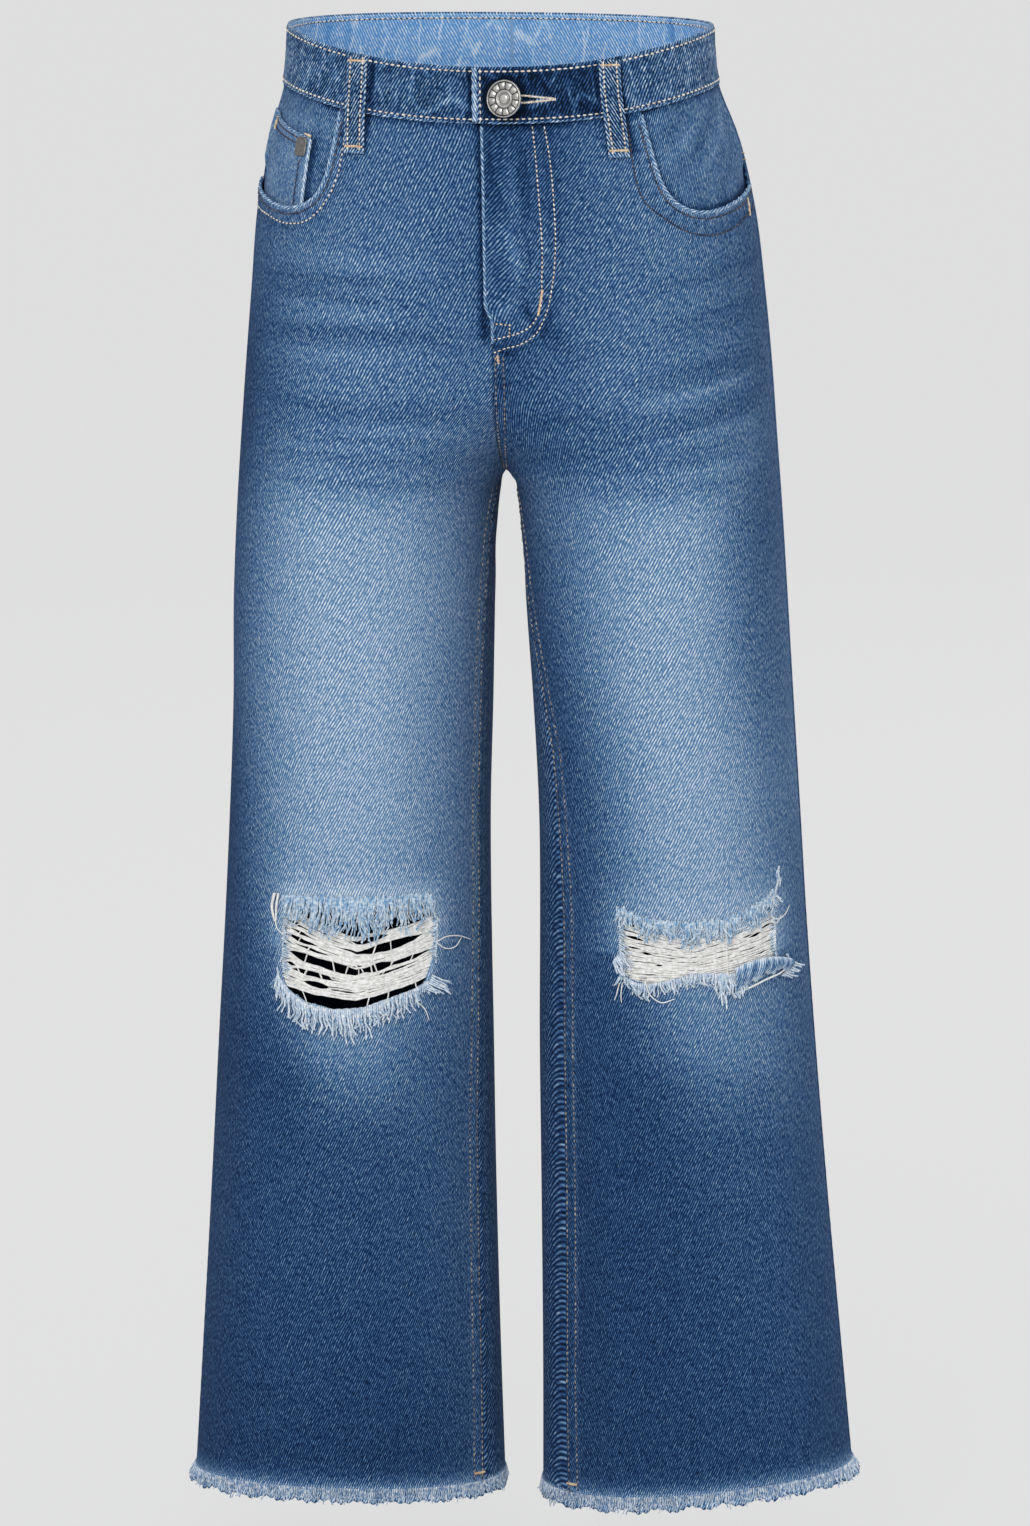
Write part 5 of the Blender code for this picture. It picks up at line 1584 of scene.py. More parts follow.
def plain_material(name, code, other, scale, roughness=0.9, metallic=0.0, bump=0.0, sheen=0.0):
    """Two colours mixed by a noise of a given size in metres, with an optional bump."""
    material = new_material(name)
    tree = material.node_tree
    spot = add_node(tree, "ShaderNodeTexCoord", out="Object")
    cloud = add_node(tree, "ShaderNodeTexNoise", {"Vector": spot, "Scale": 1 / scale,
                                                  "Detail": 2.0}, out="Fac")
    spread = add_node(tree, "ShaderNodeMapRange", {"Value": cloud, "From Min": 0.35,
                                                   "From Max": 0.65})
    mixed = ramp_colour(tree, spread, ((0, code), (1, other)))
    inputs = {"Base Color": mixed, "Roughness": roughness, "Metallic": metallic,
              "Sheen Weight": sheen}
    if bump:
        inputs["Normal"] = add_node(tree, "ShaderNodeBump", {"Height": cloud, "Strength": 0.6,
                                                             "Distance": bump})
    shader = add_node(tree, "ShaderNodeBsdfPrincipled", inputs)
    add_node(tree, "ShaderNodeOutputMaterial", {"Surface": shader})
    return material


GOLD_THREAD = plain_material("faded_gold_topstitch", "#C9A47C", "#EFDCC0", 2.5 * MM)
CREAM_THREAD = plain_material("faded_cream_topstitch", "#DDCDB8", "#FAF3E8", 2.5 * MM)
BROWN_THREAD = plain_material("dark_brown_thread", "#161E2E", "#6E5F58", 3 * MM)
TAN_THREAD = plain_material("faded_tan_thread", "#3F4A5E", "#B5A898", 5 * MM)
# the cord under the stitch rows is dark as a painted shadow of their groove and holes
STITCH_SHADOW = plain_material("painted_stitch_shadow", "#12233D", "#2B4568", 3 * MM)
WHITE_COTTON = plain_material("undyed_weft_cotton", "#E3E1DC", "#FDFCF9", 2 * MM, sheen=0.1)
BLUE_COTTON = plain_material("washed_warp_cotton", "#6FA3CE", "#E4F0F7", 1.7 * MM, sheen=0.1)
HEM_COTTON = plain_material("hem_warp_cotton", "#7299C4", "#F0F6FB", 1.8 * MM, sheen=0.1)
PALE_COTTON = plain_material("pale_warp_cotton", "#B3CAE0", "#F6FAFD", 1.5 * MM, sheen=0.1)

# %% The stitch tree


def new_tree(name, output, inputs):
    """A Geometry Nodes tree with named inputs and one output, and what its inputs give."""
    tree = bpy.data.node_groups.new(name, "GeometryNodeTree")
    for label, kind, value in inputs:
        socket = tree.interface.new_socket(label, in_out="INPUT", socket_type="NodeSocket" + kind)
        if value is not None:
            socket.default_value = value
    tree.interface.new_socket(output, in_out="OUTPUT", socket_type="NodeSocketGeometry")
    return tree, tree.nodes.new("NodeGroupInput").outputs


def named_value(tree, name, kind="FLOAT_VECTOR"):
    """A value that the path's points carry."""
    return add_node(tree, "GeometryNodeInputNamedAttribute", {"Name": name}, out="Attribute",
                    data_type=kind)


def random_vector(tree, low, high, seed):
    """Three numbers for each point, drawn between two triples."""
    return add_node(tree, "FunctionNodeRandomValue", {0: low, 1: high, "Seed": seed},
                    data_type="FLOAT_VECTOR")


def vector_maths(tree, operation, *values):
    """A vector maths node between values or links."""
    return add_node(tree, "ShaderNodeVectorMath", dict(enumerate(values)), operation=operation)


def build_stitch_tree():
    """One rounded stitch for each step of a path, over a dark cord that paints the groove's shadow.
    """
    tree, given = new_tree("stitch_row", "Row", (
        ("Path", "Geometry", None), ("Pitch", "Float", 3 * MM),
        ("Stitch length", "Float", 2.3 * MM), ("Thread radius", "Float", 0.4 * MM),
        ("Groove radius", "Float", 0.4 * MM), ("Seed", "Int", 3), ("Thread", "Material", None),
        ("Hole", "Material", None)))
    line = add_node(tree, "GeometryNodeMeshToCurve", {"Mesh": given["Path"]})
    steps = add_node(tree, "GeometryNodeResampleCurve", {"Curve": line, "Length": given["Pitch"]},
                     mode="LENGTH")
    lay = named_value(tree, "lay")
    along = add_node(tree, "GeometryNodeInputTangent")
    turn = add_node(tree, "FunctionNodeAxesToRotation", {0: lay, 1: along}, primary_axis="Z",
                    secondary_axis="X")
    ball = add_node(tree, "GeometryNodeMeshUVSphere", {"Segments": 6, "Rings": 4, "Radius": 1.0})
    soft = add_node(tree, "GeometryNodeSetShadeSmooth", {"Geometry": ball})
    worn = random_vector(tree, (0.8, 0.75, 0.7), (1.12, 1.2, 1.15), given["Seed"])
    half = add_node(tree, "ShaderNodeMath", {0: given["Stitch length"], 1: 0.5},
                    operation="MULTIPLY")
    size = add_node(tree, "ShaderNodeCombineXYZ", {0: half, 1: given["Thread radius"],
                                                   2: given["Thread radius"]})
    stitches = add_node(tree, "GeometryNodeInstanceOnPoints", {
        "Points": steps, "Instance": soft, "Rotation": turn,
        "Scale": vector_maths(tree, "MULTIPLY", size, worn)})
    stitches = add_node(tree, "GeometryNodeRealizeInstances", {"Geometry": stitches})
    stitches = add_node(tree, "GeometryNodeSetMaterial", {"Geometry": stitches,
                                                          "Material": given["Thread"]})
    ring = add_node(tree, "GeometryNodeCurvePrimitiveCircle", {"Resolution": 5,
                                                               "Radius": given["Groove radius"]})
    deeper = vector_maths(tree, "MULTIPLY", lay, (-0.36 * MM,) * 3)
    sunk = add_node(tree, "GeometryNodeSetPosition", {"Geometry": line, "Offset": deeper})
    groove = add_node(tree, "GeometryNodeCurveToMesh", {"Curve": sunk, "Profile Curve": ring})
    groove = add_node(tree, "GeometryNodeSetMaterial", {"Geometry": groove,
                                                        "Material": given["Hole"]})
    joined = add_node(tree, "GeometryNodeJoinGeometry", {0: stitches})
    tree.links.new(groove, joined.node.inputs[0])
    add_node(tree, "NodeGroupOutput", {0: joined})
    return tree


STITCH_TREE = build_stitch_tree()


def grow(name, tree, points, edges, vectors, values, settings):
    """Runs a Geometry Nodes tree on a path and keeps what it makes as a plain mesh."""
    path = bpy.data.meshes.new(name + "_path")
    path.from_pydata(np.asarray(points).tolist(), edges, [])
    for label, data in vectors.items():
        path.attributes.new(label, "FLOAT_VECTOR", "POINT").data.foreach_set(
            "vector", np.asarray(data, float).reshape(-1))
    for label, data in values.items():
        path.attributes.new(label, "FLOAT", "POINT").data.foreach_set(
            "value", np.asarray(data, float).reshape(-1))
    maker = new_piece(name, path)
    modifier = maker.modifiers.new("Grow", "NODES")
    modifier.node_group = tree
    for item in tree.interface.items_tree:
        if item.item_type == "SOCKET" and item.in_out == "INPUT" and item.name in settings:
            modifier[item.identifier] = settings[item.name]
    graph = bpy.context.evaluated_depsgraph_get()
    mesh = bpy.data.meshes.new_from_object(maker.evaluated_get(graph))
    maker.modifiers.clear()
    maker.data = mesh
    mesh.name = name
    bpy.data.meshes.remove(path)
    return maker


class Rows:
    """Collects the paths of several stitch rows, to be grown together as one piece."""

    def __init__(self):
        """Starts with no row."""
        self.points, self.normals, self.edges = [], [], []

    def add(self, points, normals):
        """A path at points, raised so that the thread lies half in the cloth."""
        start = len(self.points)
        self.points += (points + normals * 0.12 * MM).tolist()
        self.normals += normals.tolist()
        self.edges += [(start + k, start + k + 1) for k in range(len(points) - 1)]

    def lay(self, share, height, back, side, lift):
        """A path at places on the form."""
        self.add(*place(share, height, back, side, lift, True))

    def grow(self, name, slot, thread, pitch=3.2, length=2.5, radius=0.52, groove=0.50,
             hole=None):
        """Makes the rows as one piece. Sizes are in mm."""
        rows = grow(name, STITCH_TREE, self.points, self.edges, {"lay": self.normals}, {}, {
            "Pitch": pitch * MM, "Stitch length": length * MM, "Thread radius": radius * MM,
            "Groove radius": groove * MM, "Thread": thread, "Hole": hole or STITCH_SHADOW})
        finish_piece(rows, slot)
        print(name, len(rows.data.polygons), "faces")
        return rows


def front_row(rows, line, side, offset=0.0):
    """A stitch row on a front panel along a table of shares and millimetres."""
    path = line_of(line) if not isinstance(line, np.ndarray) else line
    if offset:
        path = beside(path, offset)
    share, height = path[:, 0], path[:, 1]
    rows.lay(lapped(share, height, side), height, False, side, front_lift(share, height, side))


def beside(path, offset):
    """A path moved sideways, in metres, to the left of its direction."""
    flat = path * (FRONT_SPAN, 1)
    along = np.gradient(flat, axis=0)
    along /= np.linalg.norm(along, axis=1, keepdims=True)
    flat = flat + np.stack((-along[:, 1], along[:, 0]), -1) * offset
    return flat / (FRONT_SPAN, 1)


# %% Stitch rows of the front
for (word, side), thread in zip(SIDES.items(), (CREAM_THREAD, BROWN_THREAD)):
    outer_rows, inner_rows = Rows(), Rows()
    front_row(outer_rows, MOUTH_OUTER[side], side)
    outer_rows.grow("pocket_mouth_stitches_" + word, "leg_denim", thread, pitch=2.9, length=2.2)
    front_row(inner_rows, MOUTH_LINE[MOUTH_LINE[:, 1] < -33 * MM], side, offset=3.3 * MM)
    inner_rows.grow("pocket_mouth_inner_stitches_" + word, "leg_denim", BROWN_THREAD, pitch=2.9,
                    length=2.2)

fly_rows = Rows()
front_row(fly_rows, FLY_OUTER, 1)
front_row(fly_rows, FLY_INNER, 1)
fly_rows.grow("fly_stitches", "leg_denim", CREAM_THREAD, pitch=2.6, length=2.0, radius=0.46)
foot_rows = Rows()
front_row(foot_rows, ((0.997, -139), (0.948, -140)), 1)
front_row(foot_rows, ((0.948, -140), (0.950, -146)), 1)
foot_rows.grow("fly_foot_stitches", "leg_denim", GOLD_THREAD, pitch=2.0, length=1.6)


def leg_row(rows, from_inner, top, bottom, side, back=False):
    """A row beside the inseam, below the crotch, a fixed distance from it."""
    height = np.arange(bottom, top, 2 * MM)
    share = 1 - from_inner / panel_length(height, back, side)
    lift = (back_lift if back else front_lift)(share, height, side)
    rows.lay(share, height, back, side, lift)


centre_rows = Rows()
for offset in (1.6 * MM, 6.0 * MM):
    height = np.arange(-226.5, -158) * MM
    share = 1 - offset / panel_length(height, False, 1)
    centre_rows.lay(share, height, False, 1, front_lift(share, height, 1))
for side in (-1, 1):
    for offset in (1.5 * MM, 7.4 * MM):
        leg_row(centre_rows, offset, -238 * MM, float(hem(1.0, side)), side)
centre_rows.grow("inseam_stitches", "leg_denim", TAN_THREAD, radius=0.46)


# %% Stitch rows of the back
back_rows = Rows()
for side in (-1, 1):
    for below in (-1.6 * MM, -5.2 * MM):
        column = np.linspace(0.004, 0.996, 120)
        height = yoke_seam(column) + below
        back_rows.lay(column, height, True, side, back_lift(column, height, side))
    for inset in (2.2 * MM, 8.2 * MM):
        left, low = inset / BACK_POCKET_WIDTH, 1 - inset / (BACK_POCKET_HEIGHT - 2 * MM)
        corner = np.array(((left, 0), (left, low), (0.5, low), (1 - left, low), (1 - left, 0)))
        run = run_along(corner)
        even = np.linspace(0.01, run[-1] - 0.01, 160)
        column, row = (np.interp(even, run, corner[:, k]) for k in (0, 1))
        back_rows.lay(*back_pocket_spot(column, row), True, side, back_pocket_lift(column, row))
rise = np.arange(-222 * MM, -80 * MM, 1 * MM)
for offset in (1.6 * MM, 6.0 * MM):
    share = 1 - offset / panel_length(rise, True, 1)
    back_rows.lay(share, rise, True, 1, back_lift(share, rise, 1))
back_rows.grow("back_stitches", "leg_denim", GOLD_THREAD)

# %% Stitch rows of the waistband
TAB_ROW = 3.4 * MM
band_rows = Rows()
for back, side, shares in band_route():
    for row in (0.085, 0.925):
        keep = shares[shares < 1 + TAB_ROW / CENTRE_LENGTH] if side > 0 else shares
        if side < 0 and not back:
            keep = keep[keep < 1 - TAB_REACH / CENTRE_LENGTH - 0.01]
        band_rows.lay(keep, band_spot(keep, back, side, row), back, side,
                      band_lift(keep, back, side, row))
row = np.linspace(0.085, 0.925, 40)
end_share = np.full(40, 1 + TAB_ROW / CENTRE_LENGTH)
band_rows.lay(end_share, band_spot(end_share, False, 1, row), False, 1,
              band_lift(end_share, False, 1, row))
band_rows.grow("waistband_stitches", "waistband_denim", CREAM_THREAD, pitch=3.3, length=2.5,
               radius=0.56)

inner_rows = Rows()
for back, side, start, end in ((True, -1, 0.0, 1.0), (True, 1, 1.0, 0.0)):
    share = np.linspace(start, end, 120)
    height = band_spot(share, back, side, 0.10)
    points, normals = place(share, height, back, side, BAND_PROUD - BAND_THICKNESS, True)
    inner_rows.add(points, -normals)
inner_rows.grow("waistband_inner_stitches", "waistband_denim", CREAM_THREAD, pitch=3.0)

# %% Stitch rows of the loops and the coin pocket
loop_rows = Rows()
for loop in LOOPS:
    for across in (-0.62, 0.62):
        row = np.linspace(0.03, 0.95, 60)
        loop_rows.add(*loop_place(loop, across, row))
loop_rows.grow("belt_loop_stitches", "loop_denim", CREAM_THREAD, pitch=2.5, length=2.2)

coin_rows = Rows()
for inset in (2.2 * MM, 5.4 * MM):
    share, height = coin_spot(np.linspace(0.12, 0.83, 40), np.full(40, inset / COIN_HEIGHT))
    coin_rows.lay(share, height, False, -1, coin_lift(share, height) + 0.25 * MM)
share, height = coin_spot(np.full(40, 0.89), np.linspace(0.26, 0.9, 40))
coin_rows.lay(share, height, False, -1, coin_lift(share, height) + 0.1 * MM)
coin_rows.grow("coin_pocket_stitches", "pocket_denim", BROWN_THREAD, radius=0.42)

# %% [markdown]
# ### Bar tacks and the buttonhole
# Where a seam takes a strain, the machine sews a bar tack: a short dense zigzag that reads as a
# solid little bar. The buttonhole is edged the same way, with two rows of close stitches that
# meet at its inner end.

# %% Bar tacks and buttonhole


def short_path(start, end, count=24):
    """Shares and heights from one place to another, given in shares and millimetres."""
    return np.linspace(start, end, count).T * ((1,), (MM,))


tacks = Rows()
for loop in LOOPS:
    for at in (0.055, 0.93):
        tacks.add(*loop_place(loop, np.linspace(-0.85, 0.85, 16), np.full(16, at), 0.1 * MM))
for side, start, end in ((1, (0.096, -77), (0.096, -86)), (1, (0.850, -121), (0.864, -134)),
                         (1, (0.985, -157), (0.982, -161)),
                         (1, (0.9985, -795), (0.966, -795)), (-1, (0.9985, -792), (0.966, -792))):
    share, height = short_path(start, end)
    tacks.lay(share, height, False, side, front_lift(share, height, side) + 0.1 * MM)
for start, end in (((0.10, -34.5), (0.10, -41)), ((0.34, -40.5), (0.365, -41.5))):
    share, height = short_path(start, end)
    tacks.lay(share, height, False, -1, coin_lift(share, height) + 0.4 * MM)
tacks.grow("bar_tacks", "leg_denim", GOLD_THREAD, pitch=0.75, length=1.1, radius=0.85, groove=0.5)

hole_rows = Rows()
for above in (-1, 1):
    share = np.linspace(BUTTON_SHARE - 3.5 * MM / CENTRE_LENGTH, BUTTONHOLE_END - 0.01, 40)
    gap = np.interp(share, (BUTTONHOLE_END - 0.01, BUTTONHOLE_END + 0.09), (0.2, 1.9))
    height = BUTTON_HEIGHT + 0.1 * MM + above * gap * MM
    hole_rows.lay(share, height, False, 1, BAND_PROUD + band_shift(False, 1, share) + 0.25 * MM)
hole_rows.grow("buttonhole_stitches", "waistband_denim", CREAM_THREAD, pitch=0.8, length=1.0,
               radius=0.75, groove=0.4)

# %% [markdown]
# ## Frayed edges
# Denim frays because the threads across a cut edge fall out, and the threads along it are left
# standing as a fringe. So a fringe is hundreds of single warp ends, side by side, of uneven
# length, and washing gathers them in small tufts. One Geometry Nodes tree grows them: it sets a
# thread at every small step of an edge, bends the threads with a noise that neighbours share, and
# sweeps a thin tapering tube along each.

# %% The fringe tree


def build_fringe_tree():
    """One thread for each small step of an edge, bent with its neighbours and tapering."""
    tree, given = new_tree("fringe", "Fringe", (
        ("Edge", "Geometry", None), ("Spacing", "Float", 0.4 * MM),
        ("Thread radius", "Float", 0.25 * MM), ("Shortest", "Float", 0.4),
        ("Gather", "Float", 2 * MM), ("Gather size", "Float", 4 * MM), ("Stray", "Float", 1 * MM),
        ("Seed", "Int", 1), ("Thread", "Material", None)))

    def maths(operation, *values):
        """A maths node between values or links."""
        return add_node(tree, "ShaderNodeMath", dict(enumerate(values)), operation=operation)

    def scaled(vector, factor):
        """A vector times a number."""
        return add_node(tree, "ShaderNodeVectorMath", {0: vector, "Scale": factor},
                        operation="SCALE")

    line = add_node(tree, "GeometryNodeMeshToCurve", {"Mesh": given["Edge"]})
    steps = add_node(tree, "GeometryNodeResampleCurve", {"Curve": line,
                                                         "Length": given["Spacing"]},
                     mode="LENGTH")
    lay, fall = named_value(tree, "lay"), named_value(tree, "fall")
    reach = named_value(tree, "reach", "FLOAT")
    stray = random_vector(tree, (-1, -1, -1), (1, 1, 1), given["Seed"])
    marked = add_node(tree, "GeometryNodeStoreNamedAttribute", {
        "Geometry": steps, "Name": "stray", "Value": stray}, data_type="FLOAT_VECTOR")
    uneven = add_node(tree, "FunctionNodeRandomValue", {
        2: given["Shortest"], 3: 1.0, "Seed": given["Seed"]}, out=1)
    spot = add_node(tree, "GeometryNodeInputPosition")
    per_size = maths("DIVIDE", 1.0, given["Gather size"])
    tuft = add_node(tree, "ShaderNodeTexNoise", {"Vector": spot, "Scale": per_size,
                                                 "Detail": 1.0}, out="Fac")
    tuft_size = add_node(tree, "ShaderNodeMapRange", {"Value": tuft, "From Min": 0.3,
                                                      "From Max": 0.7, "To Min": 0.55,
                                                      "To Max": 1.1})
    length = maths("MULTIPLY", maths("MULTIPLY", reach, uneven), tuft_size)
    size = add_node(tree, "ShaderNodeCombineXYZ", {0: length, 1: 1.0, 2: 1.0})
    turn = add_node(tree, "FunctionNodeAxesToRotation", {0: fall, 1: lay}, primary_axis="X",
                    secondary_axis="Z")
    stick = add_node(tree, "GeometryNodeCurvePrimitiveLine", {"Start": (0, 0, 0),
                                                              "End": (1, 0, 0)})
    stick = add_node(tree, "GeometryNodeResampleCurve", {"Curve": stick, "Count": 5},
                     mode="COUNT")
    threads = add_node(tree, "GeometryNodeInstanceOnPoints", {
        "Points": marked, "Instance": stick, "Rotation": turn, "Scale": size})
    threads = add_node(tree, "GeometryNodeRealizeInstances", {"Geometry": threads})
    along = add_node(tree, "GeometryNodeSplineParameter", out="Factor")
    freed = maths("POWER", along, 1.4)
    gather = add_node(tree, "ShaderNodeTexNoise", {"Vector": spot, "Scale": per_size,
                                                   "Detail": 2.0}, out="Color")
    gather = vector_maths(tree, "SUBTRACT", gather, (0.5, 0.5, 0.5))
    gather = vector_maths(tree, "MULTIPLY", gather, (3.0, 1.5, 1.0))
    own = vector_maths(tree, "MULTIPLY", named_value(tree, "stray"), (1.0, 0.6, 0.5))
    offset = vector_maths(tree, "ADD", scaled(gather, maths("MULTIPLY", given["Gather"], freed)),
                          scaled(own, maths("MULTIPLY", given["Stray"], freed)))
    threads = add_node(tree, "GeometryNodeSetPosition", {"Geometry": threads, "Offset": offset})
    taper = maths("SUBTRACT", 1.0, maths("MULTIPLY", along, 0.28))
    threads = add_node(tree, "GeometryNodeSetCurveRadius", {"Curve": threads, "Radius": taper})
    ring = add_node(tree, "GeometryNodeCurvePrimitiveCircle", {
        "Resolution": 3, "Radius": given["Thread radius"]})
    swept = add_node(tree, "GeometryNodeCurveToMesh", {"Curve": threads, "Profile Curve": ring})
    if "Scale" in swept.node.inputs:
        tree.links.new(taper, swept.node.inputs["Scale"])
    whole = add_node(tree, "GeometryNodeSetShadeSmooth", {"Geometry": swept})
    whole = add_node(tree, "GeometryNodeRealizeInstances", {"Geometry": whole})
    whole = add_node(tree, "GeometryNodeSetMaterial", {"Geometry": whole,
                                                       "Material": given["Thread"]})
    add_node(tree, "NodeGroupOutput", {0: whole})
    return tree


FRINGE_TREE = build_fringe_tree()


def grow_fringe(name, points, normals, fall, reach, thread, closed=False, node=None, **sizes):
    """Grows a fringe from an edge. Fall gives the threads' directions, reach their lengths."""
    count = len(points)
    edges = [(k, k + 1) for k in range(count - 1)] + ([(count - 1, 0)] if closed else [])
    settings = {"Thread": thread}
    settings.update({key.replace("_", " ").capitalize(): value for key, value in sizes.items()})
    fall = fall / np.linalg.norm(fall, axis=-1, keepdims=True)
    made = grow(name, FRINGE_TREE, points, edges, {"lay": normals, "fall": fall},
                {"reach": np.broadcast_to(reach, (count,))}, settings)
    finish_piece(made, "frayed_denim", *([node] if node else []))
    print(name, len(made.data.polygons), "faces")
    return made


# %% Hem fringes
HALF_HEM = 235 * MM         # about half the way round a hem


def flare(share):
    """How far the fringe turns outwards: most beside the side seam, where the cloth is stiff."""
    return bell(share, 0.09) + 0.35 * bell(1 - share, 0.06)


def round_hem(count):
    """Shares round a hem: the front from side seam to inseam, then the back, without its ends."""
    return (False, np.linspace(0, 1, count)), (True, np.linspace(1, 0, count)[1:-1])


def hem_line(side, drop, lift):
    """Points round a hem, with their normals and how far the fringe turns outwards there."""
    ring = []
    for back, shares in round_hem(160):
        height = hem(shares, side) - drop
        ring.append(place(shares, height, back, side, lift, with_normal=True) + (flare(shares),))
    return [np.concatenate([part[k] for part in ring]) for k in (0, 1, 2)]


def make_hem_base(name, side):
    """The thick root of a hem's fringe: a short band with a ragged lower edge."""
    parts = []
    rows = np.linspace(0, 1, 7)
    for back, shares in round_hem(420):
        run = (shares if not back else 2 - shares) * HALF_HEM
        ragged = (7.4 + 1.4 * uneven_wave(run, 23 * MM, 101 + side)
                  + 0.8 * uneven_wave(run, 5.3 * MM, 103 + side)) * MM
        share, row = np.meshgrid(shares, rows)
        height = hem(share, side) + 1.6 * MM - (ragged + 1.7 * MM) * row
        lift = 0.3 * MM + (0.8 + 2.8 * flare(share)) * MM * row ** 2
        lift = lift + 0.25 * MM * uneven_wave(run, 3.1 * MM, 107) * row
        points, normals = place(share, height, back, side, lift, True)
        cloth = np.stack((run * np.ones_like(row) * (side if back else -side), height), -1)
        fade = 0.62 + 0.50 * row + 0.50 * row * uneven_wave(run, 3.1 * MM, 109)
        fade = fade + 0.25 * row * uneven_wave(run, 11 * MM, 110)
        fade = fade - 0.55 * smooth((row - 0.86) / 0.1)
        parts.append((points, normals, cloth, fade))
    points, normals, cloth, fade = (np.concatenate([part[k] for part in parts], axis=1)
                                    for k in range(4))
    piece = make_shell(name, points, normals, cloth, fade, 0.9 * MM, (LEG_DENIM,), closed=True)
    finish_piece(piece, "frayed_denim")
    return piece


for word, side in SIDES.items():
    node = "hem_fringe_" + word
    make_hem_base(node + "_root", side)
    layers = (("outer", -0.4, 10.2, 0.50, 1, HEM_COTTON), ("inner", 0.0, 8.8, -0.9, 3, BLUE_COTTON))
    for layer, drop, reach, lift, seed, thread in layers:
        points, normals, outwards = hem_line(side, drop * MM, lift * MM)
        fall = normals * (0.12 + 0.32 * outwards[:, None]) + np.array((0, 0, -1.0))
        grow_fringe(f"{node}_{layer}_threads", points, normals, fall, reach * MM, thread,
                    closed=True, node=node if layer == "outer" else None, spacing=1.0 * MM,
                    thread_radius=0.46 * MM, shortest=0.72, gather=2.8 * MM,
                    gather_size=4.5 * MM, stray=0.7 * MM, seed=seed)

# %% [markdown]
# ## The torn knees
# A torn knee loses its blue warp and keeps its white weft: the threads across the leg. They hang
# slack between the hole's two sides, pushed together in bundles that leave dark slits. Each
# thread here is a thin tube of its own. A short list of slits pushes the threads above each slit
# up and those below it down.

# %% Weft threads
# ends of a knee's web in shares, heights at the outer end and at the inner end, from top to
# bottom in mm, and the sag of the top and the bottom thread, with the share it is deepest at
WEBS = {
    -1: (0.380, 0.828, (-465.5, -509.5), (-470.5, -503.5), (15.0, 10.5), 0.60),
    1: (0.262, 0.800, (-468.5, -496.0), (-471.0, -505.5), (11.0, 3.5), 0.56),
}
# the slits, pressed open between bundles: share of the middle, how far down the web it is from
# 0 to 1, half its width in shares, half its opening in mm
SLITS = {
    -1: ((0.636, 0.07, 0.055, 2.4), (0.690, 0.25, 0.100, 3.6), (0.545, 0.55, 0.110, 3.2),
         (0.455, 0.54, 0.045, 2.6), (0.660, 0.55, 0.040, 3.2), (0.735, 0.57, 0.080, 2.0),
         (0.415, 0.13, 0.030, 1.3), (0.445, 0.33, 0.055, 1.6), (0.485, 0.75, 0.080, 1.7),
         (0.700, 0.68, 0.060, 1.3),
         (0.444, 0.23, 0.035, 1.1), (0.478, 0.40, 0.060, 1.2), (0.494, 0.88, 0.040, 2.0),
         (0.560, 0.90, 0.060, 0.8), (0.510, 0.72, 0.080, 0.8), (0.590, 0.22, 0.030, 1.0),
         (0.418, 0.70, 0.015, 1.4), (0.725, 0.72, 0.050, 0.7), (0.440, 0.14, 0.040, 0.7),
         (0.600, 0.47, 0.025, 0.8), (0.620, 0.90, 0.060, 0.6), (0.760, 0.88, 0.050, 0.6),
         (0.410, 0.42, 0.020, 0.8), (0.660, 0.42, 0.050, 0.6)),
    1: ((0.735, 0.18, 0.030, 1.1), (0.740, 0.36, 0.035, 0.9), (0.700, 0.42, 0.018, 1.0),
        (0.345, 0.26, 0.030, 1.2), (0.300, 0.18, 0.030, 1.0), (0.375, 0.22, 0.025, 0.9),
        (0.600, 0.20, 0.030, 0.7), (0.500, 0.22, 0.040, 0.7), (0.660, 0.62, 0.015, 1.0),
        (0.560, 0.70, 0.030, 0.6), (0.320, 0.97, 0.060, 0.8), (0.280, 0.50, 0.060, 0.4),
        (0.310, 0.70, 0.070, 0.4), (0.450, 0.40, 0.040, 0.5), (0.620, 0.45, 0.020, 0.6)),
}


def tubes(name, spines, normals, radii, material, sides=4):
    """Thin tubes along spines: arrays of threads, points along each, and coordinates."""
    count, steps = spines.shape[:2]
    along = np.gradient(spines, axis=1)
    along /= np.linalg.norm(along, axis=2, keepdims=True)
    out = normals - (normals * along).sum(2, keepdims=True) * along
    out /= np.linalg.norm(out, axis=2, keepdims=True)
    across = np.cross(along, out)
    turn = np.arange(sides) * 2 * pi / sides
    ring = (out[:, :, None] * np.cos(turn)[None, None, :, None]
            + across[:, :, None] * np.sin(turn)[None, None, :, None])
    points = spines[:, :, None] + ring * radii[..., None, None]
    index = np.arange(count * steps * sides).reshape(count, steps, sides)
    after = np.roll(index, -1, axis=2)
    faces = np.stack((index[:, :-1], after[:, :-1], after[:, 1:], index[:, 1:]), -1)
    mesh = bpy.data.meshes.new(name)
    mesh.from_pydata(points.reshape(-1, 3).tolist(), [], faces.reshape(-1, 4).tolist())
    mesh.materials.append(material)
    mesh.shade_smooth()
    return new_piece(name, mesh)


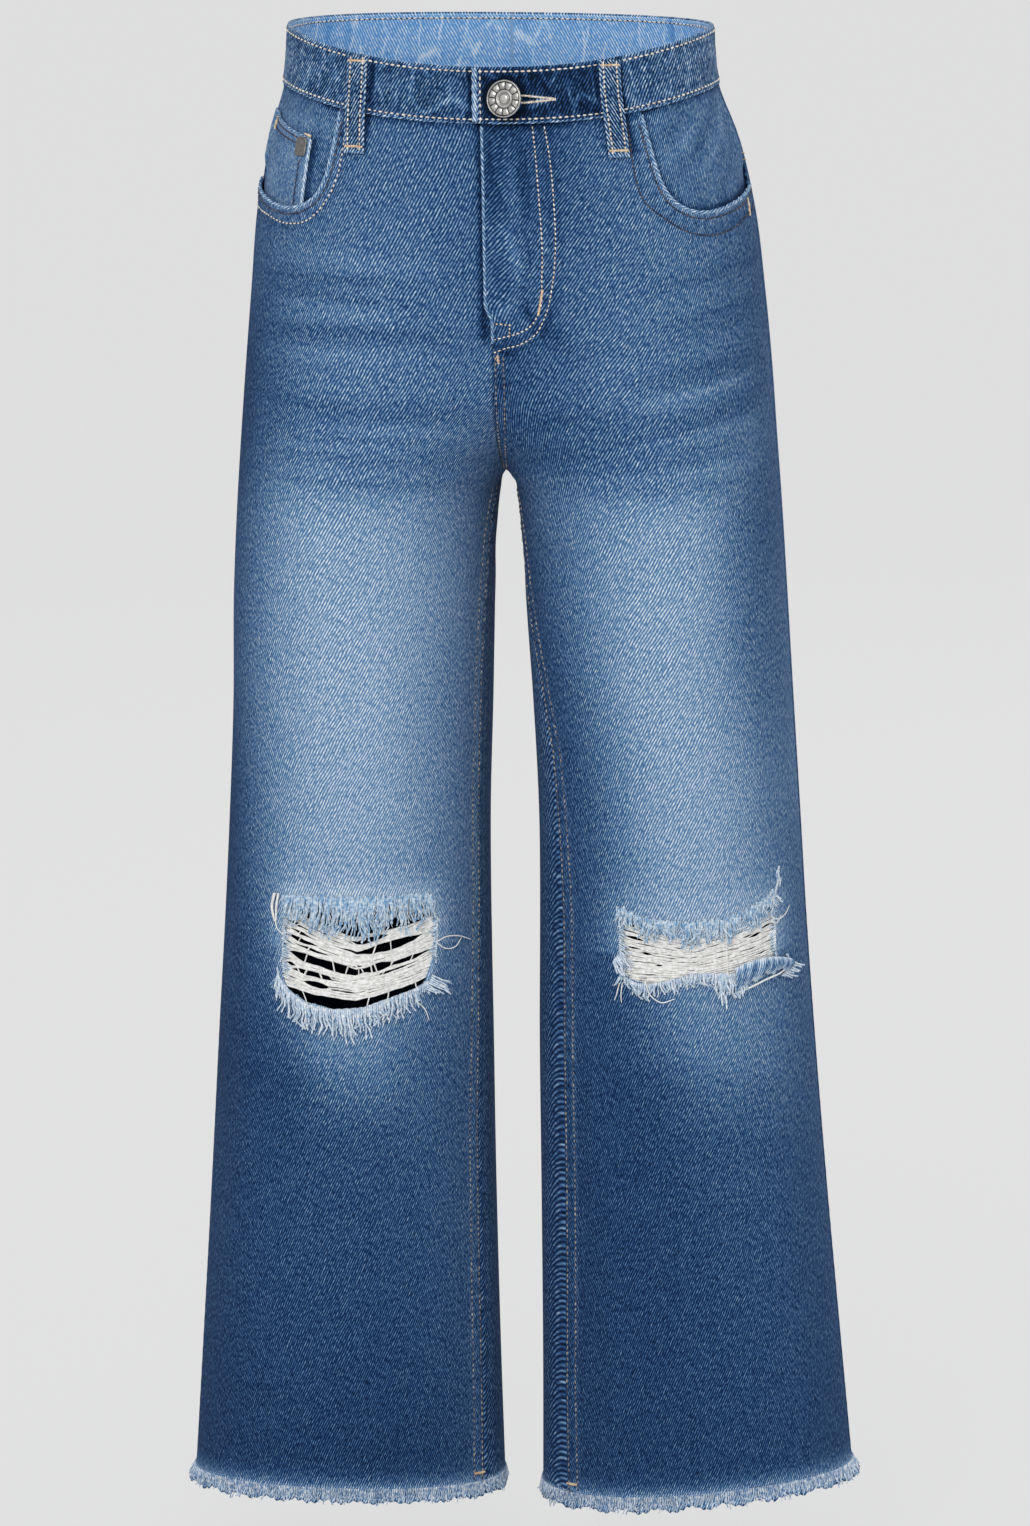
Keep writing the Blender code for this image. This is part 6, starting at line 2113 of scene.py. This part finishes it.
def weft_height(down, share, side):
    """Height of a thread that is this far down the web: pushed by the slits, then sagging."""
    first, last, outer, inner, sags, lowest = WEBS[side]
    tall = (outer[0] - outer[1] + inner[0] - inner[1]) / 2
    for at, level, half_wide, half_tall in SLITS[side]:
        opening = half_tall / tall * np.clip(1 - ((share - at) / half_wide) ** 2, 0, 1)
        offset = down - level
        down = level + np.where(offset < 0, -1, 1) * np.sqrt(offset ** 2 + opening ** 2)
    t = (share - first) / (last - first)
    deepest = (lowest - first) / (last - first)
    sag = np.where(t < deepest, t / deepest, (1 - t) / (1 - deepest))
    sag = sag * (1.25 - 0.25 * sag)
    at_outer = outer[0] + (outer[1] - outer[0]) * down
    at_inner = inner[0] + (inner[1] - inner[0]) * down
    depth = sags[0] + (sags[1] - sags[0]) * down
    return (at_outer + (at_inner - at_outer) * t - depth * sag) * MM


def make_weft(name, side, count, node):
    """The white threads across a torn knee, a little behind the panel."""
    draw = np.random.default_rng(17 + side)
    first, last = WEBS[side][:2]
    down = (np.arange(count) + draw.uniform(-0.3, 0.3, count)) / (count - 1)
    share = np.linspace(first, last, 64)[None] * np.ones((count, 1))
    knots = np.linspace(first, last, 11)
    strays = draw.normal(0, 0.005, (count, len(knots)))
    wander = np.array([np.interp(share[0], knots, stray) for stray in strays])
    height = weft_height(down[:, None] + wander, share, side)
    t = (share - first) / (last - first)
    lift = draw.uniform(-1.9, -1.3, (count, 1)) + 1.3 * np.sin(pi * t)
    lift = lift + 0.25 * np.sin(share * 70 + down[:, None] * 300)
    points, normals = place(share, height, False, side, lift * MM, with_normal=True)
    radii = draw.uniform(0.32, 0.56, (count, 1)) * MM
    radii = radii * (1 + 0.25 * np.sin(share * 160 + down[:, None] * 900))
    finish_piece(tubes(name, points, normals, radii, WHITE_COTTON), "cross_threads", node)
    print(name, count, "threads")


make_weft("rip_threads_right_weft", -1, 54, "rip_threads_right")
make_weft("rip_threads_left_weft", 1, 41, "rip_threads_left")


# %% Loose threads
# single threads that crossed over or came out: side, radius in mm, and places as share, height
# in mm and lift in mm
LOOSE = (
    (-1, 0.30, ((0.690, -484, 0.3), (0.694, -491, 0.3), (0.695, -499, 0.2))),
    (-1, 0.30, ((0.608, -500, 0.2), (0.610, -508, 0.4), (0.612, -514, 0.2))),
    (-1, 0.45, ((0.652, -486, 0.3), (0.640, -497, 0.6), (0.646, -505, 0.4), (0.634, -512, 0.2))),
    (-1, 0.35, ((0.640, -515, 0.3), (0.634, -521, 0.5), (0.636, -527, 0.8))),
    (-1, 0.35, ((0.762, -507, 0.3), (0.768, -512, 0.5), (0.772, -517, 0.8))),
    (-1, 0.40, ((0.640, -492, 0.4), (0.662, -503, 1.2), (0.690, -512, 1.4), (0.682, -519, 1.0),
                (0.655, -521, 0.5))),
    (-1, 0.30, ((0.455, -513, 0.2), (0.468, -519, 0.4), (0.474, -525, 0.6))),
    (-1, 0.38, ((0.822, -486, 1.2), (0.845, -484, 1.6), (0.880, -484, 1.6), (0.945, -488, 1.2))),
    (-1, 0.38, ((0.822, -487, 1.2), (0.850, -490.5, 1.6), (0.885, -490, 1.5), (0.905, -486, 1.2))),
    (-1, 0.38, ((0.770, -519, 1.2), (0.790, -523, 1.8), (0.806, -530, 1.4))),
    (-1, 0.42, ((0.372, -474, 1.2), (0.380, -479, 1.6), (0.397, -482, 1.0))),
    (-1, 0.90, ((0.368, -459, 1.0), (0.361, -466, 1.4), (0.369, -475, 1.0))),
    (-1, 0.75, ((0.380, -459, 1.0), (0.375, -466, 1.4), (0.374, -474, 1.2))),
    (1, 0.32, ((0.290, -470, 1.2), (0.262, -472, 1.6), (0.225, -470, 1.6), (0.195, -466, 1.2))),
    (1, 0.32, ((0.295, -472, 1.2), (0.270, -474, 1.5), (0.245, -470, 1.5))),
    (1, 0.40, ((0.705, -503, 1.2), (0.688, -511, 1.8), (0.655, -515, 1.8), (0.615, -513, 1.2))),
    (1, 0.45, ((0.452, -470, 0.4), (0.450, -490, 0.6), (0.448, -508, 1.0))),
    (1, 0.60, ((0.418, -510, 2.0), (0.370, -507, 2.6), (0.320, -504, 2.6), (0.265, -502, 2.2),
               (0.208, -498, 1.6))),
    (1, 0.35, ((0.785, -505, 1.0), (0.795, -512, 1.5), (0.802, -515, 1.2))),
    (1, 0.35, ((0.776, -505, 1.0), (0.780, -513, 1.5), (0.779, -516, 1.2))),
    (1, 0.30, ((0.560, -484, 0.3), (0.566, -489, 0.5), (0.558, -494, 0.3))),
)


def make_loose(name):
    """The single threads of each knee, each a thin tube along its own places."""
    for word, side in SIDES.items():
        spines, outs, radii = [], [], []
        for at, radius, spots in LOOSE:
            if at != side:
                continue
            path = line_of([spot[:2] for spot in spots])
            t = np.linspace(0, 1, 18)
            even = np.linspace(0, 1, len(path))
            share, height = np.interp(t, even, path[:, 0]), np.interp(t, even, path[:, 1])
            lift = np.interp(t, np.linspace(0, 1, len(spots)), [spot[2] for spot in spots]) * MM
            points, normals = place(share, height, False, side, lift, with_normal=True)
            spines.append(points)
            outs.append(normals)
            radii.append(radius * MM * (1 - 0.35 * t ** 3))
        piece = tubes(f"{name}_{word}", np.array(spines), np.array(outs), np.array(radii),
                      WHITE_COTTON, sides=5)
        finish_piece(piece, "cross_threads")


make_loose("loose_knee_threads")

# %% Rip fringes
# each edge: name, side, layers' thread, sideways lean, outward lean, and places along the edge
# as share, height and reach in mm
RIP_FRINGES = (
    ("rip_fringe_upper_right", -1, "blue", 0.10, 0.02,
     ((0.388, -463, 6), (0.425, -462, 14), (0.464, -462, 18), (0.503, -462, 25),
      (0.533, -462, 31), (0.58, -462, 28), (0.614, -462, 29), (0.65, -462, 26), (0.69, -462, 21),
      (0.722, -461, 20), (0.75, -461, 21), (0.79, -461, 18), (0.812, -465, 8))),
    ("rip_fringe_lower_right", -1, "pale", -0.08, 0.10,
     ((0.378, -501, 13), (0.388, -507, 18), (0.42, -514, 19), (0.47, -520.5, 20),
      (0.54, -523, 19), (0.62, -521.8, 18), (0.70, -516, 17), (0.76, -512, 14), (0.80, -508, 9))),
    ("rip_fringe_upper_left", 1, "blue", -0.04, 0.02,
     ((0.270, -457, 8), (0.295, -461, 13), (0.365, -466.5, 12), (0.45, -471, 12),
      (0.53, -472, 14), (0.565, -473, 13), (0.64, -472, 11), (0.72, -470, 10), (0.775, -465, 12),
      (0.79, -466, 8))),
    ("rip_fringe_lower_left", 1, "pale", 0.05, 0.10,
     ((0.40, -499, 14), (0.43, -500, 19), (0.47, -500, 18), (0.488, -499, 10), (0.56, -499, 11),
      (0.61, -502, 9), (0.68, -505, 9), (0.73, -505, 10), (0.765, -502, 11), (0.785, -497, 10))),
)
KNEE_WIDTH = 230            # about the length in mm of a front panel at the knee
FRINGE_THREADS = {"blue": (BLUE_COTTON, PALE_COTTON), "pale": (PALE_COTTON, BLUE_COTTON)}


def fringe_along(name, side, kind, lean, outwards, places, node=None):
    """Two layers of fringe along places of an edge: strong strands, and fine ones between."""
    rows = np.array(places)
    run = run_along(rows[:, :2] * (KNEE_WIDTH, 1))
    even = np.linspace(0, run[-1], int(run[-1] / 1.2) + 2)
    share, height, reach = (np.interp(even, run, rows[:, k]) for k in range(3))
    above = 3.0 if kind == "blue" else 0.2
    ragged = uneven_wave(even, 5.0, 61) + 0.6 * uneven_wave(even, 2.3, 62)
    height = height + ragged * (1.2 if kind == "blue" else 0.2)
    points, normals = place(share, (height + above) * MM, False, side, 0.25 * MM, True)
    fall = normals * outwards + np.array((lean * side, 0, -1.0))
    layers = (("strands", 1, 1.15, 0.66, 0.76, 1.0), ("fine", 2, 0.60, 0.32, 0.50, 0.88))
    for (layer, seed, spacing, radius, shortest, part), thread in zip(layers, FRINGE_THREADS[kind]):
        grow_fringe(f"{name}_{layer}", points + normals * 0.3 * MM * (2 - seed), normals, fall,
                    (reach * part + above) * MM, thread, node=node if seed == 1 else None,
                    spacing=spacing * MM, thread_radius=radius * MM, shortest=shortest,
                    gather=6.0 * MM, gather_size=5.4 * MM, stray=2.4 * MM, seed=seed + 10)


for name, *rest in RIP_FRINGES:
    fringe_along(name, *rest, node=name)
fringe_along("rip_tuft_right", -1, "pale", -2.2, 0.20, ((0.792, -512, 13), (0.804, -509, 17),
                                                         (0.812, -505, 15)))
fringe_along("rip_tuft_left", 1, "pale", 0.35, 0.20, ((0.775, -488, 12), (0.795, -490, 15),
                                                       (0.806, -494, 12)))
fringe_along("rip_end_right", -1, "pale", -1.6, 0.02,
             ((0.396, -468, 5), (0.392, -480, 5), (0.392, -492, 5), (0.396, -503, 6)))
fringe_along("rip_end_left", 1, "pale", 1.5, 0.02,
             ((0.784, -474, 5), (0.786, -484, 6), (0.784, -494, 5)))
fringe_along("rip_end_far_left", 1, "pale", -1.4, 0.02,
             ((0.270, -466, 6), (0.268, -478, 5), (0.270, -490, 6)))
fringe_along("rip_end_far_right", -1, "pale", 1.4, 0.02,
             ((0.822, -472, 4), (0.826, -484, 3.5), (0.822, -496, 3)))
fringe_along("rip_corner_left", 1, "pale", -0.35, 0.12, ((0.285, -461, 13), (0.262, -457, 13),
                                                          (0.246, -451, 12), (0.238, -443, 10)))
fringe_along("rip_tuft_low_left", 1, "pale", 0.12, 0.22, ((0.415, -499, 17), (0.44, -500, 20),
                                                          (0.478, -499, 19)))
fringe_along("rip_flap_ends_left", 1, "pale", 1.6, 0.55, ((0.222, -493, 6), (0.212, -497, 8),
                                                          (0.218, -501, 7), (0.250, -504, 5)))

# %% [markdown]
# ### The torn flap
# At its outer lower corner the left knee's edge has torn loose and curled outwards. It is a small
# strip of the panel: it starts on the panel, rolls forward and ends in a pale frayed lip.

# %% Torn flap


def make_flap(name):
    """The torn strip, whose lip rolls forward."""
    column, row = np.meshgrid(np.linspace(0, 1, 40), np.linspace(0, 1, 12))
    share = 0.428 - 0.222 * column
    top = (-496 + 3.6 * np.sin(pi * column) + 0.7 * column) * MM
    ragged = 0.9 * np.sin(column * 23) + 0.6 * np.sin(column * 61 + 1)
    tall = (14.0 - 8.0 * column + ragged) * MM
    height = top - tall * row
    roll = 2.6 * MM * np.sin(pi * np.clip(row * 1.05, 0, 1)) ** 0.8
    lift = 1.7 * MM + roll + 0.3 * MM * np.sin(column * 31 + row * 2)
    fade = 0.86 + 0.70 * bell(np.minimum(row, 1 - row), 0.15)
    fade = fade + 0.30 * np.sin(column * 52 + 3 * np.sin(column * 9) + 4 * row)
    fade = fade - 0.16 * np.sin(pi * row)
    return lay_cloth(name, "frayed_denim", share, height, False, 1, lift, fade, 0.7 * MM,
                     (LEG_DENIM,))


state_cloth(make_flap("rip_flap_left"), 0.058, 0.020)

# %% [markdown]
# ## Button, rivet and zip
# The shank button is a pressed metal cap on a post: a turned rim, a sunken ring with raised
# blocks, and a boss. The rivet is a small domed nail. Their metal is nickel, dulled by the stone
# wash, and darkened in its hollows by a painted shade.

# %% Metal


def turn_profile(profile, steps=64):
    """Points and faces of a profile of radii and heights in mm, turned round Z."""
    profile = np.array(profile) * MM
    angle = np.arange(steps) * 2 * pi / steps
    points = np.stack((profile[:, :1] * np.cos(angle), profile[:, :1] * np.sin(angle),
                       np.repeat(profile[:, 1:], steps, axis=1)), -1)
    return points.reshape(-1, 3), grid_faces(len(profile), steps, closed=True)


def facing_matrix(origin, normal):
    """A frame at origin with its Z axis along normal and its X axis level."""
    across = Vector((0, 0, 1)).cross(normal).normalized()
    up = normal.cross(across)
    turn = Matrix((across, up, normal)).transposed().to_4x4()
    return Matrix.Translation(origin) @ turn


def place_mesh(name, points, faces, matrix, material):
    """A plain piece from points in its own frame."""
    mesh = bpy.data.meshes.new(name)
    mesh.from_pydata([matrix @ Vector(point) for point in points], [], faces)
    mesh.materials.append(material)
    mesh.shade_smooth()
    return new_piece(name, mesh)


def make_metal(name, bright, dull, scale, roughness):
    """Worn plated metal: bright where it is rubbed, dull in patches, with a painted shade in its
    hollows.
    """
    material = new_material(name)
    tree = material.node_tree
    spot = add_node(tree, "ShaderNodeTexCoord", out="Object")
    cloud = add_node(tree, "ShaderNodeTexNoise", {"Vector": spot, "Scale": 1 / scale,
                                                  "Detail": 4.0}, out="Fac")
    spread = add_node(tree, "ShaderNodeMapRange", {"Value": cloud, "From Min": 0.38,
                                                   "From Max": 0.62})
    # painted shade: the colour darkens where an ambient occlusion node finds the metal closed in
    ao_openness = add_node(tree, "ShaderNodeAmbientOcclusion", {"Distance": 1.2 * MM}, out="AO",
                      samples=8)
    unshaded = add_node(tree, "ShaderNodeMath", {0: ao_openness, 1: 2.2}, operation="POWER")
    worn = add_node(tree, "ShaderNodeMath", {0: unshaded, 1: spread}, operation="MULTIPLY")
    tone = add_node(tree, "ShaderNodeMath", {0: unshaded, 1: 0.65}, operation="MULTIPLY")
    tone = add_node(tree, "ShaderNodeMath", {0: worn, 1: 0.35, 2: tone}, operation="MULTIPLY_ADD")
    rough = add_node(tree, "ShaderNodeMapRange", {"Value": cloud, "To Min": roughness + 0.12,
                                                  "To Max": roughness - 0.08})
    shader = add_node(tree, "ShaderNodeBsdfPrincipled", {
        "Base Color": ramp_colour(tree, tone, ((0, dull), (1, bright))), "Metallic": 1.0,
        "Roughness": rough})
    add_node(tree, "ShaderNodeOutputMaterial", {"Surface": shader})
    return material


NICKEL = make_metal("worn_nickel", "#D9D6D0", "#4A4A4E", 3 * MM, 0.36)
AGED_BRASS = make_metal("aged_brass", "#8F8C87", "#3A3B40", 2 * MM, 0.45)
ZIP_BRASS = make_metal("zip_brass", "#B08D57", "#5A4730", 2 * MM, 0.4)
STEEL = make_metal("post_steel", "#A9ABAF", "#5B5D61", 2 * MM, 0.4)
TAPE = plain_material("zip_tape_cotton", "#1D2C44", "#2B4160", 0.8 * MM, bump=0.1 * MM)

button_base, button_normal = place(np.array([BUTTON_SHARE]), np.array([BUTTON_HEIGHT]), False, 1,
                                   0.0, with_normal=True)
button_normal = Vector(button_normal[0])
BUTTON_STAND = 6.6 * MM     # from the form to the cap's underside
BUTTON_TILT = radians(22)   # the post leans, and the cap with it
button_frame = facing_matrix(Vector(button_base[0]) + button_normal * BUTTON_STAND, button_normal)
button_frame = button_frame @ Matrix.Rotation(-BUTTON_TILT, 4, "Y")

# radii and heights in mm
CAP = ((0.0, 0.0), (9.2, 0.0), (10.0, 0.3), (10.3, 0.8), (10.28, 1.35), (10.05, 1.8),
       (9.75, 1.9), (9.5, 1.65), (9.35, 1.1), (9.2, 1.0), (5.2, 1.0), (5.0, 1.1),
       (4.75, 1.6), (4.2, 1.75), (3.75, 1.6), (3.45, 1.05), (2.9, 1.0), (2.65, 1.2),
       (2.35, 1.65), (1.7, 1.85), (0.8, 1.95), (0.0, 1.95))
points, faces = turn_profile(CAP, 72)
cap = place_mesh("button_cap_face", points, faces, button_frame, NICKEL)
finish_piece(cap, "button_metal", "button_cap")

# a dark ring under the blocks: a painted shade that shows in the gaps between them
RING_SHADE_METAL = make_metal("shaded_ring_nickel", "#5A5B5F", "#242528", 2 * MM, 0.6)
points, faces = turn_profile(((5.1, 1.03), (9.3, 1.03)), 48)
finish_piece(place_mesh("button_cap_floor", points, faces, button_frame, RING_SHADE_METAL), "button_metal")

# twelve bevelled blocks stand in the sunken ring
BLOCKS = 12
block_points, block_faces = [], []
radius, turn = np.meshgrid((5.45, 5.8, 8.75, 9.1), np.radians((-13.3, -11.9, 11.9, 13.3)),
                           indexing="ij")
rise = np.pad(np.full((2, 2), 1.5), 1, constant_values=1.15)
for index in range(BLOCKS):
    angle = turn + 2 * pi * (index + 0.3) / BLOCKS
    block = np.stack((radius * np.cos(angle), radius * np.sin(angle), rise), -1).reshape(-1, 3)
    block_faces += [[len(block_points) + k for k in face] for face in grid_faces(4, 4)]
    block_points += [Vector(point) for point in block * MM]
finish_piece(place_mesh("button_cap_petals", block_points, block_faces, button_frame, NICKEL),
             "button_metal")

rivet_share, rivet_height = np.array([0.330]), np.array([-47.5 * MM])
rivet_lift = coin_lift(rivet_share, rivet_height) + 0.35 * MM
rivet_base, rivet_normal = place(rivet_share, rivet_height, False, -1, rivet_lift, True)
rivet_frame = facing_matrix(Vector(rivet_base[0]), Vector(rivet_normal[0]))
RIVET = ((0.0, -0.3), (4.2, -0.3), (4.4, 0.1), (4.35, 0.5), (4.0, 0.85), (3.4, 0.95), (2.9, 0.8),
         (2.4, 0.85), (1.4, 1.15), (0.0, 1.25))
points, faces = turn_profile(RIVET, 40)
squared = (np.abs(points[:, 0]) ** 5 + np.abs(points[:, 1]) ** 5) ** 0.2 + 1e-9
points[:, :2] *= (np.hypot(points[:, 0], points[:, 1]) / squared)[:, None] * (0.98, 1.22)
rivet = place_mesh("coin_pocket_rivet_head", points, faces, rivet_frame, AGED_BRASS)
finish_piece(rivet, "rivet_brass", "coin_pocket_rivet")

# the zip's tape lies behind the fly, and its teeth grip in turn from either side
ZIP_LIFT = -DENIM - LAYER_GAP
ZIP_HALF_WIDTH = 11 * MM
TOOTH_PITCH = 1.5 * MM
column, row = np.meshgrid(np.linspace(-1, 1, 9), np.linspace(0, 1, 60))
height = (-49 - 97 * row) * MM
share = 1 + column * ZIP_HALF_WIDTH / panel_length(height, False, -1)
points, normals = place(share, height, False, -1, ZIP_LIFT, True)
tape = make_shell("zip_tape_cloth", points, normals,
                  np.stack((column * ZIP_HALF_WIDTH, height), -1), np.full(column.shape, 0.1),
                  PATCH, (TAPE,))
finish_piece(tape, "zip_tape", "zip_tape")
state_cloth(tape, 0.022, 0.098)
height = np.arange(-50, -145, -TOOTH_PITCH / MM) * MM
hook = np.where(np.arange(len(height)) % 2, 1, -1)[:, None] * 1.2 * MM
tooth = np.array((-1.5, 0, 1.5)) * MM
share = 1 + (hook + tooth) / panel_length(height[:, None], False, -1)
spines, outs = place(share, height[:, None] * np.ones(3), False, -1, ZIP_LIFT - PATCH / 2, True)
teeth = tubes("zip_teeth", spines, outs, np.full(share.shape, 0.7 * MM), ZIP_BRASS)
finish_piece(teeth, "zip_brass")

for node, material in (("zip_slider", ZIP_BRASS), ("button_post", STEEL)):
    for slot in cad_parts[node].material_slots:
        slot.material = material

# %% Finish
counts = {piece.name: sum(len(face.vertices) - 2 for face in piece.data.polygons)
          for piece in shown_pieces()}
print("triangles before the walls are thickened:", sum(counts.values()),
      "largest:", max(counts, key=counts.get), max(counts.values()))
